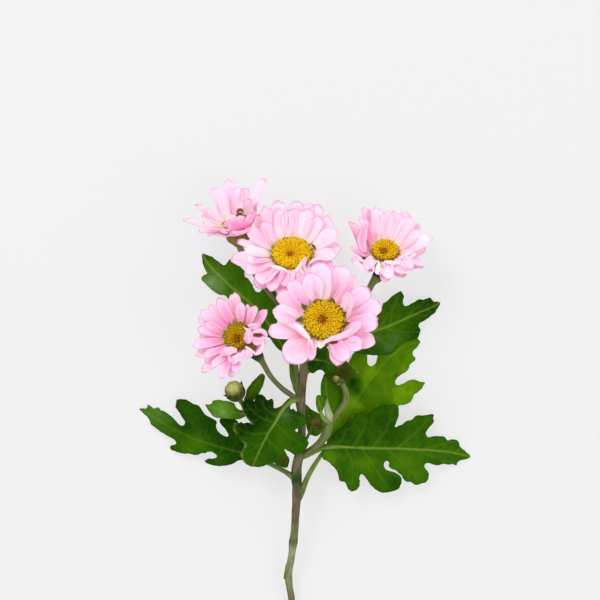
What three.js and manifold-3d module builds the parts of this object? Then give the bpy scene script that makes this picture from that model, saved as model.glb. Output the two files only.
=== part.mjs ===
// A cut spray of daisy-flowered chrysanthemum lying on its back: one woody main stem,
// four flower stalks and two side shoots, five open flower heads (a domed yellow disc,
// an inner and an outer whorl of pink ray petals, a green cup of bracts), lobed leaves
// and three closed buds. Units are millimetres, +Z up, the floor is z = 0.
import * as THREE from 'three';
import { mergeVertices } from 'three/addons/utils/BufferGeometryUtils.js';
import { ConvexGeometry } from 'three/addons/geometries/ConvexGeometry.js';
import Module from 'manifold-3d';

// ---- driving dimensions -------------------------------------------------------------
const GAP = 0.32;            // free space left between two touching pieces, mm
const PETAL_THICK = 0.6;     // petal thickness, mm
const LEAF_THICK = 0.75;     // leaf blade thickness, mm
const STEM_SIDES = 8;        // facets round a stem
const DISC_SIDES = 12;       // facets round a flower disc
const OUTLINE_TOL = 1.1;     // largest step left out of a leaf outline, plan units
const OFFSET = [-2.347, 55.408, 0]; // plan centre to the middle of the bounding box, mm

// Plan data. u runs to the right, v towards the cut end, both in plan units drawn in
// perspective from a point CAM + Z0 above the floor; UNIT is the size of one plan unit in
// mm at height Z0. Heights z are in mm over the floor.
// petal: [base u, base v, tip u, tip v, width, length, whorl, rise, curl, roll, cup, tone, start angle if not the usual]
// (a base v of 999 means that base u is the angle round the disc, in degrees)
//==DATA-BEGIN
const DATA = {
"UNIT": 0.45, "CAM": 900, "Z0": 60,
"heads": {
"front_head": {"c": [323.7, 320.5], "z": 62, "n": [0.0, 0.342, 0.94], "rd": 9.6, "dome": 2.6, "stalk": 1.9, "petals": [
[323.5,298,318.5,261.5,10.4,18.0,1,20,6,-6,0.22,0.15],
[330,298,331.5,264.5,8.6,18.0,0,9,4,0,0.25,0.25],
[316,300,309,272.5,10.0,15.5,1,26,2,-10,0.34,0.1],
[335,299,343.5,265,9.0,18.0,0,12,2,6,0.25,0.3],
[340,301,356,275.5,5.6,16.5,0,12,0,60,0.4,0.7],
[344,306,370,289,8.6,16.5,0,9,0,0,0.25,0.45],
[344,315,353,293.5,9.6,13.5,1,52,-10,4,0.38,0.1],
[347,318,381.5,304,8.6,18.0,0,9,0,0,0.25,0.2],
[347,325,378.5,322.5,9.8,16.5,1,20,0,0,0.25,0.5],
[343,333,362,323.5,6.0,12.5,1,50,14,30,0.6,0.25],
[343,336,375,342,9.2,17.0,0,9,0,0,0.28,0.35],
[333,341,339,365,7.8,15.0,0,9,-10,-18,0.4,0.7],
[334,342,347,361,8.4,13.0,1,22,-8,10,0.42,0.45],
[340,339,361.5,347.5,8.0,14.5,1,16,-4,6,0.36,0.5],
[313,341,310,358,5.4,13.0,1,26,10,-30,0.6,0.5],
[305.5,338,287,362,13.0,17.5,0,9,-4,0,0.24,0.35],
[304,331,268.5,331,7.8,17.5,0,9,0,0,0.22,0.3],
[306,335,288,324,4.6,13.5,1,34,6,20,0.5,-0.8],
[302,320,273,311,9.4,16.0,1,22,-4,0,0.32,0.2],
[303,312,278,292,8.4,17.5,0,9,0,0,0.25,0.3],
[306,306,288.5,280.5,7.8,17.5,1,24,0,8,0.3,0.7],
[311,301,300,274.5,8.2,17.5,0,12,0,0,0.25,0.35]]},
"centre_head": {"c": [291.8, 254.5], "z": 39, "n": [0.0, 0.63, 0.777], "rd": 9.9, "dome": 1.9, "stalk": 1.8, "petals": [
[276,240,265,206.5,8.51,17,0,9,0,6,0.25,0.2],
[270.5,244,257.5,214,8.29,16,0,9,0,6,0.25,0.2],
[274,243,262,221,7.39,15,1,26,0,6,0.28,0.1],
[282,238,278,200,7.62,17.5,0,12,0,6,0.25,0.35],
[281,238,280.5,208,6.94,16,1,24,0,6,0.28,0.1],
[288,237,288,209.5,6.72,15.5,1,24,0,6,0.3,0.1],
[292,237,298,201,7.62,17,0,9,0,6,0.25,0.5],
[295,237,295.5,208,7.17,16.5,1,24,0,6,0.25,0.1],
[300,238,311,202.5,6.27,16.5,0,9,0,6,0.3,0.3],
[301,238,308.5,208,7.17,16,1,26,0,6,0.28,0.1],
[305,239,319,204,7.84,17,0,12,0,6,0.25,0.3],
[306,241,320,216,7.62,15,1,26,0,6,0.28,0.1],
[308,243,330.5,216.5,6.72,15.5,0,9,0,45,0.35,0.6],
[312,248,337,229,8.74,14.5,1,22,0,6,0.25,0.2],
[314,250,341.5,247,7.84,14,0,9,0,6,0.25,0.4],
[314,255,336.5,255.5,8.06,12.5,1,22,0,6,0.3,0.2],
[312,260,333,266,7.62,13,0,9,0,6,0.25,0.5],
[272.5,246,248,229,9.41,15.5,1,22,0,6,0.25,0.4],
[271,249,237,241.5,5.6,16,0,12,0,6,0.35,-0.4],
[270,254,246,250.5,7.17,13.5,1,34,4,6,0.42,-0.5],
[270,258,247.5,259.5,7.17,13,1,30,4,6,0.4,-0.2],
[270,259,230.5,259,11.2,18.6,0,9,0,6,0.3,0.2],
[272,264,245.5,272.5,8.96,14.5,1,24,-6,6,0.4,0.55,56],
[275,267,257.5,287.5,8.96,14.5,0,9,0,6,0.28,0.3],
[276,267,258,283,9.41,14,1,28,-10,6,0.42,0.3,66],
[281,269,271,290.5,8.51,14,1,24,-14,6,0.42,0.6,72],
[287,271,279.5,292,7.84,14.5,0,9,0,6,0.28,0.4],
[301,268.5,305.6,257.5,4.93,9,1,84,14,35,0.7,-0.7],
[288,271,285,286,8.29,12.5,1,28,-10,6,0.44,0.4,76],
[295,270.5,298,283,8.51,11.5,1,30,-12,14,0.46,0.15,78],
[303,268,311,279,7.17,11,1,34,-8,-4,0.46,0.3,70],
[298,270,302,287,7.17,13,0,9,0,6,0.28,0.5],
[307,266,322,282,7.62,13.5,0,9,0,6,0.25,0.4]]},
"right_head": {"c": [385.0, 251.5], "z": 33, "n": [0.05, 0.67, 0.74], "rd": 6.5, "dome": 2.2, "stalk": 1.6, "petals": [
[375,242,364.5,206,6.45,16.5,0,9,0,7,0.34,0.3],
[373,243,360.5,217,6.94,14.5,1,26,0,7,0.41,0.5],
[378,241,376.5,206.5,6.94,15.5,1,24,0,7,0.34,0.2],
[374,241,369.5,210,6.45,15.5,0,12,0,7,0.34,0.2],
[382,240,383,210.5,7.19,14,0,9,0,7,0.34,0.3],
[385,240,388.5,210.5,6.94,14.5,1,24,0,7,0.34,0.15],
[389,240,394,210.5,6.7,14.5,0,9,0,7,0.41,0.3],
[391,241,400,213,6.94,14.8,1,24,0,7,0.34,0.15],
[394,242,407,211.5,7.44,15,0,12,0,7,0.41,0.5],
[395,244,412.5,217,7.19,14.5,1,24,0,7,0.34,0.15],
[397,246,419,222.5,7.19,15,0,9,0,7,0.34,0.3],
[398,248,420,230,6.94,13.5,1,24,0,7,0.41,0.1],
[398,250,418.5,237,6.45,12,0,9,0,7,0.41,0.3],
[399,252,432.5,237.5,7.19,17,1,22,0,7,0.34,0.2],
[399,255,426.5,244.5,6.7,14,0,9,0,45,0.47,0.5],
[399,257,416.5,253.5,6.7,10,1,28,0,7,0.47,0],
[398,259,424.5,265.5,7.19,13.5,0,9,0,7,0.34,0.8],
[397,261,413,267,7.94,10.5,1,30,-6,7,0.61,0,60],
[393,264,405,277,6.7,11,0,9,0,7,0.38,0.5],
[392,263,404,272.5,7.94,9.5,1,30,-6,7,0.62,0.05,66],
[387,264.4,389,278.5,7.94,11,1,30,-8,7,0.62,-0.4,74],
[386,264,386.5,281.5,6.45,12,0,10,0,17,0.49,0.5],
[379.5,263,378.6,273.5,5.7,8.5,1,34,4,7,0.62,-0.8,76],
[375,261,364,271,7.69,11,0,9,0,7,0.49,0.45],
[374,260,366,268.5,7.44,8.6,1,34,-4,7,0.62,-0.3,70],
[372,258,351.5,258.5,6.94,12,0,12,0,-14,0.54,0.55],
[371,255,350.5,247.5,7.94,11.5,1,24,0,7,0.47,0.8],
[371,250,350,220.5,8.43,17,0,9,0,7,0.41,0.4],
[371.5,247,356,228,6.94,13,1,26,0,7,0.51,0.9]]},
"left_head": {"c": [237.5, 336.0], "z": 43, "n": [-0.34, 0.24, 0.909], "rd": 6.7, "dome": 2.4, "stalk": 1.6, "petals": [
[236,320,233.5,292.5,6.6,13.0,0,9,0,0,0.36,0.1],
[231,322,218,297.5,6.2,13.5,1,22,0,0,0.43,0.5],
[232,321,226,299,5.6,12.5,0,9,0,0,0.36,0.2],
[226,325,208.5,305,5.0,12.5,0,9,0,0,0.36,0.3],
[223,328,200,310.5,5.2,13.0,1,24,0,0,0.52,0.3],
[222,331,198,317.5,4.8,12.5,0,9,0,0,0.43,0.5],
[222,332.5,205,322.5,4.6,10.0,1,30,0,0,0.58,0.2],
[222,335,197.5,329,4.6,12.0,1,22,0,0,0.52,0.3],
[222,338,199,336,4.4,11.5,0,9,0,0,0.43,0.6],
[222,341,191.5,345.5,5.4,14.5,1,22,0,0,0.52,0.3],
[222.5,343.5,199,343,4.4,11.5,0,9,0,0,0.43,0.5],
[223,345,195,355,4.8,14.0,0,9,0,0,0.43,0.4],
[224,347,203,356.5,4.6,11.5,1,28,0,0,0.58,0.1],
[226,349,204.5,362,4.8,12.5,0,12,0,0,0.43,0.2],
[228,351,201.5,371.5,5.2,15.5,0,9,0,0,0.41,0.3],
[229.5,352,211,367,4.6,12.5,1,24,0,0,0.58,0.1],
[231,354,220.5,379,5.4,13.5,1,20,0,0,0.49,0.3],
[234,355,230.5,377,4.8,11.5,0,9,0,0,0.43,0.5],
[238,355,236,373.5,4.8,11.0,1,24,0,0,0.49,0.7],
[228,350,221,353,4.8,6.5,1,60,6,0,0.62,0.1],
[233,354,230.5,361,4.6,7.0,1,54,10,0,0.62,0.0],
[239,354,238,363.5,5.0,8.0,0,40,10,0,0.58,-0.5],
[246,350,251,356,5.0,7.5,1,45,10,0,0.58,-0.5],
[240,321,240.5,302,5.2,11.0,1,24,0,0,0.43,0.2],
[243,322,247.5,304,5.2,11.0,0,9,0,0,0.43,0.3],
[247,325,255.5,306,5.2,11.0,1,22,0,0,0.43,0.4],
[250,329,266.5,309,5.6,12.5,0,12,0,0,0.43,0.4],
[251,332,259,323,4.8,7.5,1,40,10,0,0.62,-0.3],
[252,337,243,338.5,6.0,6.5,1,100,20,0,0.62,0.7],
[252,335,264,332.5,4.6,8.5,0,40,16,0,0.58,0.1],
[252,341,264.5,343.5,5.4,9.0,0,46,10,0,0.58,0.2],
[249,347,261.5,351,5.2,9.0,0,35,0,0,0.58,0.4]]},
"rear_head": {"c": [236.4, 222.6], "z": 25, "n": [-0.12, 0.88, 0.45], "cup": [1.5, 1.1], "rd": 5.8, "dome": 1.6, "stalk": 1.6, "petals": [
[105,999,228,179,5.94,17,0,30,0,4,0.25,0.3],
[128,999,215.5,186.5,8.36,16,1,40,0,4,0.25,0.15],
[88,999,238.5,186.5,5.94,14,1,40,0,4,0.3,0.3],
[68,999,245,187.5,4.84,14,0,40,0,20,0.3,0.9],
[42,999,264,177.5,5.94,18,1,45,0,4,0.3,0.25],
[36,999,249.5,199.5,8.14,10.5,1,84,8,4,0.4,-0.2],
[12,999,257,203,5.06,11,0,45,0,4,0.3,0.8],
[160,999,196,203.5,5.5,16,0,12,0,4,0.28,0.3],
[150,999,206,209,5.94,13,1,30,0,4,0.34,-0.3],
[172,999,202,215,6.38,14,1,24,0,4,0.34,-0.1],
[182,999,183,220,6.6,20,0,9,0,4,0.32,0],
[198,999,204,224.5,5.94,15,1,18,0,4,0.36,0.1],
[205,999,199.5,231,5.72,15.5,0,9,0,4,0.28,0.2],
[220,999,209,234.5,5.94,13,0,9,0,4,0.3,0.2],
[236,999,220,229.5,6.16,9,1,40,8,4,0.42,-0.2],
[256,999,230,215,9.24,10.5,1,92,14,4,0.5,0.3],
[284,999,240,214.8,8.8,10.5,1,92,14,4,0.5,0.6],
[318,999,253.5,211,7.26,11,1,74,8,4,0.5,1],
[248,999,224,236,6.6,9.5,0,24,0,4,0.34,0.3],
[268,999,234,235,7.04,9,0,30,4,4,0.4,0.5],
[292,999,246,231,6.82,9,0,40,6,4,0.4,0.7]]}
},
"stems": {
"main_stem": [[290.6,652,1.6,1.6],[290.6,625,2.9,1.6],[291.4,600,4.4,1.6],[289.6,588,5.4,1.62],[288.6,579,6.0,1.75],[288.9,570,6.7,1.7],[290.8,560,7.5,1.62],[292.4,549,8.8,1.75],[293.4,541,9.6,2.1],[294.2,534,10.3,1.9],[295.0,524,11.6,1.8],[295.8,510,13.2,1.85],[296.6,500,14.4,2.0],[297.2,487,16.0,2.4],[296.4,478,17.2,2.5],[296.8,466,19.0,2.35],[299.4,454,20.6,2.1],[301.2,443,21.9,1.95],[301.8,430,23.3,1.85],[301.2,412,25.3,1.85],[300.4,400,26.6,2.3],[301.0,390,27.7,2.2],[302.4,381,28.7,2.0],[303.8,371,30.1,2.1],[304.6,363,31.8,2.1],[307.0,354,34.6,1.8],[311.5,345,39.0,1.45],[318.5,333.5,46.5,1.4],[323.2,328.3,51.0,1.9]],
"centre_head_stalk": [[298.8,397.5,27.0,1.1],[297.0,390,28.2,1.2],[296.4,380,29.6,1.25],[295.8,368,30.8,1.25],[294,355,31.4,1.15],[291.2,342,31.4,1.1],[288.5,320,30.2,1.1],[288.8,296,28.6,1.15],[291.2,279,28.6,1.4],[291.8,271.5,30.2,1.8]],
"right_head_stalk": [[307.4,366,33.3,0.95],[314,357,33.6,1.05],[327,344,33.0,1.05],[343,325,31.0,1.0],[358,306,28.0,1.05],[367.4,292,25.6,1.5],[372.4,283,23.6,1.65],[377.2,277,22.4,2.6],[381,270.4,23.0,2.3],[383,265.6,24.6,1.9]],
"left_head_stalk": [[299.4,400.6,26.6,1.1],[295,397.6,27.6,1.2],[289,393.6,28.2,1.25],[281,387.6,28.8,1.2],[270.8,376.6,30.0,1.15],[262.6,362.6,31.6,1.4],[258.6,356.8,32.0,2.5],[252.5,350,31.6,3.3],[245.5,342.5,32.9,2.2]],
"rear_head_stalk": [[286.2,316,28.2,0.85],[279,306,25.6,0.95],[268,292,22.0,0.95],[255,276,18.2,0.95],[244.6,259,15.6,1.1],[241,250,17.4,1.5],[239.5,244.8,19.9,1.7]],
"right_side_shoot": [[302.4,455.4,20.8,1.35],[308.5,451.2,21.5,1.4],[315.5,446.4,22.2,1.5],[321.5,440.8,22.9,1.8],[326,433.5,23.6,2.1],[329,425.5,24.4,2.0],[332.4,419,25.3,1.6],[337.5,412.6,26.0,1.45],[343,405.6,27.0,1.5],[346,399,28.0,1.5],[345.6,391,29.8,1.35],[342.8,384.4,32.6,1.15]],
"left_side_shoot": [[299.8,446.6,21.6,1.2],[292,446.4,21.2,1.1],[281,444,20.6,1.1],[268,437,19.8,1.1],[254.8,424,19.0,1.05],[246.5,413.5,19.6,1.0],[242.8,404.5,21.2,1.0],[240.2,400.4,22.4,1.1]]
},
"buds": {
"left_bud": {"c": [234.8, 391.2], "z": 26.5, "n": [-0.45, 0.62, 0.64], "r": 4.75, "h": 4.9},
"right_bud": {"c": [337.4, 380.2], "z": 34.8, "n": [-0.72, 0.5, 0.48], "r": 2.2, "h": 3.1},
"brown_bud": {"c": [316.8, 423.4], "z": 27.6, "n": [-0.42, 0.74, 0.52], "r": 2.0, "h": 3.6}
},
"leaves": {
"leaf_a": {"petiole": [[299.2,397,24.9,1.1],[294.4,385,23.8,1.0],[290.4,368,22.6,0.8]],
"outline": [[202.4,253.6],[205.6,254.3],[209.1,255.6],[212.3,256.8],[216.2,260],[219.7,262.5],[222.2,264.4],[224,265.1],[226,264.2],[227.4,262.1],[229.6,259.3],[233,259.6],[237,262],[240.5,266.5],[244.4,271.3],[244.7,275.9],[248.6,279],[251.4,282.9],[253.5,287.5],[255.6,291],[258.8,292.3],[260.6,291],[262.6,288.6],[267,287.4],[272.5,288.4],[276.1,291],[277.2,294.5],[278.6,298.1],[280.7,300.5],[278.6,303.4],[276.6,306],[275,310],[275.6,316],[277.4,320.6],[276.6,324.6],[279.4,331],[284.4,336],[290.4,340],[291.4,345],[291,352],[292.6,362],[294.2,374],[295,384],[295.2,390.6],[293.6,390.4],[291.8,384],[290,377],[289.3,370],[288.9,363.4],[287,358.6],[283,353],[277.4,348.4],[272.6,342.4],[269,337.5],[263.4,336.4],[257,332.6],[251,328.4],[250.6,322],[251.6,316.8],[247,313.8],[240,311],[234,306],[229.4,300.4],[226.4,296.7],[223.2,295.1],[219,294.7],[216.2,293.1],[212.6,290.7],[209.1,287.5],[205.6,284],[202.4,280.8],[201.2,279],[201.9,276.9],[203.8,275.2],[206.3,274],[207,272.8],[205.6,270.6],[203.8,266.7],[202.4,262.1],[202,258.6]],
"z": [[294,388,23.8],[290,368,22.2],[284,350,20],[273,330,16.6],[262,313,13.4],[245,299,10],[226,281,6.4],[213,268,3.4],[202.8,255,0.45],[201.5,279,1.8],[227,296,5.0],[229,260,2.6],[244,272,6.0],[280,300,13.5],[252,325,11.5],[258,290,9.4],[291,345,20.5]],
"mid": [[202.6,254.4],[206.5,261.5],[213,269.5],[222,278],[232,287.5],[244,297.6],[254,306.5],[264,317.5],[273,330.5],[281,344],[287.6,358],[291.6,372],[294.2,387]],
"lat": [[[222,278],[214,279.5],[203.5,278.6]],[[213,269.5],[212,263],[209,257.5]],[[235,290.2],[234.6,276],[230.4,262]],[[244,297.6],[232,295.6],[222,292.6]],[[248,301],[249,290],[246,280]],[[262,315],[270,304],[278.6,300]],[[254,306.5],[246,308],[238,306]]]},
"leaf_b": {"petiole": [[308.8,371,27.0,1.0],[319,361,26.0,0.95],[332,350,24.8,0.85],[350,340.8,21.8,0.7]],
"outline": [[332,350.6],[337,346],[343.4,339.6],[350,331.4],[357.4,325.6],[365,320.6],[371,315.6],[376.1,312.2],[380.5,309.3],[381.9,306.2],[383.6,303],[386.4,301.6],[389.6,298.4],[393.2,295.2],[396.7,293.1],[400.6,291],[402.3,292.8],[404.1,296.3],[403.2,299.8],[403,303.3],[404.1,305.3],[405.8,306],[408,305.5],[410.8,303.7],[415,301.6],[417.8,299.8],[420.3,299],[423.5,299.7],[427,298.3],[430.5,297.6],[431.9,299.5],[433.7,301.4],[436.9,301.6],[440.4,302.5],[439,306.2],[437.2,309.3],[435.5,312.2],[431.9,315],[427.7,318.5],[423.5,321.3],[419.9,323.1],[418.7,324.8],[418.9,326.6],[420.3,329.1],[420.5,331.5],[419.2,334.7],[418.2,337.6],[413,340.2],[405,342.6],[400,346],[396,350],[391.7,353.5],[385,355.2],[377,355.6],[371,355],[364,354.6],[356,352.6],[350,350.4],[344,350.6],[337,352.6],[333,354]],
"z": [[333,351,24.6],[350,341,21.6],[376,330,15.6],[400,321,9.6],[425,311,3.8],[440,303,0.45],[400.6,292,6.0],[384,304,12],[430,298.4,2.2],[420,331,3.6],[405,342,8.0],[388,354,11.4],[360,352,18.5],[350,332,20.6],[405,307,7.0]],
"mid": [[333,351.6],[341,346],[350,341],[363,335.6],[376.5,330.5],[390,325.6],[404,319.4],[418,313],[430,308],[440,302.9]],
"lat": [[[376.5,330.5],[387,317],[399.6,294]],[[390,325.6],[392,313],[398,300]],[[404,319.4],[414,310],[428,300]],[[363,335.6],[370,325],[380,312]],[[384,327.8],[400,331.6],[418,332]],[[368,333.8],[384,342],[394,349]],[[415,314.4],[423,316],[430,313.4]],[[352,340],[362,346],[376,352.6]]]},
"leaf_c": {"petiole": [[298.6,498,14.6,1.6],[301.8,491,15.6,1.5],[305.4,481.5,16.0,1.3],[309.8,472.6,15.6,1.2],[315,464,14.6,1.15],[321,455,13.4,1.05],[332,440,11.4,0.8]],
"outline": [[323.6,452.4],[326.4,446],[327.2,437.6],[330.4,429.6],[333.6,420.6],[336.4,410.6],[338.4,400.6],[340.6,391.6],[342.6,383],[345,373],[348.4,363],[352.6,354.4],[358,349.4],[363.4,350.4],[366.6,354],[367.4,358],[367.3,362],[368.6,364.8],[371,366.2],[374,364.8],[376.4,361.4],[377.4,357],[380,350],[385,344],[392,338.6],[400,335],[408,333.6],[414.6,336],[420.1,341.4],[418.9,344.9],[416.4,347.8],[413.2,351],[412.6,354],[414,356.5],[415.8,358.5],[414,361.5],[411,363.5],[409.5,366],[408.5,369.5],[405,372.5],[400,375.5],[396.5,379],[395.3,382.5],[396.5,384.8],[399,385],[403,383.5],[407,381.2],[410,380],[415,379.6],[419.5,381.5],[424.8,382.5],[423.5,386],[420.5,390],[416,393.5],[413.5,395.8],[412.5,399],[410,402.5],[405,404.7],[400,405.5],[394,408.4],[386,413],[378,418.6],[372,426],[365,432.6],[356,438.6],[347,443.4],[338,447.6],[330,452.4],[325.6,455.4]],
"z": [[324,453.5,12.6],[335,436,10.8],[350,412,8.6],[372,378,5.6],[395,358,3.0],[419.6,342,0.6],[424,383,0.5],[412,399,1.6],[351,374,7.0],[360,350,6.2],[371,366,5.4],[396,383,3.4],[385,413,6.0],[352,440,9.4],[345,395,8.4],[415,358,1.0]],
"mid": [[324,453.6],[334,438],[343,423.4],[352,408.6],[362,393],[373,377.4],[385,363],[398,351.6],[410,345],[419.6,342]],
"lat": [[[343,423.4],[372,404],[392,393.6],[420,384.6]],[[362,393],[380,382],[394,372],[412,360]],[[352,408.6],[355,385],[357.4,356]],[[334,438],[360,424],[384,409.6]],[[373,377.4],[377,364],[389,346]],[[350,412],[376,404.6],[404,400.6]]]},
"leaf_d": {"petiole": [[301.6,457.4,18.6,1.2],[308,454.6,17.8,1.25],[316,450.6,17.9,1.2],[326,447.4,18.2,1.05],[340,446.8,17.6,0.85],[356,447.6,16.6,0.6]],
"outline": [[322,450.6],[321.4,455],[323.8,459.9],[326.9,461],[331.2,464.7],[335.4,468.9],[337.7,473.1],[338.6,477.9],[340.1,481.1],[344.4,482.1],[346.5,485.3],[348.1,489],[351.2,491.4],[355.5,490.6],[359.2,486.9],[359.9,482.1],[359.5,477.4],[360.8,474.7],[362.9,474.7],[366.1,478.4],[369.2,483.2],[373.5,487.9],[378.7,491.4],[384,492.9],[391.4,491.6],[397.8,489.5],[399.7,485.8],[399.6,480.5],[397.3,475.2],[395,473],[393,472.8],[389,471.5],[385.5,469],[384,465.5],[384.7,462],[387.2,461],[389,462.5],[388.6,466],[390.4,468.3],[395.4,470.3],[399,473.4],[401.4,475.2],[402.5,477.4],[404.7,480.5],[407.3,482.1],[410.5,481.9],[415.8,485.1],[421.1,483.7],[426.9,481.6],[429,475.8],[427.9,471.5],[425.3,468.4],[424.5,465.2],[426.3,463.3],[429.5,463.3],[433.7,464.7],[438.5,465.4],[442.7,463.9],[447.5,464.7],[451.7,464.3],[456.5,465.2],[457.5,462.5],[460.2,460.4],[465.5,459.4],[470.6,456.7],[466.5,452],[462.3,448.8],[459.7,445.6],[458.9,441.9],[456.5,440],[451.7,439.3],[447.5,440.3],[444.3,436.6],[440.1,436.1],[435.3,435.8],[430.6,436.8],[427.4,436.6],[425.8,433.5],[427.9,429.2],[431.6,425],[434,421.8],[433.2,418.1],[434,414.4],[429.5,414.2],[423.2,415.5],[417.9,415],[414.7,416.5],[411.5,419.7],[406.8,420.8],[402,424.5],[398.8,425.5],[394.8,427.2],[396.2,422.9],[398.3,417.6],[398.8,412.3],[398.3,406.5],[394.6,404.4],[390.4,404.4],[386.2,404.4],[383,405.4],[378.7,407],[374,409.4],[368,412],[363,412.4],[358,413.4],[354.6,417],[352,421],[347.4,421.4],[344,424],[340.6,428],[336,431],[333,436],[331,441],[326,443.6],[322,443.6]],
"z": [[322,447,18.7],[340,447,17.6],[370,448,15.6],[400,449,12.6],[430,450,8.0],[455,453,3.0],[470,456.5,0.6],[433,415,5.0],[445,437,4.0],[398,406,10.0],[365,413,13.4],[344,425,15.6],[427,480,5.0],[399,487,7.4],[352,490,11],[330,464,15.8],[456,464,2.0],[375,487,9.6]],
"mid": [[320,446],[340,446.7],[360,447.8],[380,448.3],[400,448.6],[420,449.5],[440,451],[455,453],[470,456.6]],
"lat": [[[352,447.4],[362,433],[368,416]],[[372,448.1],[386,430],[394,408]],[[396,448.5],[412,436],[431,416.6]],[[424,449.8],[440,444.6],[455,441.6]],[[336,446.6],[344,436],[347,424]],[[344,446.9],[352,462],[352,487]],[[362,447.9],[374,466],[388,488]],[[386,448.4],[402,462],[418,480]],[[414,449.3],[434,457],[454,463]],[[438,450.8],[450,450.6],[461,449.6]]]},
"leaf_e": {"petiole": [[295.6,480.6,17.0,1.6],[291.4,476.2,17.4,1.4],[286,472.4,17.4,1.2],[279,468.6,17.0,1.1],[269,463.6,16.2,1.05],[255,457.2,15.0,0.85],[238,451.6,13.6,0.6]],
"outline": [[139.2,408.3],[142.3,408.4],[145.9,408.3],[147.6,406.6],[147.3,404.5],[149,404.9],[151.2,406.6],[154,408.3],[156.5,408],[157.7,407.1],[159.3,408],[161,410.2],[164.2,411.1],[167,413],[170.6,415.5],[173.4,418.3],[176.2,421.1],[179,424.3],[181.5,425.5],[183.6,425.2],[184.8,423.2],[184.7,421.1],[182.9,418.6],[180.8,415.5],[179.4,412.6],[177.3,410.2],[175.6,407.7],[175.5,405.6],[176.1,402.8],[176.6,399.9],[178.3,399.2],[184,399.1],[187.8,400.3],[191,402.4],[193.8,404],[197.4,404.9],[199.8,406.6],[201.6,409.5],[203.7,412.6],[206.5,415.5],[209.7,417],[213.4,419],[216.9,421.6],[216.1,425.8],[216.9,429.2],[218.5,431.7],[221.3,434.1],[224.2,435.8],[227,436.6],[228.5,435.2],[227.3,432.6],[225.6,429.8],[223.6,427.2],[220.8,424.4],[219.3,420.8],[221.6,417.4],[227.6,417],[233.6,418.6],[238,422],[240.6,427.6],[243.4,434],[246.4,440.4],[248.4,447],[251.4,452.6],[256,456.4],[256.4,459],[251,459.6],[244,459.8],[237.5,460.9],[234.7,463],[229.8,464.8],[224.2,465.9],[218.5,466.1],[212.2,465.2],[207.2,463.4],[204.4,461.3],[205.5,459.9],[207.9,458.6],[211.5,458.5],[215,458.1],[216.7,456.7],[216.4,454.9],[213.2,452.8],[210.8,451.6],[207.9,452.1],[205.1,453.2],[200.2,453.7],[197.4,455.1],[193.8,454.9],[189.6,453.9],[184,453.7],[178.3,452.5],[174.1,451.1],[170.6,449.3],[170,447.2],[171.3,445.2],[174.8,444.7],[176.2,443],[175.5,441.2],[172.7,438.7],[168.4,436.6],[164.2,433.8],[160.7,432],[157.9,429.6],[153.6,426.7],[150.8,423.9],[149.8,421.1],[148.7,418.6],[145.9,415.8],[142.7,412.6],[140.2,410.2]],
"z": [[255,457.4,15.0],[240,452,13.8],[220,447,11.6],[200,442,9.0],[185,435,6.8],[165,424,3.6],[150,414,1.6],[140,408.8,0.45],[178,400,3.4],[190,402.4,4.8],[206,415,8.0],[171,447.4,2.6],[197,454,5.6],[205,461,5.6],[218,465.8,8.0],[232,463,11],[225,435,11.2],[236,423,11.8]],
"mid": [[256,457.8],[240,452.4],[220,447],[203,441.8],[187,435.4],[170,427],[155,417.4],[140,408.9]],
"lat": [[[232,450.2],[236,438],[232,422]],[[214,445.2],[203,430],[194,408]],[[203,441.8],[191,422],[181,402]],[[180,432],[170,421],[158,410]],[[222,447.6],[216,457],[208,461.6]],[[200,440.8],[188,445],[174,447.6]],[[176,430],[166,430],[156,424]]]},
"leaf_f": {"petiole": [[299,399.4,27.6,1.2],[295.2,400.4,29.4,1.15],[291,402.2,30.5,1.05],[286.1,405.9,30.9,0.95],[281.1,412.5,30.6,0.9],[275.4,422.6,29.4,0.8],[268.9,431.9,27.6,0.6]],
"outline": [[291.4,397.8],[289,398.2],[285.4,401.4],[282.6,404.3],[279,407.1],[275.4,408.1],[273.6,407.1],[273.9,403.9],[272.9,399.9],[271.1,398.5],[268.9,399.9],[266.8,399.9],[265.7,397.8],[263.5,395.3],[259.9,394],[256.7,395.6],[255.3,398.5],[254.2,401],[252.8,400.3],[250.3,399.2],[246.7,399.6],[243.4,401.4],[242.5,404.3],[243.4,408.9],[244.5,412.5],[246.7,415.7],[250.3,419.3],[253.5,422.2],[255.3,424],[252.8,424.6],[250.3,422.9],[247.4,422.2],[244.5,423.3],[242.4,422.6],[240.9,421.5],[239.1,423.3],[237.3,422.9],[235.2,422.6],[233.7,423.6],[233.2,426.9],[233.7,430.5],[235.9,434],[238.8,438.7],[242,441.9],[244.7,444.5],[243.4,447],[241.3,451.3],[240.6,454.9],[241.6,458.5],[243.8,462],[247.4,464.9],[251.7,466.5],[257.4,467.1],[262.5,466.5],[266.8,464.9],[269.3,463.1],[273.9,463.1],[277.5,465.3],[281.8,467.1],[284.7,467.8],[287.6,467.4],[288.7,464.2],[289.4,461.3],[289.4,458.5],[287.2,454.9],[285.4,452],[284.7,449.1],[286.1,449.8],[289,451.6],[292.6,453.8],[295.5,454.9],[300.5,454.5],[304.1,452.7],[306.2,449.1],[307.7,445.5],[309.1,443.4],[307.7,440.5],[305.2,437.3],[302.7,434.4],[299.1,432.6],[296.2,431.5],[295.1,430.5],[296.6,429],[300.5,427.6],[303.4,426.1],[306.2,423.3],[308,420.8],[306.2,419.3],[304.4,417.5],[304.1,415.4],[301.9,413.2],[299.8,411.8],[296.2,411.1],[294.4,409.3],[292.6,408.6],[291,409.4],[290.2,406.4],[292.4,402.4]],
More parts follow.
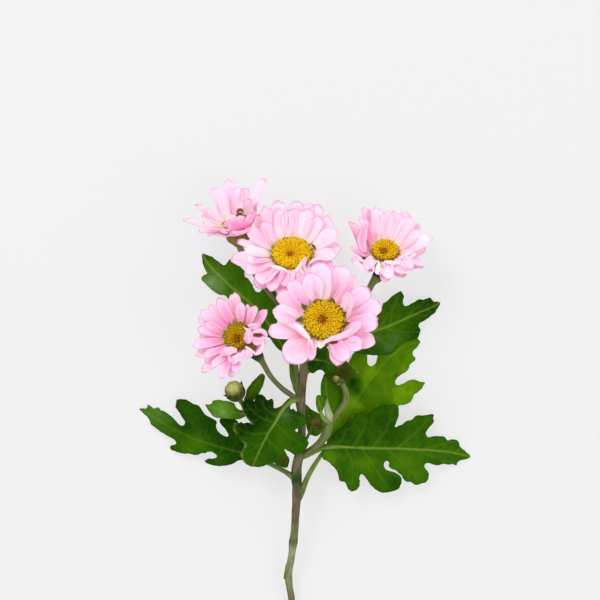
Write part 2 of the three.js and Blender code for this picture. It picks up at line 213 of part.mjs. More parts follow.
"z": [[291.4,400,30.5],[281,412.5,30.6],[271,428,28.4],[263,443,25.4],[257,456,22.6],[253,465,20.6],[260,395,28],[273,400,29.6],[244,403,25.4],[234,425,22.4],[242,456,20.6],[288.6,462,24.4],[285,449.4,26.2],[297,454.6,26.0],[308.6,443.6,27.4],[296,431,29.0],[307.6,420.8,31.0],[293,409,31]],
"mid": [[291.6,399],[286.1,405.3],[281.1,412.5],[278.2,417.5],[275.4,422.6],[272.5,426.9],[268.9,431.9],[266,437.6],[263.2,442.7],[261,447.7],[258.1,453.4],[255.3,459.9],[253.1,465.8]],
"lat": [[[279,416],[268,411],[259,398]],[[275.4,422.6],[260,417],[246,404]],[[268,433],[252,434],[237,428]],[[263.2,442.7],[252,449],[244,456]],[[280,414.6],[292,415],[305,420]],[[275.4,422.6],[289.7,436.9],[304,445]],[[266,437.6],[279,451],[287,462]],[[285,407],[281,404.6],[274,401]]]},
"leaf_g": {"petiole": [[247.6,414.4,18.8,0.7],[242.8,414,18.0,0.65],[234,412.6,16.6,0.5]],
"outline": [[246.4,412.8],[243.9,410.5],[241.8,410.2],[238.3,409.1],[235.4,406.3],[234.4,403.5],[230.4,401.6],[227.7,401],[223.4,400.6],[219.9,399.8],[215,400.1],[212.5,401.3],[211.8,403.1],[210,404.2],[206.5,404.3],[205.1,404.9],[205.7,406],[207.2,408.9],[209.3,411.8],[211.5,414.7],[213.6,416.8],[217.2,417.9],[223.7,418.6],[230.9,419.3],[238.8,419.3],[244.5,416.8],[246.6,415.4]],
"z": [[246,413.6,18.6],[232,412,16.6],[219,409.6,14.6],[206,405,11.4],[214,400.6,13.4],[212,415,12.8],[230,401.6,16.4],[233,419,15.6]],
"mid": [[246.6,414],[238,413.6],[228,411.8],[218,409],[206,405]],
"lat": [[[234,412.8],[226,406.6],[217,402]],[[236,413.2],[226,416],[216,416.6]]]},
"leaf_h": {"petiole": [[244.6,401.4,22.4,0.6],[247.6,397.2,23.0,0.5]],
"outline": [[262.8,373.4],[264.6,375.2],[265,377.3],[264.3,381.6],[262.5,386.7],[260.3,391],[258.9,393.8],[255.4,398.6],[251.6,402],[247.4,403.2],[244,402.8],[244,399],[245.8,394.8],[246.4,390.6],[248.1,387.4],[250.3,384.5],[252.4,381.6],[255.3,378.8],[258.9,375.2],[261.7,373.4]],
"z": [[245,401.6,22.2],[252,391,23.6],[258,382,24.0],[263.4,374.6,23.4],[262,388,22.4],[248,387.6,22.4]],
"mid": [[245,401.8],[250,394.4],[256,385],[263,374.4]],
"lat": []},
"leaf_i": {"petiole": [[304.6,361.4,32.4,1.2],[308.6,359.6,34.6,1.0],[314,359,35.7,0.8],[322,360.6,35.6,0.6]],
"outline": [[309.6,353.4],[314,349.4],[319,346.6],[325,347],[330,350],[335,354.6],[341,358],[346,360.6],[350.1,363.7],[353.3,366.9],[357.8,371.4],[359.4,374.6],[355,375.6],[350.7,376],[349,379.4],[346.4,381.2],[343.7,379.7],[340,381.6],[336,380.6],[333,383],[331.6,382.6],[329.6,381],[327.7,377.8],[326.1,375.3],[324.8,373.3],[322.9,370.8],[320,369.8],[316.8,370.8],[313.6,373.3],[310.4,372.6],[308.4,368],[307.8,362],[308,357]],
"z": [[309,356.6,35.4],[325,361,35.6],[340,367,33.2],[358.6,374.4,28.6],[322,348,37.0],[312,372,33.4],[332,382,30.4],[348,379.4,29.4],[350,364.4,33.0]],
"mid": [[309,356.8],[320,359.6],[332,363.6],[345,369],[359,374.4]],
"lat": [[[320,359.6],[317,365],[313,371.6]],[[328,362],[329,370],[331.6,380]],[[326,361.6],[328,355],[326,349]],[[338,366],[343,372],[346.6,379]]]},
"leaf_j": {"petiole": [[331.6,421,25.4,1.0],[329.4,412,26.9,1.0],[327.8,404,27.4,0.8],[327,397,27.6,0.5]],
"outline": [[332.4,412],[330,412.6],[326.6,405.4],[324.8,399],[322,393.4],[320.6,388],[321.4,381.4],[324.6,373.6],[329,374.6],[334,378.4],[339,381],[342.4,384],[342.2,391.6],[341,399],[337.6,406.4]],
"z": [[331,411.4,27.0],[328.6,397,27.4],[325,376,26.6],[321,388,26.0],[342,388,25.0],[338.6,403,26.2]],
"mid": [[330,411.4],[328,403],[326.6,390],[325.4,376.4]],
"lat": [[[327.8,402],[332.6,396],[337.6,390]],[[327,396],[324,391],[321.8,387]]]},
"leaf_k": {"petiole": [[329.4,423,25.0,0.9],[325,420,26.8,0.85],[321.6,416,28.0,0.75],[320.4,409,28.5,0.5]],
"outline": [[317,395.6],[320.4,395],[324.6,397.4],[325,403],[323.4,409],[321.4,413],[319,412.6],[317.3,409.8],[316,405],[315.8,399.6]],
"z": [[321,411.6,28.2],[320,404,28.6],[318,397,28.4],[316.4,404,27.8],[324,403,28.0]],
"mid": [[320.4,411.6],[319.8,404],[318.6,397.4]],
"lat": []},
"leaf_m": {"petiole": [[305.2,441,18.4,0.7],[309.4,432.6,17.8,0.7],[311.6,424,17.2,0.6]],
"outline": [[303.6,402.6],[306.2,404.6],[309,407],[311,409.6],[312.6,413],[315.6,417],[319.4,422],[323.4,427.6],[321.6,432.4],[317,436.2],[311.6,435.2],[308.8,433.4],[306.6,428],[305.2,420],[303.6,411]],
"z": [[310,434,17.8],[311,424,17.2],[309,414,17.0],[304.4,403.4,17.0],[322,431,15.6],[306,425,17.4]],
"mid": [[310.4,434],[311.4,424],[308.6,413],[304.4,403.4]],
"lat": [[[311.4,426],[316,427],[320.6,429]]]}
}
};
//==DATA-END

// Colour and finish of each kind of piece.
const COLOURS = {
  stem: { color: 0x6b5f4a, roughness: 0.62, metalness: 0 },
  stalk: { color: 0x66703f, roughness: 0.6, metalness: 0 },
  disc: { color: 0xe3b307, roughness: 0.8, metalness: 0 },
  petal: { color: 0xf4b6d2, roughness: 0.55, metalness: 0 },
  bract: { color: 0x56702f, roughness: 0.6, metalness: 0 },
  leaf: { color: 0x356b16, roughness: 0.5, metalness: 0 },
  bud: { color: 0x9a9a4a, roughness: 0.6, metalness: 0 },
};

// ---- small vector helpers ----------------------------------------------------------
const add = (a, b) => [a[0] + b[0], a[1] + b[1], a[2] + b[2]];
const sub = (a, b) => [a[0] - b[0], a[1] - b[1], a[2] - b[2]];
const mul = (a, k) => [a[0] * k, a[1] * k, a[2] * k];
const dot = (a, b) => a[0] * b[0] + a[1] * b[1] + a[2] * b[2];
const cross = (a, b) => [a[1] * b[2] - a[2] * b[1], a[2] * b[0] - a[0] * b[2], a[0] * b[1] - a[1] * b[0]];
const len = (a) => Math.sqrt(dot(a, a));
const unit = (a) => mul(a, 1 / len(a));
const rad = (d) => (d * Math.PI) / 180;

// Plan position (u, v) at height z to millimetres.
function plan(u, v, z) {
  const s = (DATA.UNIT * (DATA.CAM + DATA.Z0 - z)) / DATA.CAM;
  return [(u - 300) * s, (300 - v) * s, z];
}

// Catmull-Rom through rows of numbers, `n` steps to a span.
function spline(rows, n) {
  const out = [];
  const at = (i) => rows[Math.max(0, Math.min(rows.length - 1, i))];
  for (let i = 0; i < rows.length - 1; i++) {
    for (let k = 0; k < n; k++) {
      const t = k / n;
      out.push(rows[i].map((_, c) => {
        const p0 = at(i - 1)[c], p1 = at(i)[c], p2 = at(i + 1)[c], p3 = at(i + 2)[c];
        return 0.5 * (2 * p1 + (p2 - p0) * t + (2 * p0 - 5 * p1 + 4 * p2 - p3) * t * t + (3 * p1 - p0 - 3 * p2 + p3) * t * t * t);
      }));
    }
  }
  out.push(rows[rows.length - 1].slice());
  return out;
}

// ---- solids ------------------------------------------------------------------------
const wasm = await Module();
wasm.setup();

// Geometry made of points and triangles.
function faceted(points, triangles) {
  const g = new THREE.BufferGeometry();
  g.setAttribute('position', new THREE.Float32BufferAttribute(points.flat(), 3));
  g.setIndex(triangles.flat());
  return g;
}

// Closed geometry to a solid that can be joined and cut; faces end up pointing out.
function toSolid(geometry) {
  geometry.deleteAttribute('normal');
  geometry.deleteAttribute('uv');
  const g = mergeVertices(geometry, 1e-5), ix = g.index.array, keep = [];
  for (let i = 0; i < ix.length; i += 3) {
    const [a, b, c] = [ix[i], ix[i + 1], ix[i + 2]];
    if (a !== b && b !== c && c !== a) keep.push(a, b, c);
  }
  const make = (t) => new wasm.Manifold(new wasm.Mesh({ numProp: 3, vertProperties: g.attributes.position.array, triVerts: Uint32Array.from(t) }));
  const body = make(keep);
  if (body.volume() > 0) return body;
  for (let i = 0; i < keep.length; i += 3) [keep[i], keep[i + 1]] = [keep[i + 1], keep[i]];
  return make(keep);
}

// Tapered closed tube with a round section along centre points.
function tube(centres, radii, sides) {
  const pts = [], tris = [], n = centres.length;
  let side = null;
  centres.forEach((c, i) => {
    const t = unit(sub(centres[Math.min(n - 1, i + 1)], centres[Math.max(0, i - 1)]));
    if (!side) side = unit(cross(t, Math.abs(t[2]) < 0.9 ? [0, 0, 1] : [1, 0, 0]));
    side = unit(sub(side, mul(t, dot(side, t))));
    const up = cross(t, side);
    for (let k = 0; k < sides; k++) {
      const w = (2 * Math.PI * k) / sides;
      pts.push(add(c, add(mul(side, radii[i] * Math.cos(w)), mul(up, radii[i] * Math.sin(w)))));
    }
  });
  for (let i = 0; i < n - 1; i++) {
    for (let k = 0; k < sides; k++) {
      const a = i * sides + k, b = i * sides + ((k + 1) % sides), c = a + sides, d = b + sides;
      tris.push([a, b, d], [a, d, c]);
    }
  }
  for (let k = 1; k < sides - 1; k++) tris.push([0, k + 1, k], [(n - 1) * sides, (n - 1) * sides + k, (n - 1) * sides + k + 1]);
  return toSolid(faceted(pts, tris));
}

// Turned body round the axis `n` through `c`; profile rows are [radius, height along n].
function turned(c, n, profile, sides) {
  const e1 = unit(sub([1, 0, 0], mul(n, n[0])));
  const g = new THREE.LatheGeometry(profile.map(([r, h]) => new THREE.Vector2(r, h)), sides);
  const m = new THREE.Matrix4().makeBasis(new THREE.Vector3(...e1), new THREE.Vector3(...n), new THREE.Vector3(...cross(e1, n)));
  return toSolid(g.applyMatrix4(m.setPosition(...c)));
}

// ---- flower heads --------------------------------------------------------------------
function headFrame(h) {
  const n = unit(h.n);
  const e1 = unit(sub([1, 0, 0], mul(n, n[0])));
  return { c: plan(h.c[0], h.c[1], h.z), n, e1, e2: cross(n, e1) };
}

// Centre line of a petal: the base is on the rim of the disc, and the tip is the point
// over its plan position that best meets the petal's length and its rise.
function petalLine(h, f, p) {
  const [bu, bv, tu, tv, , long, layer, rise, curl] = p;
  let phi;
  if (bv === 999) phi = rad(bu);
  else {
    const d = sub(plan(bu, bv, h.z), f.c);
    const det = f.e1[0] * f.e2[1] - f.e1[1] * f.e2[0];
    phi = Math.atan2((f.e1[0] * d[1] - f.e1[1] * d[0]) / det, (d[0] * f.e2[1] - d[1] * f.e2[0]) / det);
  }
  const r = add(mul(f.e1, Math.cos(phi)), mul(f.e2, Math.sin(phi)));
  const base = add(add(f.c, mul(r, h.rd * 0.84)), mul(f.n, layer ? -1.9 : -3.3));
  let tip = null, best = Infinity;
  for (let z = 0.6; z < 92; z += 0.1) {
    const q = plan(tu, tv, z), d = sub(q, base), l = len(d);
    const a = (Math.asin(dot(d, f.n) / l) * 180) / Math.PI;
    const cost = ((a - rise) / 6) ** 2 + ((l - long - 0.16 * h.rd) / 1.2) ** 2;
    if (cost < best) { best = cost; tip = q; }
  }
  const L = len(sub(tip, base)), chord = unit(sub(tip, base)), a0 = rad(p[12] ?? (layer ? 26 : 7));
  const start = unit(add(mul(r, Math.cos(a0)), mul(f.n, Math.sin(a0))));
  const tau = cross(f.n, r);
  const across = (t) => { const s = unit(sub(tau, mul(t, dot(tau, t)))); return [s, cross(t, s)]; };
  const end = unit(add(mul(chord, Math.cos(rad(curl))), mul(across(chord)[1], Math.sin(rad(curl)))));
  const c1 = add(base, mul(start, L * 0.33)), c2 = sub(tip, mul(end, L * 0.33));
  const curve = new THREE.CubicBezierCurve3(...[base, c1, c2, tip].map((q) => new THREE.Vector3(...q)));
  return { at: (t) => curve.getPoint(t).toArray(), dir: (t) => curve.getTangent(t).toArray(), across };
}

// Half width along a petal, from its narrow foot to its rounded tip.
const WIDTHS = [[0, 0.4], [0.2, 0.62], [0.45, 0.92], [0.7, 1.0], [0.88, 0.86], [1.0, 0.4]];
function widthAt(t) {
  const i = WIDTHS.findIndex(([b], k) => k > 0 && t <= b);
  const [a, x] = WIDTHS[i - 1], [b, y] = WIDTHS[i];
  return x + ((y - x) * (t - a)) / (b - a);
}

function petal(h, f, p) {
  const { at, dir, across } = petalLine(h, f, p);
  const roll = rad(p[9]), cup = p[10], ts = [0, 0.4, 0.78, 1.0], ss = [-1, 0, 1];
  const top = [], bottom = [];
  ts.forEach((t) => {
    const c = at(t), [s0, u0] = across(dir(t)), ro = roll * Math.min(1, t / 0.6);
    const s1 = add(mul(s0, Math.cos(ro)), mul(u0, Math.sin(ro))), u1 = sub(mul(u0, Math.cos(ro)), mul(s0, Math.sin(ro)));
    const hw = 0.5 * p[4] * widthAt(t);
    ss.forEach((s) => {
      const m = add(add(c, mul(s1, s * hw)), mul(u1, cup * hw * (s * s - 0.3)));
      top.push(add(m, mul(u1, PETAL_THICK / 2)));
      bottom.push(sub(m, mul(u1, PETAL_THICK / 2)));
    });
  });
  const nc = ss.length, nr = ts.length, N = top.length, tris = [];
  const T = (i, j) => i * nc + j, B = (i, j) => N + i * nc + j;
  for (let i = 0; i < nr - 1; i++) {
    for (let j = 0; j < nc - 1; j++) {
      tris.push([T(i, j), T(i, j + 1), T(i + 1, j + 1)], [T(i, j), T(i + 1, j + 1), T(i + 1, j)]);
      tris.push([B(i, j), B(i + 1, j + 1), B(i, j + 1)], [B(i, j), B(i + 1, j), B(i + 1, j + 1)]);
    }
    tris.push([T(i, 0), T(i + 1, 0), B(i + 1, 0)], [T(i, 0), B(i + 1, 0), B(i, 0)]);
    tris.push([T(i, nc - 1), B(i + 1, nc - 1), T(i + 1, nc - 1)], [T(i, nc - 1), B(i, nc - 1), B(i + 1, nc - 1)]);
  }
  for (let j = 0; j < nc - 1; j++) {
    tris.push([T(0, j), B(0, j + 1), T(0, j + 1)], [T(0, j), B(0, j), B(0, j + 1)]);
    tris.push([T(nr - 1, j), T(nr - 1, j + 1), B(nr - 1, j + 1)], [T(nr - 1, j), B(nr - 1, j + 1), B(nr - 1, j)]);
  }
  return toSolid(faceted(top.concat(bottom), tris));
}

// ---- leaves ----------------------------------------------------------------------------
// Thin-plate surface through scattered heights.
function surface(rows) {
  const n = rows.length, S = 100;
  const k = (a, b) => { const d = Math.hypot(a[0] - b[0], a[1] - b[1]) / S; return d > 1e-9 ? d * d * Math.log(d) : 0; };
  const M = [], N = n + 3;
  for (let i = 0; i < N; i++) M.push(new Array(N + 1).fill(0));
  for (let i = 0; i < n; i++) {
    for (let j = 0; j < n; j++) M[i][j] = k(rows[i], rows[j]) + (i === j ? 0.002 : 0);
    const q = [1, rows[i][0] / S, rows[i][1] / S];
    for (let c = 0; c < 3; c++) { M[i][n + c] = q[c]; M[n + c][i] = q[c]; }
    M[i][N] = rows[i][2];
  }
  for (let c = 0; c < N; c++) {
    let p = c;
    for (let r = c + 1; r < N; r++) if (Math.abs(M[r][c]) > Math.abs(M[p][c])) p = r;
    [M[c], M[p]] = [M[p], M[c]];
    for (let r = 0; r < N; r++) if (r !== c && M[r][c] !== 0) {
      const m = M[r][c] / M[c][c];
      for (let q = c; q <= N; q++) M[r][q] -= m * M[c][q];
    }
  }
  const w = M.map((row, i) => row[N] / row[i]);
  return (u, v) => {
    let z = w[n] + (w[n + 1] * u) / S + (w[n + 2] * v) / S;
    for (let i = 0; i < n; i++) z += w[i] * k(rows[i], [u, v]);
    return z;
  };
}

// Outline with small steps left out (Douglas-Peucker on a closed loop).
function thin(points, tol) {
  const keep = new Array(points.length).fill(false);
  const walk = (a, b) => {
    let best = -1, bd = tol;
    const A = points[a], B = points[b % points.length], L = Math.hypot(B[0] - A[0], B[1] - A[1]) || 1;
    for (let i = a + 1; i < b; i++) {
      const P = points[i];
      const d = Math.abs((B[0] - A[0]) * (A[1] - P[1]) - (A[0] - P[0]) * (B[1] - A[1])) / L;
      if (d > bd) { bd = d; best = i; }
    }
    if (best >= 0) { walk(a, best); keep[best] = true; walk(best, b); }
  };
  const half = Math.floor(points.length / 2);
  keep[0] = keep[half] = true;
  walk(0, half);
  walk(half, points.length);
  return points.filter((_, i) => keep[i]);
}

// Splits every edge longer than `max`, the same way on both of its sides.
function refine(pts, tris, max) {
  for (let pass = 0; pass < 4; pass++) {
    const mid = new Map(), next = [];
    const half = (a, b) => {
      const A = pts[a], B = pts[b];
      if (Math.hypot(A[0] - B[0], A[1] - B[1]) <= max) return -1;
      const key = a < b ? `${a},${b}` : `${b},${a}`;
      if (!mid.has(key)) { mid.set(key, pts.length); pts.push([(A[0] + B[0]) / 2, (A[1] + B[1]) / 2]); }
      return mid.get(key);
    };
    for (const [a, b, c] of tris) {
      const m = [half(a, b), half(b, c), half(c, a)], n = m.filter((q) => q >= 0).length;
      if (n === 0) next.push([a, b, c]);
      else if (n === 3) next.push([a, m[0], m[2]], [m[0], b, m[1]], [m[2], m[1], c], [m[0], m[1], m[2]]);
      else {
        const v = [a, b, c], k = n === 1 ? m.findIndex((q) => q >= 0) : (m.findIndex((q) => q < 0) + 1) % 3;
        const [p, q, r] = [v[k], v[(k + 1) % 3], v[(k + 2) % 3]], m0 = m[k], m1 = m[(k + 1) % 3];
        if (n === 1) next.push([p, m0, r], [m0, q, r]);
        else next.push([m0, q, m1], [p, m0, m1], [p, m1, r]);
      }
    }
    tris = next;
    if (!mid.size) break;
  }
  return tris;
}

function leaf(d) {
  const height = surface(d.z);
  const ring = thin(d.outline, OUTLINE_TOL).map(([u, v]) => new THREE.Vector2(u, -v));
  const pts = ring.map((q) => [q.x, q.y]);
  let tris = THREE.ShapeUtils.triangulateShape(ring, []);
  if (THREE.ShapeUtils.area(ring) < 0) tris = tris.map(([a, b, c]) => [a, c, b]);
  tris = refine(pts, tris, 30);
  const edges = new Map();
  tris.forEach((t) => t.forEach((a, i) => edges.set(`${a},${t[(i + 1) % 3]}`, [a, t[(i + 1) % 3]])));
  const N = pts.length;
  const rim = [...edges.values()].filter(([a, b]) => !edges.has(`${b},${a}`));
  const at = ([u, v], up) => plan(u, -v, Math.max(height(u, -v) + up * LEAF_THICK * 0.5, 0));
  const solidPts = pts.map((q) => at(q, 1)).concat(pts.map((q) => at(q, -1)));
  const all = tris.concat(tris.map(([a, b, c]) => [a + N, c + N, b + N]));
  rim.forEach(([a, b]) => all.push([a, a + N, b + N], [a, b + N, b]));
  const line = spline(d.petiole, 2);
  return toSolid(faceted(solidPts, all)).add(tube(line.map((r) => plan(r[0], r[1], r[2])), line.map((r) => r[3]), 6));
}

// ---- every piece -------------------------------------------------------------------------
// In order: a piece later in the list is cut back where it would touch an earlier one.
const pieces = [];
const put = (name, kind, body) => pieces.push({ name, kind, body });

for (const [name, rows] of Object.entries(DATA.stems)) {
  const main = name === 'main_stem';
  let body = tube(rows.map((r) => plan(r[0], r[1], r[2])), rows.map((r) => r[3]), main ? STEM_SIDES : 7);
  // the scar of a fallen leaf stands out a little below the first node
  if (main) body = body.add(tube([plan(289.4, 581, 6.0), plan(284.6, 577.5, 6.6)], [0.9, 0.55], 6));
  put(name, main ? 'stem' : 'stalk', body);
}
for (const [name, h] of Object.entries(DATA.heads)) {
  const f = headFrame(h), R = h.rd, [long, wide] = h.cup ?? [1, 1];
  put(`${name}_disc`, 'disc', turned(f.c, f.n, [[0, -0.9], [R * 0.76, -0.9], [R * 0.98, 0.5], [R * 0.9, h.dome * 0.6], [R * 0.5, h.dome], [0, h.dome * 0.8]], DISC_SIDES));
  put(`${name}_bracts`, 'bract', turned(f.c, f.n, [[0, -9.3], [h.stalk * 1.15, -9.3], [R * 0.55, -8.0], [R * 0.86, -6.1], [R * 0.88, -4.2], [0, -4.2]].map(([r, d]) => [r * wide, (d + 4.2) * long - 4.2]), DISC_SIDES));
  const whorl = (layer) => {
    const lo = layer ? -2.4 : -3.8, hi = layer ? -1.4 : -2.8;
    let body = turned(f.c, f.n, [[0, lo], [R * 0.88, lo], [R * 0.88, hi], [0, hi]], DISC_SIDES);
    h.petals.filter((p) => p[6] === layer).forEach((p) => { body = body.add(petal(h, f, p)); });
    return body;
  };
  put(`${name}_inner_petals`, 'petal', whorl(1));
  put(`${name}_outer_petals`, 'petal', whorl(0));
}
for (const [name, b] of Object.entries(DATA.buds)) {
  put(name, 'bud', turned(plan(b.c[0], b.c[1], b.z), unit(b.n), [[0, -b.h], [b.r * 0.45, -b.h], [b.r * 0.88, -b.h * 0.55], [b.r, 0], [b.r * 0.86, b.h * 0.5], [b.r * 0.4, b.h * 0.9], [0, b.h]], 10));
}
for (const [name, d] of Object.entries(DATA.leaves)) put(name, 'leaf', leaf(d));

// ---- free space between neighbours ---------------------------------------------------------
const STAR = [[1, 0, 0], [-1, 0, 0], [0, 1, 0], [0, -1, 0], [0, 0, 1], [0, 0, -1]].map((d) => mul(d, GAP * 1.25));
const near = (a, b, g) => [0, 1, 2].every((i) => a.min[i] - g < b.max[i] && b.min[i] - g < a.max[i]);

// The part of body `a` near body `b`, grown by the gap.
function grown(a, b) {
  const m = a.getMesh(), box = b.boundingBox(), V = m.vertProperties;
  let body = a;
  for (let i = 0; i < m.triVerts.length; i += 3) {
    const pts = [0, 1, 2].map((k) => { const j = m.triVerts[i + k] * m.numProp; return [V[j], V[j + 1], V[j + 2]]; });
    const tb = { min: [0, 1, 2].map((c) => Math.min(...pts.map((p) => p[c]))), max: [0, 1, 2].map((c) => Math.max(...pts.map((p) => p[c]))) };
    if (!near(tb, box, GAP * 2)) continue;
    const fat = toSolid(new ConvexGeometry(pts.flatMap((p) => STAR.map((s) => new THREE.Vector3(...add(p, s))))));
    if (fat.minGap(b, GAP) < GAP * 0.5) body = body.add(fat);
  }
  return body;
}

const largest = (body) => body.decompose().sort((p, q) => q.volume() - p.volume())[0];
const done = [];
for (const piece of pieces) {
  for (const other of done) {
    if (!near(piece.body.boundingBox(), other.body.boundingBox(), GAP)) continue;
    if (piece.body.minGap(other.body, GAP) >= GAP * 0.7) continue;
    const cut = piece.body.subtract(grown(other.body, piece.body));
    piece.body = largest(cut);
  }
  piece.body = largest(piece.body.simplify(piece.kind === 'petal' ? 0.2 : 0.06));
  done.push(piece);
}

// ---- meshes ------------------------------------------------------------------------------------
const group = new THREE.Group();
group.name = 'chrysanthemum_spray';
for (const { name, kind, body } of done) {
  const m = body.getMesh(), pts = [];
  for (let i = 0; i < m.vertProperties.length; i += m.numProp) {
    pts.push([0, 1, 2].map((c) => Math.round((m.vertProperties[i + c] + OFFSET[c]) * 1e4) / 1e4));
  }
  const geometry = faceted(pts, Array.from(m.triVerts));
  geometry.computeVertexNormals();
  const mesh = new THREE.Mesh(geometry, new THREE.MeshStandardMaterial(COLOURS[kind]));
  mesh.name = name;
  group.add(mesh);
}

export default group;
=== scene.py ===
"""A cut spray of daisy-flowered chrysanthemum, lying on its back on a pale floor and seen from above."""
import math
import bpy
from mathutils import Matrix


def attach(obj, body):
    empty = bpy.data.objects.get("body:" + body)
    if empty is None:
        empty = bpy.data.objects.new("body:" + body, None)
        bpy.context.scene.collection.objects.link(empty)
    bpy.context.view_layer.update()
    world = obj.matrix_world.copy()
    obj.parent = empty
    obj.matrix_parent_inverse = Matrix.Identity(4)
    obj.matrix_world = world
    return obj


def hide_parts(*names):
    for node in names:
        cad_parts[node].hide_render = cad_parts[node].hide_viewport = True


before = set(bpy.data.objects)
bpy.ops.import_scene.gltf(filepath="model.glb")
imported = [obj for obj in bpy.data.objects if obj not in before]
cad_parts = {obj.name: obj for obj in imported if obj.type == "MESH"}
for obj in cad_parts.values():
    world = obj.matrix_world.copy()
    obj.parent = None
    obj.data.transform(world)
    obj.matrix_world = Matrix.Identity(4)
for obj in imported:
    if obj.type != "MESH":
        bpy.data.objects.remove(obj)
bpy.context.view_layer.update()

import zlib

import bpy
import numpy as np
from mathutils import Vector
from mathutils.geometry import delaunay_2d_cdt

OFFSET = np.array([-2.347, 55.435, 0.0])  # plan centre to the middle of the model's box, mm

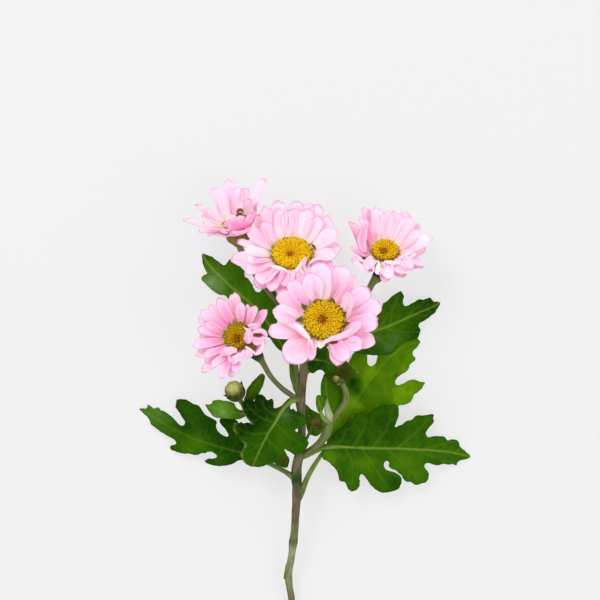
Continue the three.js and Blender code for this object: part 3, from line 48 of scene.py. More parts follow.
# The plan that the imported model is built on. u runs right and v towards the cut end, in plan
# units seen in perspective from CAM + Z0 mm over the floor; heights are in mm.
# petal: [base u, base v, tip u, tip v, width, length, whorl, rise, curl, roll, cup, tone, start angle if not the usual]
DATA = {
"UNIT": 0.45, "CAM": 900, "Z0": 60,
"heads": {
"front_head": {"c": [323.7, 320.5], "z": 62, "n": [0.0, 0.342, 0.94], "rd": 9.6, "dome": 2.6, "stalk": 1.9, "petals": [
[323.5,298,318.5,261.5,10.4,18.0,1,20,6,-6,0.22,0.15],
[330,298,331.5,264.5,8.6,18.0,0,9,4,0,0.25,0.25],
[316,300,309,272.5,10.0,15.5,1,26,2,-10,0.34,0.1],
[335,299,343.5,265,9.0,18.0,0,12,2,6,0.25,0.3],
[340,301,356,275.5,5.6,16.5,0,12,0,60,0.4,0.7],
[344,306,370,289,8.6,16.5,0,9,0,0,0.25,0.45],
[344,315,353,293.5,9.6,13.5,1,52,-10,4,0.38,0.1],
[347,318,381.5,304,8.6,18.0,0,9,0,0,0.25,0.2],
[347,325,378.5,322.5,9.8,16.5,1,20,0,0,0.25,0.5],
[343,333,362,323.5,6.0,12.5,1,50,14,30,0.6,0.25],
[343,336,375,342,9.2,17.0,0,9,0,0,0.28,0.35],
[333,341,339,365,7.8,15.0,0,9,-10,-18,0.4,0.7],
[334,342,347,361,8.4,13.0,1,22,-8,10,0.42,0.45],
[340,339,361.5,347.5,8.0,14.5,1,16,-4,6,0.36,0.5],
[313,341,310,358,5.4,13.0,1,26,10,-30,0.6,0.5],
[305.5,338,287,362,13.0,17.5,0,9,-4,0,0.24,0.35],
[304,331,268.5,331,7.8,17.5,0,9,0,0,0.22,0.3],
[306,335,288,324,4.6,13.5,1,34,6,20,0.5,-0.8],
[302,320,273,311,9.4,16.0,1,22,-4,0,0.32,0.2],
[303,312,278,292,8.4,17.5,0,9,0,0,0.25,0.3],
[306,306,288.5,280.5,7.8,17.5,1,24,0,8,0.3,0.7],
[311,301,300,274.5,8.2,17.5,0,12,0,0,0.25,0.35]]},
"centre_head": {"c": [291.8, 254.5], "z": 39, "n": [0.0, 0.63, 0.777], "rd": 9.9, "dome": 1.9, "stalk": 1.8, "petals": [
[276,240,265,206.5,8.51,17,0,9,0,6,0.25,0.2],
[270.5,244,257.5,214,8.29,16,0,9,0,6,0.25,0.2],
[274,243,262,221,7.39,15,1,26,0,6,0.28,0.1],
[282,238,278,200,7.62,17.5,0,12,0,6,0.25,0.35],
[281,238,280.5,208,6.94,16,1,24,0,6,0.28,0.1],
[288,237,288,209.5,6.72,15.5,1,24,0,6,0.3,0.1],
[292,237,298,201,7.62,17,0,9,0,6,0.25,0.5],
[295,237,295.5,208,7.17,16.5,1,24,0,6,0.25,0.1],
[300,238,311,202.5,6.27,16.5,0,9,0,6,0.3,0.3],
[301,238,308.5,208,7.17,16,1,26,0,6,0.28,0.1],
[305,239,319,204,7.84,17,0,12,0,6,0.25,0.3],
[306,241,320,216,7.62,15,1,26,0,6,0.28,0.1],
[308,243,330.5,216.5,6.72,15.5,0,9,0,45,0.35,0.6],
[312,248,337,229,8.74,14.5,1,22,0,6,0.25,0.2],
[314,250,341.5,247,7.84,14,0,9,0,6,0.25,0.4],
[314,255,336.5,255.5,8.06,12.5,1,22,0,6,0.3,0.2],
[312,260,333,266,7.62,13,0,9,0,6,0.25,0.5],
[272.5,246,248,229,9.41,15.5,1,22,0,6,0.25,0.4],
[271,249,237,241.5,5.6,16,0,12,0,6,0.35,-0.4],
[270,254,246,250.5,7.17,13.5,1,34,4,6,0.42,-0.5],
[270,258,247.5,259.5,7.17,13,1,30,4,6,0.4,-0.2],
[270,259,230.5,259,11.2,18.6,0,9,0,6,0.3,0.2],
[272,264,245.5,272.5,8.96,14.5,1,24,-6,6,0.4,0.55,56],
[275,267,257.5,287.5,8.96,14.5,0,9,0,6,0.28,0.3],
[276,267,258,283,9.41,14,1,28,-10,6,0.42,0.3,66],
[281,269,271,290.5,8.51,14,1,24,-14,6,0.42,0.6,72],
[287,271,279.5,292,7.84,14.5,0,9,0,6,0.28,0.4],
[301,268.5,305.6,257.5,4.93,9,1,84,14,35,0.7,-0.7],
[288,271,285,286,8.29,12.5,1,28,-10,6,0.44,0.4,76],
[295,270.5,298,283,8.51,11.5,1,30,-12,14,0.46,0.15,78],
[303,268,311,279,7.17,11,1,34,-8,-4,0.46,0.3,70],
[298,270,302,287,7.17,13,0,9,0,6,0.28,0.5],
[307,266,322,282,7.62,13.5,0,9,0,6,0.25,0.4]]},
"right_head": {"c": [385.0, 251.5], "z": 33, "n": [0.05, 0.67, 0.74], "rd": 6.5, "dome": 2.2, "stalk": 1.6, "petals": [
[375,242,364.5,206,6.45,16.5,0,9,0,7,0.34,0.3],
[373,243,360.5,217,6.94,14.5,1,26,0,7,0.41,0.5],
[378,241,376.5,206.5,6.94,15.5,1,24,0,7,0.34,0.2],
[374,241,369.5,210,6.45,15.5,0,12,0,7,0.34,0.2],
[382,240,383,210.5,7.19,14,0,9,0,7,0.34,0.3],
[385,240,388.5,210.5,6.94,14.5,1,24,0,7,0.34,0.15],
[389,240,394,210.5,6.7,14.5,0,9,0,7,0.41,0.3],
[391,241,400,213,6.94,14.8,1,24,0,7,0.34,0.15],
[394,242,407,211.5,7.44,15,0,12,0,7,0.41,0.5],
[395,244,412.5,217,7.19,14.5,1,24,0,7,0.34,0.15],
[397,246,419,222.5,7.19,15,0,9,0,7,0.34,0.3],
[398,248,420,230,6.94,13.5,1,24,0,7,0.41,0.1],
[398,250,418.5,237,6.45,12,0,9,0,7,0.41,0.3],
[399,252,432.5,237.5,7.19,17,1,22,0,7,0.34,0.2],
[399,255,426.5,244.5,6.7,14,0,9,0,45,0.47,0.5],
[399,257,416.5,253.5,6.7,10,1,28,0,7,0.47,0],
[398,259,424.5,265.5,7.19,13.5,0,9,0,7,0.34,0.8],
[397,261,413,267,7.94,10.5,1,30,-6,7,0.61,0,60],
[393,264,405,277,6.7,11,0,9,0,7,0.38,0.5],
[392,263,404,272.5,7.94,9.5,1,30,-6,7,0.62,0.05,66],
[387,264.4,389,278.5,7.94,11,1,30,-8,7,0.62,-0.4,74],
[386,264,386.5,281.5,6.45,12,0,10,0,17,0.49,0.5],
[379.5,263,378.6,273.5,5.7,8.5,1,34,4,7,0.62,-0.8,76],
[375,261,364,271,7.69,11,0,9,0,7,0.49,0.45],
[374,260,366,268.5,7.44,8.6,1,34,-4,7,0.62,-0.3,70],
[372,258,351.5,258.5,6.94,12,0,12,0,-14,0.54,0.55],
[371,255,350.5,247.5,7.94,11.5,1,24,0,7,0.47,0.8],
[371,250,350,220.5,8.43,17,0,9,0,7,0.41,0.4],
[371.5,247,356,228,6.94,13,1,26,0,7,0.51,0.9]]},
"left_head": {"c": [237.5, 336.0], "z": 43, "n": [-0.34, 0.24, 0.909], "rd": 6.7, "dome": 2.4, "stalk": 1.6, "petals": [
[236,320,233.5,292.5,6.6,13.0,0,9,0,0,0.36,0.1],
[231,322,218,297.5,6.2,13.5,1,22,0,0,0.43,0.5],
[232,321,226,299,5.6,12.5,0,9,0,0,0.36,0.2],
[226,325,208.5,305,5.0,12.5,0,9,0,0,0.36,0.3],
[223,328,200,310.5,5.2,13.0,1,24,0,0,0.52,0.3],
[222,331,198,317.5,4.8,12.5,0,9,0,0,0.43,0.5],
[222,332.5,205,322.5,4.6,10.0,1,30,0,0,0.58,0.2],
[222,335,197.5,329,4.6,12.0,1,22,0,0,0.52,0.3],
[222,338,199,336,4.4,11.5,0,9,0,0,0.43,0.6],
[222,341,191.5,345.5,5.4,14.5,1,22,0,0,0.52,0.3],
[222.5,343.5,199,343,4.4,11.5,0,9,0,0,0.43,0.5],
[223,345,195,355,4.8,14.0,0,9,0,0,0.43,0.4],
[224,347,203,356.5,4.6,11.5,1,28,0,0,0.58,0.1],
[226,349,204.5,362,4.8,12.5,0,12,0,0,0.43,0.2],
[228,351,201.5,371.5,5.2,15.5,0,9,0,0,0.41,0.3],
[229.5,352,211,367,4.6,12.5,1,24,0,0,0.58,0.1],
[231,354,220.5,379,5.4,13.5,1,20,0,0,0.49,0.3],
[234,355,230.5,377,4.8,11.5,0,9,0,0,0.43,0.5],
[238,355,236,373.5,4.8,11.0,1,24,0,0,0.49,0.7],
[228,350,221,353,4.8,6.5,1,60,6,0,0.62,0.1],
[233,354,230.5,361,4.6,7.0,1,54,10,0,0.62,0.0],
[239,354,238,363.5,5.0,8.0,0,40,10,0,0.58,-0.5],
[246,350,251,356,5.0,7.5,1,45,10,0,0.58,-0.5],
[240,321,240.5,302,5.2,11.0,1,24,0,0,0.43,0.2],
[243,322,247.5,304,5.2,11.0,0,9,0,0,0.43,0.3],
[247,325,255.5,306,5.2,11.0,1,22,0,0,0.43,0.4],
[250,329,266.5,309,5.6,12.5,0,12,0,0,0.43,0.4],
[251,332,259,323,4.8,7.5,1,40,10,0,0.62,-0.3],
[252,337,243,338.5,6.0,6.5,1,100,20,0,0.62,0.7],
[252,335,264,332.5,4.6,8.5,0,40,16,0,0.58,0.1],
[252,341,264.5,343.5,5.4,9.0,0,46,10,0,0.58,0.2],
[249,347,261.5,351,5.2,9.0,0,35,0,0,0.58,0.4]]},
"rear_head": {"c": [236.4, 222.6], "z": 25, "n": [-0.12, 0.88, 0.45], "cup": [1.5, 1.1], "rd": 5.8, "dome": 1.6, "stalk": 1.6, "petals": [
[105,999,228,179,5.94,17,0,30,0,4,0.25,0.3],
[128,999,215.5,186.5,8.36,16,1,40,0,4,0.25,0.15],
[88,999,238.5,186.5,5.94,14,1,40,0,4,0.3,0.3],
[68,999,245,187.5,4.84,14,0,40,0,20,0.3,0.9],
[42,999,264,177.5,5.94,18,1,45,0,4,0.3,0.25],
[36,999,249.5,199.5,8.14,10.5,1,84,8,4,0.4,-0.2],
[12,999,257,203,5.06,11,0,45,0,4,0.3,0.8],
[160,999,196,203.5,5.5,16,0,12,0,4,0.28,0.3],
[150,999,206,209,5.94,13,1,30,0,4,0.34,-0.3],
[172,999,202,215,6.38,14,1,24,0,4,0.34,-0.1],
[182,999,183,220,6.6,20,0,9,0,4,0.32,0],
[198,999,204,224.5,5.94,15,1,18,0,4,0.36,0.1],
[205,999,199.5,231,5.72,15.5,0,9,0,4,0.28,0.2],
[220,999,209,234.5,5.94,13,0,9,0,4,0.3,0.2],
[236,999,220,229.5,6.16,9,1,40,8,4,0.42,-0.2],
[256,999,230,215,9.24,10.5,1,92,14,4,0.5,0.3],
[284,999,240,214.8,8.8,10.5,1,92,14,4,0.5,0.6],
[318,999,253.5,211,7.26,11,1,74,8,4,0.5,1],
[248,999,224,236,6.6,9.5,0,24,0,4,0.34,0.3],
[268,999,234,235,7.04,9,0,30,4,4,0.4,0.5],
[292,999,246,231,6.82,9,0,40,6,4,0.4,0.7]]}
},
"stems": {
"main_stem": [[290.6,652,1.6,1.6],[290.6,625,2.9,1.6],[291.4,600,4.4,1.6],[289.6,588,5.4,1.62],[288.6,579,6.0,1.75],[288.9,570,6.7,1.7],[290.8,560,7.5,1.62],[292.4,549,8.8,1.75],[293.4,541,9.6,2.1],[294.2,534,10.3,1.9],[295.0,524,11.6,1.8],[295.8,510,13.2,1.85],[296.6,500,14.4,2.0],[297.2,487,16.0,2.4],[296.4,478,17.2,2.5],[296.8,466,19.0,2.35],[299.4,454,20.6,2.1],[301.2,443,21.9,1.95],[301.8,430,23.3,1.85],[301.2,412,25.3,1.85],[300.4,400,26.6,2.3],[301.0,390,27.7,2.2],[302.4,381,28.7,2.0],[303.8,371,30.1,2.1],[304.6,363,31.8,2.1],[307.0,354,34.6,1.8],[311.5,345,39.0,1.45],[318.5,333.5,46.5,1.4],[323.2,328.3,51.0,1.9]],
"centre_head_stalk": [[298.8,397.5,27.0,1.1],[297.0,390,28.2,1.2],[296.4,380,29.6,1.25],[295.8,368,30.8,1.25],[294,355,31.4,1.15],[291.2,342,31.4,1.1],[288.5,320,30.2,1.1],[288.8,296,28.6,1.15],[291.2,279,28.6,1.4],[291.8,271.5,30.2,1.8]],
"right_head_stalk": [[307.4,366,33.3,0.95],[314,357,33.6,1.05],[327,344,33.0,1.05],[343,325,31.0,1.0],[358,306,28.0,1.05],[367.4,292,25.6,1.5],[372.4,283,23.6,1.65],[377.2,277,22.4,2.6],[381,270.4,23.0,2.3],[383,265.6,24.6,1.9]],
"left_head_stalk": [[299.4,400.6,26.6,1.1],[295,397.6,27.6,1.2],[289,393.6,28.2,1.25],[281,387.6,28.8,1.2],[270.8,376.6,30.0,1.15],[262.6,362.6,31.6,1.4],[258.6,356.8,32.0,2.5],[252.5,350,31.6,3.3],[245.5,342.5,32.9,2.2]],
"rear_head_stalk": [[286.2,316,28.2,0.85],[279,306,25.6,0.95],[268,292,22.0,0.95],[255,276,18.2,0.95],[244.6,259,15.6,1.1],[241,250,17.4,1.5],[239.5,244.8,19.9,1.7]],
"right_side_shoot": [[302.4,455.4,20.8,1.35],[308.5,451.2,21.5,1.4],[315.5,446.4,22.2,1.5],[321.5,440.8,22.9,1.8],[326,433.5,23.6,2.1],[329,425.5,24.4,2.0],[332.4,419,25.3,1.6],[337.5,412.6,26.0,1.45],[343,405.6,27.0,1.5],[346,399,28.0,1.5],[345.6,391,29.8,1.35],[342.8,384.4,32.6,1.15]],
"left_side_shoot": [[299.8,446.6,21.6,1.2],[292,446.4,21.2,1.1],[281,444,20.6,1.1],[268,437,19.8,1.1],[254.8,424,19.0,1.05],[246.5,413.5,19.6,1.0],[242.8,404.5,21.2,1.0],[240.2,400.4,22.4,1.1]]
},
"buds": {
"left_bud": {"c": [234.8, 391.2], "z": 26.5, "n": [-0.45, 0.62, 0.64], "r": 4.75, "h": 4.9},
"right_bud": {"c": [337.4, 380.2], "z": 34.8, "n": [-0.72, 0.5, 0.48], "r": 2.2, "h": 3.1},
"brown_bud": {"c": [316.8, 423.4], "z": 27.6, "n": [-0.42, 0.74, 0.52], "r": 2.0, "h": 3.6}
},
"leaves": {
"leaf_a": {"petiole": [[299.2,397,24.9,1.1],[294.4,385,23.8,1.0],[290.4,368,22.6,0.8]],
"outline": [[202.4,253.6],[205.6,254.3],[209.1,255.6],[212.3,256.8],[216.2,260],[219.7,262.5],[222.2,264.4],[224,265.1],[226,264.2],[227.4,262.1],[229.6,259.3],[233,259.6],[237,262],[240.5,266.5],[244.4,271.3],[244.7,275.9],[248.6,279],[251.4,282.9],[253.5,287.5],[255.6,291],[258.8,292.3],[260.6,291],[262.6,288.6],[267,287.4],[272.5,288.4],[276.1,291],[277.2,294.5],[278.6,298.1],[280.7,300.5],[278.6,303.4],[276.6,306],[275,310],[275.6,316],[277.4,320.6],[276.6,324.6],[279.4,331],[284.4,336],[290.4,340],[291.4,345],[291,352],[292.6,362],[294.2,374],[295,384],[295.2,390.6],[293.6,390.4],[291.8,384],[290,377],[289.3,370],[288.9,363.4],[287,358.6],[283,353],[277.4,348.4],[272.6,342.4],[269,337.5],[263.4,336.4],[257,332.6],[251,328.4],[250.6,322],[251.6,316.8],[247,313.8],[240,311],[234,306],[229.4,300.4],[226.4,296.7],[223.2,295.1],[219,294.7],[216.2,293.1],[212.6,290.7],[209.1,287.5],[205.6,284],[202.4,280.8],[201.2,279],[201.9,276.9],[203.8,275.2],[206.3,274],[207,272.8],[205.6,270.6],[203.8,266.7],[202.4,262.1],[202,258.6]],
"z": [[294,388,23.8],[290,368,22.2],[284,350,20],[273,330,16.6],[262,313,13.4],[245,299,10],[226,281,6.4],[213,268,3.4],[202.8,255,0.45],[201.5,279,1.8],[227,296,5.0],[229,260,2.6],[244,272,6.0],[280,300,13.5],[252,325,11.5],[258,290,9.4],[291,345,20.5]],
"mid": [[202.6,254.4],[206.5,261.5],[213,269.5],[222,278],[232,287.5],[244,297.6],[254,306.5],[264,317.5],[273,330.5],[281,344],[287.6,358],[291.6,372],[294.2,387]],
"lat": [[[222,278],[214,279.5],[203.5,278.6]],[[213,269.5],[212,263],[209,257.5]],[[235,290.2],[234.6,276],[230.4,262]],[[244,297.6],[232,295.6],[222,292.6]],[[248,301],[249,290],[246,280]],[[262,315],[270,304],[278.6,300]],[[254,306.5],[246,308],[238,306]]]},
"leaf_b": {"petiole": [[308.8,371,27.0,1.0],[319,361,26.0,0.95],[332,350,24.8,0.85],[350,340.8,21.8,0.7]],
"outline": [[332,350.6],[337,346],[343.4,339.6],[350,331.4],[357.4,325.6],[365,320.6],[371,315.6],[376.1,312.2],[380.5,309.3],[381.9,306.2],[383.6,303],[386.4,301.6],[389.6,298.4],[393.2,295.2],[396.7,293.1],[400.6,291],[402.3,292.8],[404.1,296.3],[403.2,299.8],[403,303.3],[404.1,305.3],[405.8,306],[408,305.5],[410.8,303.7],[415,301.6],[417.8,299.8],[420.3,299],[423.5,299.7],[427,298.3],[430.5,297.6],[431.9,299.5],[433.7,301.4],[436.9,301.6],[440.4,302.5],[439,306.2],[437.2,309.3],[435.5,312.2],[431.9,315],[427.7,318.5],[423.5,321.3],[419.9,323.1],[418.7,324.8],[418.9,326.6],[420.3,329.1],[420.5,331.5],[419.2,334.7],[418.2,337.6],[413,340.2],[405,342.6],[400,346],[396,350],[391.7,353.5],[385,355.2],[377,355.6],[371,355],[364,354.6],[356,352.6],[350,350.4],[344,350.6],[337,352.6],[333,354]],
"z": [[333,351,24.6],[350,341,21.6],[376,330,15.6],[400,321,9.6],[425,311,3.8],[440,303,0.45],[400.6,292,6.0],[384,304,12],[430,298.4,2.2],[420,331,3.6],[405,342,8.0],[388,354,11.4],[360,352,18.5],[350,332,20.6],[405,307,7.0]],
"mid": [[333,351.6],[341,346],[350,341],[363,335.6],[376.5,330.5],[390,325.6],[404,319.4],[418,313],[430,308],[440,302.9]],
"lat": [[[376.5,330.5],[387,317],[399.6,294]],[[390,325.6],[392,313],[398,300]],[[404,319.4],[414,310],[428,300]],[[363,335.6],[370,325],[380,312]],[[384,327.8],[400,331.6],[418,332]],[[368,333.8],[384,342],[394,349]],[[415,314.4],[423,316],[430,313.4]],[[352,340],[362,346],[376,352.6]]]},
"leaf_c": {"petiole": [[298.6,498,14.6,1.6],[301.8,491,15.6,1.5],[305.4,481.5,16.0,1.3],[309.8,472.6,15.6,1.2],[315,464,14.6,1.15],[321,455,13.4,1.05],[332,440,11.4,0.8]],
"outline": [[323.6,452.4],[326.4,446],[327.2,437.6],[330.4,429.6],[333.6,420.6],[336.4,410.6],[338.4,400.6],[340.6,391.6],[342.6,383],[345,373],[348.4,363],[352.6,354.4],[358,349.4],[363.4,350.4],[366.6,354],[367.4,358],[367.3,362],[368.6,364.8],[371,366.2],[374,364.8],[376.4,361.4],[377.4,357],[380,350],[385,344],[392,338.6],[400,335],[408,333.6],[414.6,336],[420.1,341.4],[418.9,344.9],[416.4,347.8],[413.2,351],[412.6,354],[414,356.5],[415.8,358.5],[414,361.5],[411,363.5],[409.5,366],[408.5,369.5],[405,372.5],[400,375.5],[396.5,379],[395.3,382.5],[396.5,384.8],[399,385],[403,383.5],[407,381.2],[410,380],[415,379.6],[419.5,381.5],[424.8,382.5],[423.5,386],[420.5,390],[416,393.5],[413.5,395.8],[412.5,399],[410,402.5],[405,404.7],[400,405.5],[394,408.4],[386,413],[378,418.6],[372,426],[365,432.6],[356,438.6],[347,443.4],[338,447.6],[330,452.4],[325.6,455.4]],
"z": [[324,453.5,12.6],[335,436,10.8],[350,412,8.6],[372,378,5.6],[395,358,3.0],[419.6,342,0.6],[424,383,0.5],[412,399,1.6],[351,374,7.0],[360,350,6.2],[371,366,5.4],[396,383,3.4],[385,413,6.0],[352,440,9.4],[345,395,8.4],[415,358,1.0]],
"mid": [[324,453.6],[334,438],[343,423.4],[352,408.6],[362,393],[373,377.4],[385,363],[398,351.6],[410,345],[419.6,342]],
"lat": [[[343,423.4],[372,404],[392,393.6],[420,384.6]],[[362,393],[380,382],[394,372],[412,360]],[[352,408.6],[355,385],[357.4,356]],[[334,438],[360,424],[384,409.6]],[[373,377.4],[377,364],[389,346]],[[350,412],[376,404.6],[404,400.6]]]},
"leaf_d": {"petiole": [[301.6,457.4,18.6,1.2],[308,454.6,17.8,1.25],[316,450.6,17.9,1.2],[326,447.4,18.2,1.05],[340,446.8,17.6,0.85],[356,447.6,16.6,0.6]],
"outline": [[322,450.6],[321.4,455],[323.8,459.9],[326.9,461],[331.2,464.7],[335.4,468.9],[337.7,473.1],[338.6,477.9],[340.1,481.1],[344.4,482.1],[346.5,485.3],[348.1,489],[351.2,491.4],[355.5,490.6],[359.2,486.9],[359.9,482.1],[359.5,477.4],[360.8,474.7],[362.9,474.7],[366.1,478.4],[369.2,483.2],[373.5,487.9],[378.7,491.4],[384,492.9],[391.4,491.6],[397.8,489.5],[399.7,485.8],[399.6,480.5],[397.3,475.2],[395,473],[393,472.8],[389,471.5],[385.5,469],[384,465.5],[384.7,462],[387.2,461],[389,462.5],[388.6,466],[390.4,468.3],[395.4,470.3],[399,473.4],[401.4,475.2],[402.5,477.4],[404.7,480.5],[407.3,482.1],[410.5,481.9],[415.8,485.1],[421.1,483.7],[426.9,481.6],[429,475.8],[427.9,471.5],[425.3,468.4],[424.5,465.2],[426.3,463.3],[429.5,463.3],[433.7,464.7],[438.5,465.4],[442.7,463.9],[447.5,464.7],[451.7,464.3],[456.5,465.2],[457.5,462.5],[460.2,460.4],[465.5,459.4],[470.6,456.7],[466.5,452],[462.3,448.8],[459.7,445.6],[458.9,441.9],[456.5,440],[451.7,439.3],[447.5,440.3],[444.3,436.6],[440.1,436.1],[435.3,435.8],[430.6,436.8],[427.4,436.6],[425.8,433.5],[427.9,429.2],[431.6,425],[434,421.8],[433.2,418.1],[434,414.4],[429.5,414.2],[423.2,415.5],[417.9,415],[414.7,416.5],[411.5,419.7],[406.8,420.8],[402,424.5],[398.8,425.5],[394.8,427.2],[396.2,422.9],[398.3,417.6],[398.8,412.3],[398.3,406.5],[394.6,404.4],[390.4,404.4],[386.2,404.4],[383,405.4],[378.7,407],[374,409.4],[368,412],[363,412.4],[358,413.4],[354.6,417],[352,421],[347.4,421.4],[344,424],[340.6,428],[336,431],[333,436],[331,441],[326,443.6],[322,443.6]],
"z": [[322,447,18.7],[340,447,17.6],[370,448,15.6],[400,449,12.6],[430,450,8.0],[455,453,3.0],[470,456.5,0.6],[433,415,5.0],[445,437,4.0],[398,406,10.0],[365,413,13.4],[344,425,15.6],[427,480,5.0],[399,487,7.4],[352,490,11],[330,464,15.8],[456,464,2.0],[375,487,9.6]],
"mid": [[320,446],[340,446.7],[360,447.8],[380,448.3],[400,448.6],[420,449.5],[440,451],[455,453],[470,456.6]],
"lat": [[[352,447.4],[362,433],[368,416]],[[372,448.1],[386,430],[394,408]],[[396,448.5],[412,436],[431,416.6]],[[424,449.8],[440,444.6],[455,441.6]],[[336,446.6],[344,436],[347,424]],[[344,446.9],[352,462],[352,487]],[[362,447.9],[374,466],[388,488]],[[386,448.4],[402,462],[418,480]],[[414,449.3],[434,457],[454,463]],[[438,450.8],[450,450.6],[461,449.6]]]},
"leaf_e": {"petiole": [[295.6,480.6,17.0,1.6],[291.4,476.2,17.4,1.4],[286,472.4,17.4,1.2],[279,468.6,17.0,1.1],[269,463.6,16.2,1.05],[255,457.2,15.0,0.85],[238,451.6,13.6,0.6]],
"outline": [[139.2,408.3],[142.3,408.4],[145.9,408.3],[147.6,406.6],[147.3,404.5],[149,404.9],[151.2,406.6],[154,408.3],[156.5,408],[157.7,407.1],[159.3,408],[161,410.2],[164.2,411.1],[167,413],[170.6,415.5],[173.4,418.3],[176.2,421.1],[179,424.3],[181.5,425.5],[183.6,425.2],[184.8,423.2],[184.7,421.1],[182.9,418.6],[180.8,415.5],[179.4,412.6],[177.3,410.2],[175.6,407.7],[175.5,405.6],[176.1,402.8],[176.6,399.9],[178.3,399.2],[184,399.1],[187.8,400.3],[191,402.4],[193.8,404],[197.4,404.9],[199.8,406.6],[201.6,409.5],[203.7,412.6],[206.5,415.5],[209.7,417],[213.4,419],[216.9,421.6],[216.1,425.8],[216.9,429.2],[218.5,431.7],[221.3,434.1],[224.2,435.8],[227,436.6],[228.5,435.2],[227.3,432.6],[225.6,429.8],[223.6,427.2],[220.8,424.4],[219.3,420.8],[221.6,417.4],[227.6,417],[233.6,418.6],[238,422],[240.6,427.6],[243.4,434],[246.4,440.4],[248.4,447],[251.4,452.6],[256,456.4],[256.4,459],[251,459.6],[244,459.8],[237.5,460.9],[234.7,463],[229.8,464.8],[224.2,465.9],[218.5,466.1],[212.2,465.2],[207.2,463.4],[204.4,461.3],[205.5,459.9],[207.9,458.6],[211.5,458.5],[215,458.1],[216.7,456.7],[216.4,454.9],[213.2,452.8],[210.8,451.6],[207.9,452.1],[205.1,453.2],[200.2,453.7],[197.4,455.1],[193.8,454.9],[189.6,453.9],[184,453.7],[178.3,452.5],[174.1,451.1],[170.6,449.3],[170,447.2],[171.3,445.2],[174.8,444.7],[176.2,443],[175.5,441.2],[172.7,438.7],[168.4,436.6],[164.2,433.8],[160.7,432],[157.9,429.6],[153.6,426.7],[150.8,423.9],[149.8,421.1],[148.7,418.6],[145.9,415.8],[142.7,412.6],[140.2,410.2]],
"z": [[255,457.4,15.0],[240,452,13.8],[220,447,11.6],[200,442,9.0],[185,435,6.8],[165,424,3.6],[150,414,1.6],[140,408.8,0.45],[178,400,3.4],[190,402.4,4.8],[206,415,8.0],[171,447.4,2.6],[197,454,5.6],[205,461,5.6],[218,465.8,8.0],[232,463,11],[225,435,11.2],[236,423,11.8]],
"mid": [[256,457.8],[240,452.4],[220,447],[203,441.8],[187,435.4],[170,427],[155,417.4],[140,408.9]],
"lat": [[[232,450.2],[236,438],[232,422]],[[214,445.2],[203,430],[194,408]],[[203,441.8],[191,422],[181,402]],[[180,432],[170,421],[158,410]],[[222,447.6],[216,457],[208,461.6]],[[200,440.8],[188,445],[174,447.6]],[[176,430],[166,430],[156,424]]]},
"leaf_f": {"petiole": [[299,399.4,27.6,1.2],[295.2,400.4,29.4,1.15],[291,402.2,30.5,1.05],[286.1,405.9,30.9,0.95],[281.1,412.5,30.6,0.9],[275.4,422.6,29.4,0.8],[268.9,431.9,27.6,0.6]],
"outline": [[291.4,397.8],[289,398.2],[285.4,401.4],[282.6,404.3],[279,407.1],[275.4,408.1],[273.6,407.1],[273.9,403.9],[272.9,399.9],[271.1,398.5],[268.9,399.9],[266.8,399.9],[265.7,397.8],[263.5,395.3],[259.9,394],[256.7,395.6],[255.3,398.5],[254.2,401],[252.8,400.3],[250.3,399.2],[246.7,399.6],[243.4,401.4],[242.5,404.3],[243.4,408.9],[244.5,412.5],[246.7,415.7],[250.3,419.3],[253.5,422.2],[255.3,424],[252.8,424.6],[250.3,422.9],[247.4,422.2],[244.5,423.3],[242.4,422.6],[240.9,421.5],[239.1,423.3],[237.3,422.9],[235.2,422.6],[233.7,423.6],[233.2,426.9],[233.7,430.5],[235.9,434],[238.8,438.7],[242,441.9],[244.7,444.5],[243.4,447],[241.3,451.3],[240.6,454.9],[241.6,458.5],[243.8,462],[247.4,464.9],[251.7,466.5],[257.4,467.1],[262.5,466.5],[266.8,464.9],[269.3,463.1],[273.9,463.1],[277.5,465.3],[281.8,467.1],[284.7,467.8],[287.6,467.4],[288.7,464.2],[289.4,461.3],[289.4,458.5],[287.2,454.9],[285.4,452],[284.7,449.1],[286.1,449.8],[289,451.6],[292.6,453.8],[295.5,454.9],[300.5,454.5],[304.1,452.7],[306.2,449.1],[307.7,445.5],[309.1,443.4],[307.7,440.5],[305.2,437.3],[302.7,434.4],[299.1,432.6],[296.2,431.5],[295.1,430.5],[296.6,429],[300.5,427.6],[303.4,426.1],[306.2,423.3],[308,420.8],[306.2,419.3],[304.4,417.5],[304.1,415.4],[301.9,413.2],[299.8,411.8],[296.2,411.1],[294.4,409.3],[292.6,408.6],[291,409.4],[290.2,406.4],[292.4,402.4]],
"z": [[291.4,400,30.5],[281,412.5,30.6],[271,428,28.4],[263,443,25.4],[257,456,22.6],[253,465,20.6],[260,395,28],[273,400,29.6],[244,403,25.4],[234,425,22.4],[242,456,20.6],[288.6,462,24.4],[285,449.4,26.2],[297,454.6,26.0],[308.6,443.6,27.4],[296,431,29.0],[307.6,420.8,31.0],[293,409,31]],
"mid": [[291.6,399],[286.1,405.3],[281.1,412.5],[278.2,417.5],[275.4,422.6],[272.5,426.9],[268.9,431.9],[266,437.6],[263.2,442.7],[261,447.7],[258.1,453.4],[255.3,459.9],[253.1,465.8]],
"lat": [[[279,416],[268,411],[259,398]],[[275.4,422.6],[260,417],[246,404]],[[268,433],[252,434],[237,428]],[[263.2,442.7],[252,449],[244,456]],[[280,414.6],[292,415],[305,420]],[[275.4,422.6],[289.7,436.9],[304,445]],[[266,437.6],[279,451],[287,462]],[[285,407],[281,404.6],[274,401]]]},
"leaf_g": {"petiole": [[247.6,414.4,18.8,0.7],[242.8,414,18.0,0.65],[234,412.6,16.6,0.5]],
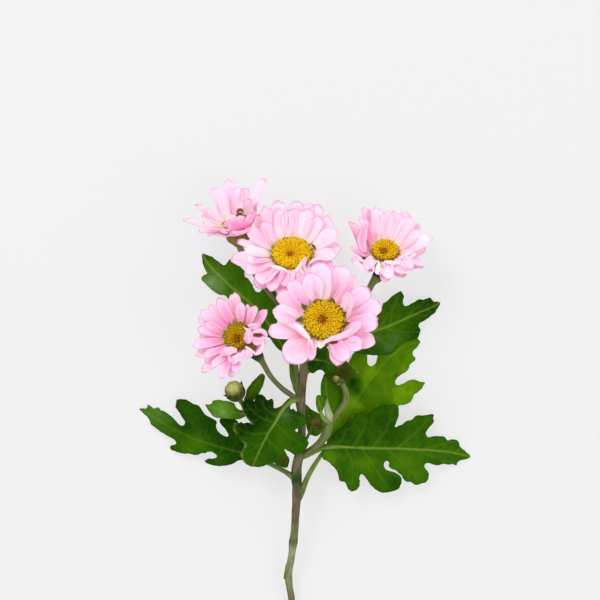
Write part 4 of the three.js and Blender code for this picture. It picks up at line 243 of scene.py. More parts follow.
"outline": [[246.4,412.8],[243.9,410.5],[241.8,410.2],[238.3,409.1],[235.4,406.3],[234.4,403.5],[230.4,401.6],[227.7,401],[223.4,400.6],[219.9,399.8],[215,400.1],[212.5,401.3],[211.8,403.1],[210,404.2],[206.5,404.3],[205.1,404.9],[205.7,406],[207.2,408.9],[209.3,411.8],[211.5,414.7],[213.6,416.8],[217.2,417.9],[223.7,418.6],[230.9,419.3],[238.8,419.3],[244.5,416.8],[246.6,415.4]],
"z": [[246,413.6,18.6],[232,412,16.6],[219,409.6,14.6],[206,405,11.4],[214,400.6,13.4],[212,415,12.8],[230,401.6,16.4],[233,419,15.6]],
"mid": [[246.6,414],[238,413.6],[228,411.8],[218,409],[206,405]],
"lat": [[[234,412.8],[226,406.6],[217,402]],[[236,413.2],[226,416],[216,416.6]]]},
"leaf_h": {"petiole": [[244.6,401.4,22.4,0.6],[247.6,397.2,23.0,0.5]],
"outline": [[262.8,373.4],[264.6,375.2],[265,377.3],[264.3,381.6],[262.5,386.7],[260.3,391],[258.9,393.8],[255.4,398.6],[251.6,402],[247.4,403.2],[244,402.8],[244,399],[245.8,394.8],[246.4,390.6],[248.1,387.4],[250.3,384.5],[252.4,381.6],[255.3,378.8],[258.9,375.2],[261.7,373.4]],
"z": [[245,401.6,22.2],[252,391,23.6],[258,382,24.0],[263.4,374.6,23.4],[262,388,22.4],[248,387.6,22.4]],
"mid": [[245,401.8],[250,394.4],[256,385],[263,374.4]],
"lat": []},
"leaf_i": {"petiole": [[304.6,361.4,32.4,1.2],[308.6,359.6,34.6,1.0],[314,359,35.7,0.8],[322,360.6,35.6,0.6]],
"outline": [[309.6,353.4],[314,349.4],[319,346.6],[325,347],[330,350],[335,354.6],[341,358],[346,360.6],[350.1,363.7],[353.3,366.9],[357.8,371.4],[359.4,374.6],[355,375.6],[350.7,376],[349,379.4],[346.4,381.2],[343.7,379.7],[340,381.6],[336,380.6],[333,383],[331.6,382.6],[329.6,381],[327.7,377.8],[326.1,375.3],[324.8,373.3],[322.9,370.8],[320,369.8],[316.8,370.8],[313.6,373.3],[310.4,372.6],[308.4,368],[307.8,362],[308,357]],
"z": [[309,356.6,35.4],[325,361,35.6],[340,367,33.2],[358.6,374.4,28.6],[322,348,37.0],[312,372,33.4],[332,382,30.4],[348,379.4,29.4],[350,364.4,33.0]],
"mid": [[309,356.8],[320,359.6],[332,363.6],[345,369],[359,374.4]],
"lat": [[[320,359.6],[317,365],[313,371.6]],[[328,362],[329,370],[331.6,380]],[[326,361.6],[328,355],[326,349]],[[338,366],[343,372],[346.6,379]]]},
"leaf_j": {"petiole": [[331.6,421,25.4,1.0],[329.4,412,26.9,1.0],[327.8,404,27.4,0.8],[327,397,27.6,0.5]],
"outline": [[332.4,412],[330,412.6],[326.6,405.4],[324.8,399],[322,393.4],[320.6,388],[321.4,381.4],[324.6,373.6],[329,374.6],[334,378.4],[339,381],[342.4,384],[342.2,391.6],[341,399],[337.6,406.4]],
"z": [[331,411.4,27.0],[328.6,397,27.4],[325,376,26.6],[321,388,26.0],[342,388,25.0],[338.6,403,26.2]],
"mid": [[330,411.4],[328,403],[326.6,390],[325.4,376.4]],
"lat": [[[327.8,402],[332.6,396],[337.6,390]],[[327,396],[324,391],[321.8,387]]]},
"leaf_k": {"petiole": [[329.4,423,25.0,0.9],[325,420,26.8,0.85],[321.6,416,28.0,0.75],[320.4,409,28.5,0.5]],
"outline": [[317,395.6],[320.4,395],[324.6,397.4],[325,403],[323.4,409],[321.4,413],[319,412.6],[317.3,409.8],[316,405],[315.8,399.6]],
"z": [[321,411.6,28.2],[320,404,28.6],[318,397,28.4],[316.4,404,27.8],[324,403,28.0]],
"mid": [[320.4,411.6],[319.8,404],[318.6,397.4]],
"lat": []},
"leaf_m": {"petiole": [[305.2,441,18.4,0.7],[309.4,432.6,17.8,0.7],[311.6,424,17.2,0.6]],
"outline": [[303.6,402.6],[306.2,404.6],[309,407],[311,409.6],[312.6,413],[315.6,417],[319.4,422],[323.4,427.6],[321.6,432.4],[317,436.2],[311.6,435.2],[308.8,433.4],[306.6,428],[305.2,420],[303.6,411]],
"z": [[310,434,17.8],[311,424,17.2],[309,414,17.0],[304.4,403.4,17.0],[322,431,15.6],[306,425,17.4]],
"mid": [[310.4,434],[311.4,424],[308.6,413],[304.4,403.4]],
"lat": [[[311.4,426],[316,427],[320.6,429]]]}
}
}

# ---- small helpers -----------------------------------------------------------------------


def seed(*words):
    return np.random.default_rng(zlib.crc32("/".join(map(str, words)).encode()))


def unit(a):
    a = np.asarray(a, float)
    return a / np.maximum(np.linalg.norm(a, axis=-1, keepdims=True), 1e-12)


def ramp(x, a, b):
    """0 at a, 1 at b, smooth between."""
    t = np.clip((np.asarray(x, float) - a) / (b - a), 0, 1)
    return t * t * (3 - 2 * t)


def bell(x, w):
    return np.exp(-((np.asarray(x, float) / w) ** 2))


def plan(u, v, z):
    z = np.asarray(z, float)
    s = DATA["UNIT"] * (DATA["CAM"] + DATA["Z0"] - z) / DATA["CAM"]
    return np.stack(np.broadcast_arrays((np.asarray(u) - 300) * s, (300 - np.asarray(v)) * s, z), -1)


def seen(q):
    """Where points appear in the plan."""
    k = DATA["UNIT"] * (DATA["CAM"] + DATA["Z0"] - q[..., 2]) / DATA["CAM"]
    return q[..., 0] / k + 300, 300 - q[..., 1] / k


def spline(rows, n, closed=False):
    """Catmull-Rom through rows of numbers, n steps to a span."""
    rows = np.asarray(rows, float)
    m = len(rows)
    out = []
    for i in range(m if closed else m - 1):
        if closed:
            p0, p1, p2, p3 = (rows[(i + k) % m] for k in (-1, 0, 1, 2))
        else:
            p0, p1, p2, p3 = (rows[min(max(i + k, 0), m - 1)] for k in (-1, 0, 1, 2))
        for k in range(n):
            t = k / n
            out.append(0.5 * (2 * p1 + (p2 - p0) * t + (2 * p0 - 5 * p1 + 4 * p2 - p3) * t * t + (3 * p1 - p0 - 3 * p2 + p3) * t**3))
    if not closed:
        out.append(rows[-1])
    return np.array(out)


def evenly(line, step):
    """A polyline's rows again at even steps along its first two or three columns."""
    d = np.r_[0, np.cumsum(np.linalg.norm(np.diff(line[:, : min(3, line.shape[1])], axis=0), axis=1))]
    at = np.linspace(0, d[-1], max(2, int(round(d[-1] / step)) + 1))
    return np.stack([np.interp(at, d, c) for c in line.T], 1)


class Waves:
    """Smooth seeded undulation, about -1 to 1."""

    def __init__(self, rng, wavelength, dims=2, n=6):
        k = unit(rng.normal(size=(n, dims)))
        self.k = k * (2 * math.pi / (wavelength * rng.uniform(0.75, 1.5, (n, 1))))
        self.phase = rng.uniform(0, 2 * math.pi, n)

    def __call__(self, p):
        return np.sin(np.asarray(p, float) @ self.k.T + self.phase).sum(-1) / math.sqrt(len(self.phase) * 1.3)


def polyline_distance(p, line):
    """Distance from each point of p to a polyline, and how far along it the nearest point is, 0 to 1."""
    line = np.asarray(line, float)
    best, along = np.full(len(p), 1e9), np.zeros(len(p))
    seg = np.linalg.norm(np.diff(line, axis=0), axis=1)
    total, before = seg.sum(), 0.0
    for a, b, l in zip(line[:-1], line[1:], seg):
        d = b - a
        t = np.clip(((p - a) @ d) / max(l * l, 1e-12), 0, 1)
        r = np.linalg.norm(p - (a + t[:, None] * d), axis=1)
        near = r < best
        best = np.where(near, r, best)
        along = np.where(near, (before + t * l) / total, along)
        before += l
    return best, along


def inside(p, ring):
    """Which points lie inside a closed outline."""
    hit = np.zeros(len(p), bool)
    x, y = p[:, 0], p[:, 1]
    for (x0, y0), (x1, y1) in zip(ring, np.roll(ring, -1, 0)):
        cross = (y0 > y) != (y1 > y)
        if cross.any():
            hit ^= cross & (x < (x1 - x0) * (y - y0) / ((y1 - y0) or 1e-12) + x0)
    return hit


# ---- meshes --------------------------------------------------------------------------------


class Shape:
    """One piece in the making: points in mm, faces, a map point for each face corner, and named values for each point."""

    def __init__(self, cells=1):
        self.points, self.faces, self.map, self.values, self.count = [], [], [], [], 0
        self.columns = math.ceil(math.sqrt(cells))
        self.cell = 0

    def next_cell(self):
        i, self.cell = self.cell, self.cell + 1
        size = 1 / self.columns
        assert i < self.columns**2, "more cells than the map was cut into"
        return (i % self.columns) * size, (i // self.columns) * size, size

    def add(self, points, faces, corners, **values):
        """faces is an array of rows of point numbers, corners the same with (u, v) for each."""
        points = np.asarray(points, float).reshape(-1, 3)
        for f, c in zip(faces, corners):
            if len(f):
                self.faces.append(np.asarray(f) + self.count)
                self.map.append(np.asarray(c, float))
        self.points.append(points)
        self.values.append({k: np.broadcast_to(np.asarray(v, float), (len(points),) + np.shape(np.asarray(v))[1:] if np.ndim(v) else (len(points),)) for k, v in values.items()})
        self.count += len(points)

    def finish(self, name, material, slot, *nodes):
        co = (np.concatenate(self.points) + OFFSET) / 1000
        me = bpy.data.meshes.new(name)
        me.vertices.add(len(co))
        me.vertices.foreach_set("co", co.astype(np.float32).ravel())
        loops = np.concatenate([f.ravel() for f in self.faces])
        sizes = np.concatenate([np.full(len(f), f.shape[1]) for f in self.faces])
        me.loops.add(len(loops))
        me.loops.foreach_set("vertex_index", loops.astype(np.int32))
        me.polygons.add(len(sizes))
        me.polygons.foreach_set("loop_start", np.r_[0, np.cumsum(sizes)[:-1]].astype(np.int32))
        me.update(calc_edges=True)
        me.polygons.foreach_set("use_smooth", np.ones(len(sizes), bool))
        layer = me.uv_layers.new(name="OFBake", do_init=False)
        layer.uv.foreach_set("vector", np.concatenate([m.reshape(-1, 2) for m in self.map]).astype(np.float32).ravel())
        for key in sorted({k for v in self.values for k in v}):
            first = next(v[key] for v in self.values if key in v)
            vector = first.ndim == 2
            rows = [v.get(key, np.zeros((len(p), 3) if vector else len(p))) for v, p in zip(self.values, self.points)]
            at = me.attributes.new(key, "FLOAT_VECTOR" if vector else "FLOAT", "POINT")
            at.data.foreach_set("vector" if vector else "value", np.concatenate(rows).astype(np.float32).ravel())
        me.validate(clean_customdata=False)
        me.materials.append(material)
        ob = bpy.data.objects.new(name, me)
        bpy.context.scene.collection.objects.link(ob)
        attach(ob, "root")
        if nodes:
            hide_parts(*nodes)
        return ob


def sheet(shape, mid, thick, flip=False, cells=None, **values):
    """A closed thin sheet on a grid of points (rows, columns, 3). Values are grids or single numbers; `side` is 0 on the front and 1 on the back."""
    R, C = mid.shape[:2]
    dr = np.gradient(mid, axis=0)
    dc = np.gradient(mid, axis=1)
    n = unit(np.cross(dr, dc))
    front = mid + n * (thick / 2)[..., None]
    back = mid - n * (thick / 2)[..., None]
    idx = np.arange(R * C).reshape(R, C)
    a, b, c, d = idx[:-1, :-1], idx[1:, :-1], idx[1:, 1:], idx[:-1, 1:]
    top = np.stack([a, b, c, d], -1).reshape(-1, 4)
    bottom = np.stack([a, d, c, b], -1).reshape(-1, 4) + R * C
    loop = np.concatenate([idx[0, ::-1], idx[1:, 0], idx[-1, 1:], idx[-2:0:-1, -1]])
    nxt = np.roll(loop, -1)
    rim = np.stack([loop, loop + R * C, nxt + R * C, nxt], -1)[:, ::-1]
    if cells is None:
        cells = (shape.next_cell(), shape.next_cell())
    m = 0.06
    cu, cv = np.meshgrid(np.linspace(m, 1 - m, C), np.linspace(m, 1 - m, R))
    flat = np.stack([cu, cv], -1).reshape(-1, 2)
    uvs = [np.array(cell[:2]) + flat * cell[2] for cell in cells]
    out = np.array(cells[0][:2]) + (0.5 + (flat - 0.5) * (1 + m)) * cells[0][2]
    rim_uv = np.stack([uvs[0][loop], out[loop], out[nxt], uvs[0][nxt]], 1)[:, ::-1]
    grids = {k: (np.broadcast_to(v, (R, C)).ravel() if np.ndim(v) < 3 else np.asarray(v).reshape(-1, 3)) for k, v in values.items()}
    both = {k: np.concatenate([g, g]) for k, g in grids.items()}
    both["side"] = np.r_[np.zeros(R * C), np.ones(R * C)]
    shape.add(np.concatenate([front.reshape(-1, 3), back.reshape(-1, 3)]), [top, bottom, rim], [uvs[0][top], uvs[1][bottom - R * C], rim_uv], **both)


def tube(shape, centres, radii, sides, ribs=0, rib=0.0, cell=None, twist=0.0, flat=None, **values):
    """A closed ribbed tube. radii is one number a ring or a (ring, side) grid. Values are one number a ring."""
    centres = np.asarray(centres, float)
    n = len(centres)
    t = unit(np.gradient(centres, axis=0))
    side = np.cross(t[0], [0, 0, 1.0] if abs(t[0][2]) < 0.9 else [1.0, 0, 0])
    phi = np.arange(sides) * 2 * math.pi / sides
    radii = np.asarray(radii, float)
    if radii.ndim == 1:
        radii = np.repeat(radii[:, None], sides, 1)
    d = np.r_[0, np.cumsum(np.linalg.norm(np.diff(centres, axis=0), axis=1))]
    pts, ring = [], []
    for i in range(n):
        side = unit(side - t[i] * (side @ t[i]))
        up = np.cross(t[i], side)
        r = radii[i] * (1 + rib * np.cos(ribs * phi + twist * d[i]))
        pts.append(centres[i] + np.outer(r * np.cos(phi), side) + np.outer(r * np.sin(phi), up))
        ring.append(np.stack([np.cos(phi), np.sin(phi), np.full(sides, d[i])], 1))
    pts = np.concatenate(pts + [centres[:1], centres[-1:]])
    ring = np.concatenate(ring + [[[0, 0, d[0]]], [[0, 0, d[-1]]]])
    i, k = np.meshgrid(np.arange(n - 1), np.arange(sides), indexing="ij")
    k1 = (k + 1) % sides
    quads = np.stack([i * sides + k, i * sides + k1, (i + 1) * sides + k1, (i + 1) * sides + k], -1).reshape(-1, 4)
    u0, v0, size = cell or shape.next_cell()
    m = 0.05
    U = lambda x: u0 + size * (m + (1 - 2 * m) * x)
    V = lambda x: v0 + size * (m + (1 - 2 * m) * x * 0.86)
    uv = np.stack([np.stack([U(a / sides), V(d[b] / d[-1])], -1) for a, b in ((k, i), (k + 1, i), (k + 1, i + 1), (k, i + 1))], -2).reshape(-1, 4, 2)
    kk = np.arange(sides)
    lo = np.stack([np.full(sides, n * sides), (kk + 1) % sides, kk], 1)
    hi = np.stack([np.full(sides, n * sides + 1), (n - 1) * sides + kk, (n - 1) * sides + (kk + 1) % sides], 1)
    caps = []
    for c, (cu) in enumerate((0.25, 0.75)):
        mid = np.array([u0 + size * cu, v0 + size * 0.935])
        ringuv = mid + size * 0.035 * np.stack([np.cos(phi), np.sin(phi)], 1)
        a, b = ringuv[kk], ringuv[(kk + 1) % sides]
        caps.append(np.stack([np.repeat(mid[None], sides, 0), b, a] if c == 0 else [np.repeat(mid[None], sides, 0), a, b], 1))
    vals = {}
    for q, v in values.items():
        v = np.broadcast_to(v, (n, 3) if np.ndim(v) == 2 else n)
        vals[q] = np.concatenate([np.repeat(v, sides, 0), v[[0, -1]]])
    vals["ring"] = ring
    shape.add(pts, [quads, lo, hi], [uv, caps[0], caps[1]], **vals)


def lathe(shape, c, n, profile, sides, cell=None, bump=None, **values):
    """A body turned round n through c; profile rows are [radius, height along n] from axis to axis, bottom first. Values are one number a row."""
    profile = np.asarray(profile, float)
    e1 = unit(np.array([1.0, 0, 0]) - n * n[0])
    e2 = np.cross(n, e1)
    phi = np.arange(sides) * 2 * math.pi / sides
    inner = profile[1:-1]
    P = []
    for j, (r, h) in enumerate(inner):
        rr = r * (1 + (bump(phi, j / max(1, len(inner) - 1)) if bump else 0))
        P.append(c + n * h + np.outer(rr * np.cos(phi), e1) + np.outer(rr * np.sin(phi), e2))
    m = len(inner)
    pts = np.concatenate(P + [[c + n * profile[0][1]], [c + n * profile[-1][1]]])
    i, k = np.meshgrid(np.arange(m - 1), np.arange(sides), indexing="ij")
    k1 = (k + 1) % sides
    quads = np.stack([i * sides + k, i * sides + k1, (i + 1) * sides + k1, (i + 1) * sides + k], -1).reshape(-1, 4)
    kk = np.arange(sides)
    lo = np.stack([np.full(sides, m * sides), (kk + 1) % sides, kk], 1)
    hi = np.stack([np.full(sides, m * sides + 1), (m - 1) * sides + kk, (m - 1) * sides + (kk + 1) % sides], 1)
    u0, v0, size = cell or shape.next_cell()
    g = 0.05
    U = lambda x: u0 + size * (g + (1 - 2 * g) * x)
    V = lambda x: v0 + size * (g + (1 - 2 * g) * x)
    uv = np.stack([np.stack([U(a / sides), V((b + 1) / (m + 1))], -1) for a, b in ((k, i), (k + 1, i), (k + 1, i + 1), (k, i + 1))], -2).reshape(-1, 4, 2)
    lo_uv = np.stack([np.stack([U((kk + 0.5) / sides), np.full(sides, V(0))], 1), np.stack([U((kk + 1) / sides), np.full(sides, V(1 / (m + 1)))], 1), np.stack([U(kk / sides), np.full(sides, V(1 / (m + 1)))], 1)], 1)
    hi_uv = np.stack([np.stack([U((kk + 0.5) / sides), np.full(sides, V(1))], 1), np.stack([U(kk / sides), np.full(sides, V(m / (m + 1)))], 1), np.stack([U((kk + 1) / sides), np.full(sides, V(m / (m + 1)))], 1)], 1)
    vals = {q: (np.r_[np.repeat(np.asarray(v)[1:-1], sides), np.asarray(v)[[0, -1]]] if np.ndim(v) == 1 and len(v) == len(profile) else v) for q, v in values.items()}
    shape.add(pts, [quads, lo, hi], [uv, lo_uv, hi_uv], **vals)


# ---- materials --------------------------------------------------------------------------------


def srgb(r, g, b):
    f = lambda c: (c / 255 / 12.92) if c <= 10.31 else ((c / 255 + 0.055) / 1.055) ** 2.4
    return (f(r), f(g), f(b), 1.0)


class Look:
    """A node material with one Principled shader."""

    def __init__(self, name):
        self.mat = bpy.data.materials.new(name)
        self.mat.use_nodes = True
        self.t = self.mat.node_tree
        self.t.nodes.clear()
        self.out = self.t.nodes.new("ShaderNodeOutputMaterial")
        self.p = self.t.nodes.new("ShaderNodeBsdfPrincipled")
        self.t.links.new(self.p.outputs[0], self.out.inputs[0])

    def put(self, node, **inputs):
        for k, v in inputs.items():
            self.set(node.inputs[k] if isinstance(k, str) and not k.startswith("i_") else node.inputs[int(k[2:])], v)
        return node

    def set(self, socket, v):
        if isinstance(v, bpy.types.NodeSocket):
            self.t.links.new(v, socket)
        else:
            socket.default_value = v

    def attr(self, name, output="Fac"):
        n = self.t.nodes.new("ShaderNodeAttribute")
        n.attribute_name = name
        return n.outputs[output]

    def split(self, vector):
        n = self.t.nodes.new("ShaderNodeSeparateXYZ")
        self.set(n.inputs[0], vector)
        return n.outputs

    def join(self, x=0.0, y=0.0, z=0.0):
        n = self.t.nodes.new("ShaderNodeCombineXYZ")
        for s, v in zip(n.inputs, (x, y, z)):
            self.set(s, v)
        return n.outputs[0]

    def place(self):
        return self.t.nodes.new("ShaderNodeTexCoord").outputs["Object"]

    def op(self, kind, a, b=0.0, c=0.0, clamp=False):
        n = self.t.nodes.new("ShaderNodeMath")
        n.operation = kind
        n.use_clamp = clamp
        for s, v in zip(n.inputs, (a, b, c)):
            self.set(s, v)
        return n.outputs[0]

    def mul(self, a, b):
        return self.op("MULTIPLY", a, b)

    def plus(self, a, b, clamp=False):
        return self.op("ADD", a, b, clamp=clamp)

    def fit(self, x, a, b, c=0.0, d=1.0, smooth=True):
        n = self.t.nodes.new("ShaderNodeMapRange")
        n.interpolation_type = "SMOOTHSTEP" if smooth else "LINEAR"
        for s, v in zip(n.inputs, (x, a, b, c, d)):
            self.set(s, v)
        return n.outputs[0]

    def mix(self, fac, a, b, blend="MIX"):
        n = self.t.nodes.new("ShaderNodeMix")
        n.data_type = "RGBA"
        n.blend_type = blend
        n.clamp_factor = True
        self.set(n.inputs[0], fac)
        self.set(n.inputs[6], a)
        self.set(n.inputs[7], b)
        return n.outputs[2]

    def steps(self, x, *stops):
        n = self.t.nodes.new("ShaderNodeValToRGB")
        e = n.color_ramp.elements
        while len(e) < len(stops):
            e.new(0.5)
        for el, (at, colour) in zip(e, stops):
            el.position, el.color = at, colour
        self.set(n.inputs[0], x)
        return n.outputs[0]

    def noise(self, vector, scale, detail=3.0, rough=0.5, distortion=0.0):
        n = self.t.nodes.new("ShaderNodeTexNoise")
        self.put(n, Vector=vector, Scale=scale, Detail=detail, Roughness=rough, Distortion=distortion)
        return n.outputs[0]

    def cells(self, vector, scale, feature="F1", randomness=1.0):
        n = self.t.nodes.new("ShaderNodeTexVoronoi")
        n.feature = feature
        self.put(n, Vector=vector, Scale=scale, Randomness=randomness)
        return n.outputs["Distance"]

    def scale(self, vector, by):
        n = self.t.nodes.new("ShaderNodeVectorMath")
        n.operation = "MULTIPLY"
        self.set(n.inputs[0], vector)
        n.inputs[1].default_value = by
        return n.outputs[0]

    def bump(self, height, distance, strength=1.0, normal=None):
        n = self.t.nodes.new("ShaderNodeBump")
        self.put(n, Height=height, Distance=distance, Strength=strength)
        if normal is not None:
            self.set(n.inputs["Normal"], normal)
        return n.outputs[0]

    def done(self, colour, roughness=0.5, normal=None, specular=0.3, sub=0.0, radius=(1, 1, 1), reach=0.001, sheen=0.0, painted_glow=None):
        p = self.p.inputs
        self.set(p["Base Color"], colour)
        self.set(p["Roughness"], roughness)
        p["Specular IOR Level"].default_value = specular
        if normal is not None:
            self.set(p["Normal"], normal)
        if sub:
            p["Subsurface Weight"].default_value = sub
            p["Subsurface Radius"].default_value = radius
            p["Subsurface Scale"].default_value = reach
        if sheen:
            p["Sheen Weight"].default_value = sheen
            p["Sheen Roughness"].default_value = 0.4
        if painted_glow:
            p["Emission Color"].default_value = (*painted_glow, 1)
            p["Emission Strength"].default_value = 1.0
        return self.mat


def petal_look():
    m = Look("petal")
    s, t, r = m.split(m.attr("petal", "Vector"))
    tone, side, rim = m.attr("tone"), m.attr("side"), m.attr("rim")
    # fine lengthwise lines, drawn out along the petal
    lines = m.noise(m.join(m.mul(s, 6.5), m.mul(t, 0.6), m.mul(r, 31.0)), 1.6, 5.0, 0.66)
    broad = m.noise(m.join(m.mul(s, 1.3), m.mul(t, 1.1), m.mul(r, 17.0)), 1.0, 2.0, 0.5)
    veins = m.op("ABSOLUTE", m.op("SINE", m.plus(m.mul(m.plus(s, m.mul(m.plus(lines, -0.5), 0.22)), 9.4), m.mul(r, 9.0))))
    vein = m.fit(veins, 0.0, 0.34, 1.0, 0.0)
    along = m.plus(t, m.mul(m.plus(broad, -0.5), 0.22))
    pale = m.steps(along, (0.0, srgb(100, 116, 30)), (0.04, srgb(206, 190, 84)), (0.09, srgb(252, 236, 168)), (0.20, srgb(255, 237, 208)),
                   (0.36, srgb(255, 229, 234)), (0.64, srgb(253, 220, 236)), (0.88, srgb(252, 210, 231)), (1.0, srgb(249, 200, 225)))
    deep = m.steps(along, (0.0, srgb(84, 74, 24)), (0.04, srgb(206, 146, 70)), (0.12, srgb(247, 172, 182)), (0.25, srgb(246, 144, 187)),
                   (0.55, srgb(243, 154, 199)), (1.0, srgb(240, 164, 204)))
    inner = m.plus(1.0, m.mul(m.mul(s, s), -1.0))
    foot = m.fit(t, 0.15, 0.9, 1.0, 0.0)
    # painted shade: deeper pink along each petal's sides near its foot, where the crowded petals shade one another
    crevice_shade = m.mul(m.fit(m.op("ABSOLUTE", s), 0.5, 0.95), foot)
    blush = m.mul(m.mul(m.fit(broad, 0.46, 0.74), m.fit(t, 0.12, 0.32)), m.fit(t, 0.45, 0.9, 0.5, 0.12))
    # painted shade: deeper pink down the middle of each petal towards its foot, for the trough the curled petal makes
    k = m.mul(tone, m.plus(0.30, m.mul(m.mul(inner, foot), 0.72)))
    k = m.mul(k, m.op("MAXIMUM", m.fit(t, 0.07, 0.24, 0.1, 1.0), m.fit(tone, 0.5, 1.0)))
    k = m.plus(m.plus(k, m.mul(crevice_shade, 0.20)), blush)
    spots = m.noise(m.place(), 420.0, 3.0, 0.55)
    k = m.plus(k, m.plus(m.mul(m.plus(lines, -0.5), 1.0), m.mul(m.plus(spots, -0.5), 0.22)))
    colour = m.mix(m.plus(k, m.mul(side, 0.16), clamp=True), pale, deep)
    white = m.mul(m.op("MAXIMUM", m.mul(tone, -1.0), 0.0), 0.9)
    colour = m.mix(m.plus(white, 0.0, clamp=True), colour, srgb(255, 246, 252))
    colour = m.mix(m.mul(vein, m.fit(t, 0.08, 0.4, 0.05, 0.24)), colour, srgb(238, 146, 198))
    # painted highlight: a whiter band just inside each petal's edge, where the raised edges catch the light
    colour = m.mix(m.mul(m.fit(rim, 0.78, 0.90), m.fit(rim, 0.92, 0.965, 0.22, 0.0)), colour, srgb(255, 240, 250))
    outlined = m.op("FRACT", m.mul(r, 7.31))
    throat = m.mul(m.fit(m.plus(along, m.mul(m.attr("throat"), -1.0)), 0.06, 0.14, 1.0, 0.0), m.fit(m.plus(m.op("ABSOLUTE", s), m.mul(m.attr("throat"), 4.0)), 0.35, 0.9))
    colour = m.mix(m.mul(throat, m.fit(outlined, 0.0, 1.0, 0.25, 0.85)), colour, srgb(118, 110, 16))
    # a thin mauve line along each petal's edge: partly the petal's own deeper-pink edge, partly painted shadow where
    # one petal lies over the next
    line = m.mul(m.fit(rim, 0.935, 0.985), m.fit(outlined, 0.25, 0.9, 0.10, 0.8))
    colour = m.mix(m.mul(line, m.plus(1.0, m.mul(m.attr("plain"), -1.0))), colour, srgb(208, 126, 172))
    tip = m.mul(m.fit(t, 0.90, 1.0), m.fit(broad, 0.4, 0.7, 0.0, 0.3))
    colour = m.mix(m.mul(tip, m.plus(1.0, m.mul(m.attr("plain"), -0.8))), colour, srgb(232, 140, 188))
    fine = m.noise(m.place(), 2600.0, 3.0, 0.6)
    rough = m.fit(fine, 0.3, 0.7, 0.48, 0.62, smooth=False)
    ridge = m.plus(m.plus(m.mul(lines, 1.0), m.mul(vein, -0.35)), m.mul(fine, 0.2))
    # painted glow: a faint pink emission stands in for the light that shines through the thin petals, and lifts their
    # shaded parts to pink
    return m.done(colour, rough, m.bump(ridge, 0.00022, 0.5), specular=0.18, sub=0.45, radius=(1.0, 0.85, 0.92), reach=0.002, sheen=0.06, painted_glow=(0.085, 0.017, 0.05))


def disc_look():
    m = Look("disc_floret")
    rr, fh, rnd = m.split(m.attr("floret", "Vector"))
    tone, eye, gain = m.attr("tone"), m.attr("eye"), m.attr("gain")
    jitter = m.mul(m.plus(rnd, -0.5), 0.07)
    col = m.steps(m.plus(rr, jitter),
                  (0.0, srgb(238, 190, 22)), (0.35, srgb(243, 196, 14)), (0.60, srgb(247, 202, 16)), (0.84, srgb(250, 208, 24)), (0.94, srgb(226, 186, 20)), (1.0, srgb(160, 140, 18)))
    # each floret darker towards its foot: partly its own colour, partly painted shade in the gaps between florets
    low = m.steps(rr, (0.0, srgb(196, 134, 4)), (0.3, srgb(212, 152, 2)), (0.86, srgb(214, 158, 2)), (0.93, srgb(140, 118, 6)), (1.0, srgb(62, 62, 6)))
    col = m.mix(m.fit(fh, 0.10, 0.62), low, col)
    # painted highlight: a paler yellow on the tips of some florets
    col = m.mix(m.mul(m.fit(fh, 0.8, 1.0), m.fit(rnd, 0.3, 1.0, 0.0, 0.55)), col, srgb(252, 222, 84))
    col = m.mix(m.mul(m.fit(rnd, 0.86, 0.93, 0.0, 0.5), m.fit(fh, 0.3, 0.7)), col, srgb(214, 134, 22))
    col = m.mix(m.mul(tone, m.fit(rr, 0.2, 1.0, 0.35, 1.1)), col, srgb(118, 108, 6))
    col = m.mix(m.mul(m.fit(rr, 0.90, 0.985), 0.75), col, srgb(112, 106, 6))
    spot = m.fit(m.plus(eye, m.mul(jitter, 2.4)), 0.55, 1.08, 1.0, 0.0)
    brown = m.mix(m.fit(m.plus(rnd, m.mul(fh, 0.3)), 0.45, 1.2), srgb(116, 42, 4), srgb(196, 98, 6))
    col = m.mix(m.mul(spot, m.plus(1.0, m.mul(m.attr("faint"), -1.0))), col, brown)
    grain = m.noise(m.place(), 3200.0, 3.0, 0.6)
    col = m.mix(m.fit(grain, 0.55, 0.8, 0.0, 0.2), col, srgb(176, 116, 4))
    # painted shade: the whole disc darkened by its head's amount
    col = m.mix(1.0, col, m.join(gain, gain, gain), "MULTIPLY")
    return m.done(col, m.fit(grain, 0.3, 0.7, 0.55, 0.8, smooth=False), m.bump(grain, 0.0002, 0.6), specular=0.08, sub=0.1, radius=(1, 0.6, 0.1), reach=0.0006)


def bract_look():
    m = Look("bract")
    s, t, r = m.split(m.attr("petal", "Vector"))
    lines = m.noise(m.join(m.mul(s, 5.0), m.mul(t, 0.8), m.mul(r, 23.0)), 1.5, 3.0, 0.6)
    col = m.steps(t, (0.0, srgb(88, 100, 28)), (0.5, srgb(118, 122, 42)), (0.85, srgb(140, 132, 58)), (1.0, srgb(140, 108, 60)))
    col = m.mix(m.fit(lines, 0.4, 0.65, 0.0, 0.55), col, srgb(54, 72, 18))
    col = m.mix(m.fit(m.op("ABSOLUTE", s), 0.7, 1.0, 0.0, 0.6), col, srgb(70, 66, 26))
    col = m.mix(m.mul(m.attr("tone"), 1.0), col, srgb(34, 44, 16))
    # painted highlight: a tone below 0 paints the cup a lighter yellow-green, as where light catches it
    col = m.mix(m.fit(m.attr("tone"), -1.0, 0.0, 1.0, 0.0), col, srgb(206, 178, 96))
    col = m.mix(m.attr("brown"), col, srgb(122, 68, 28))
    grain = m.noise(m.place(), 2200.0, 3.0, 0.6)
    return m.done(col, m.fit(grain, 0.3, 0.7, 0.5, 0.68, smooth=False), m.bump(m.plus(lines, m.mul(grain, 0.4)), 0.0003, 0.6), specular=0.22)


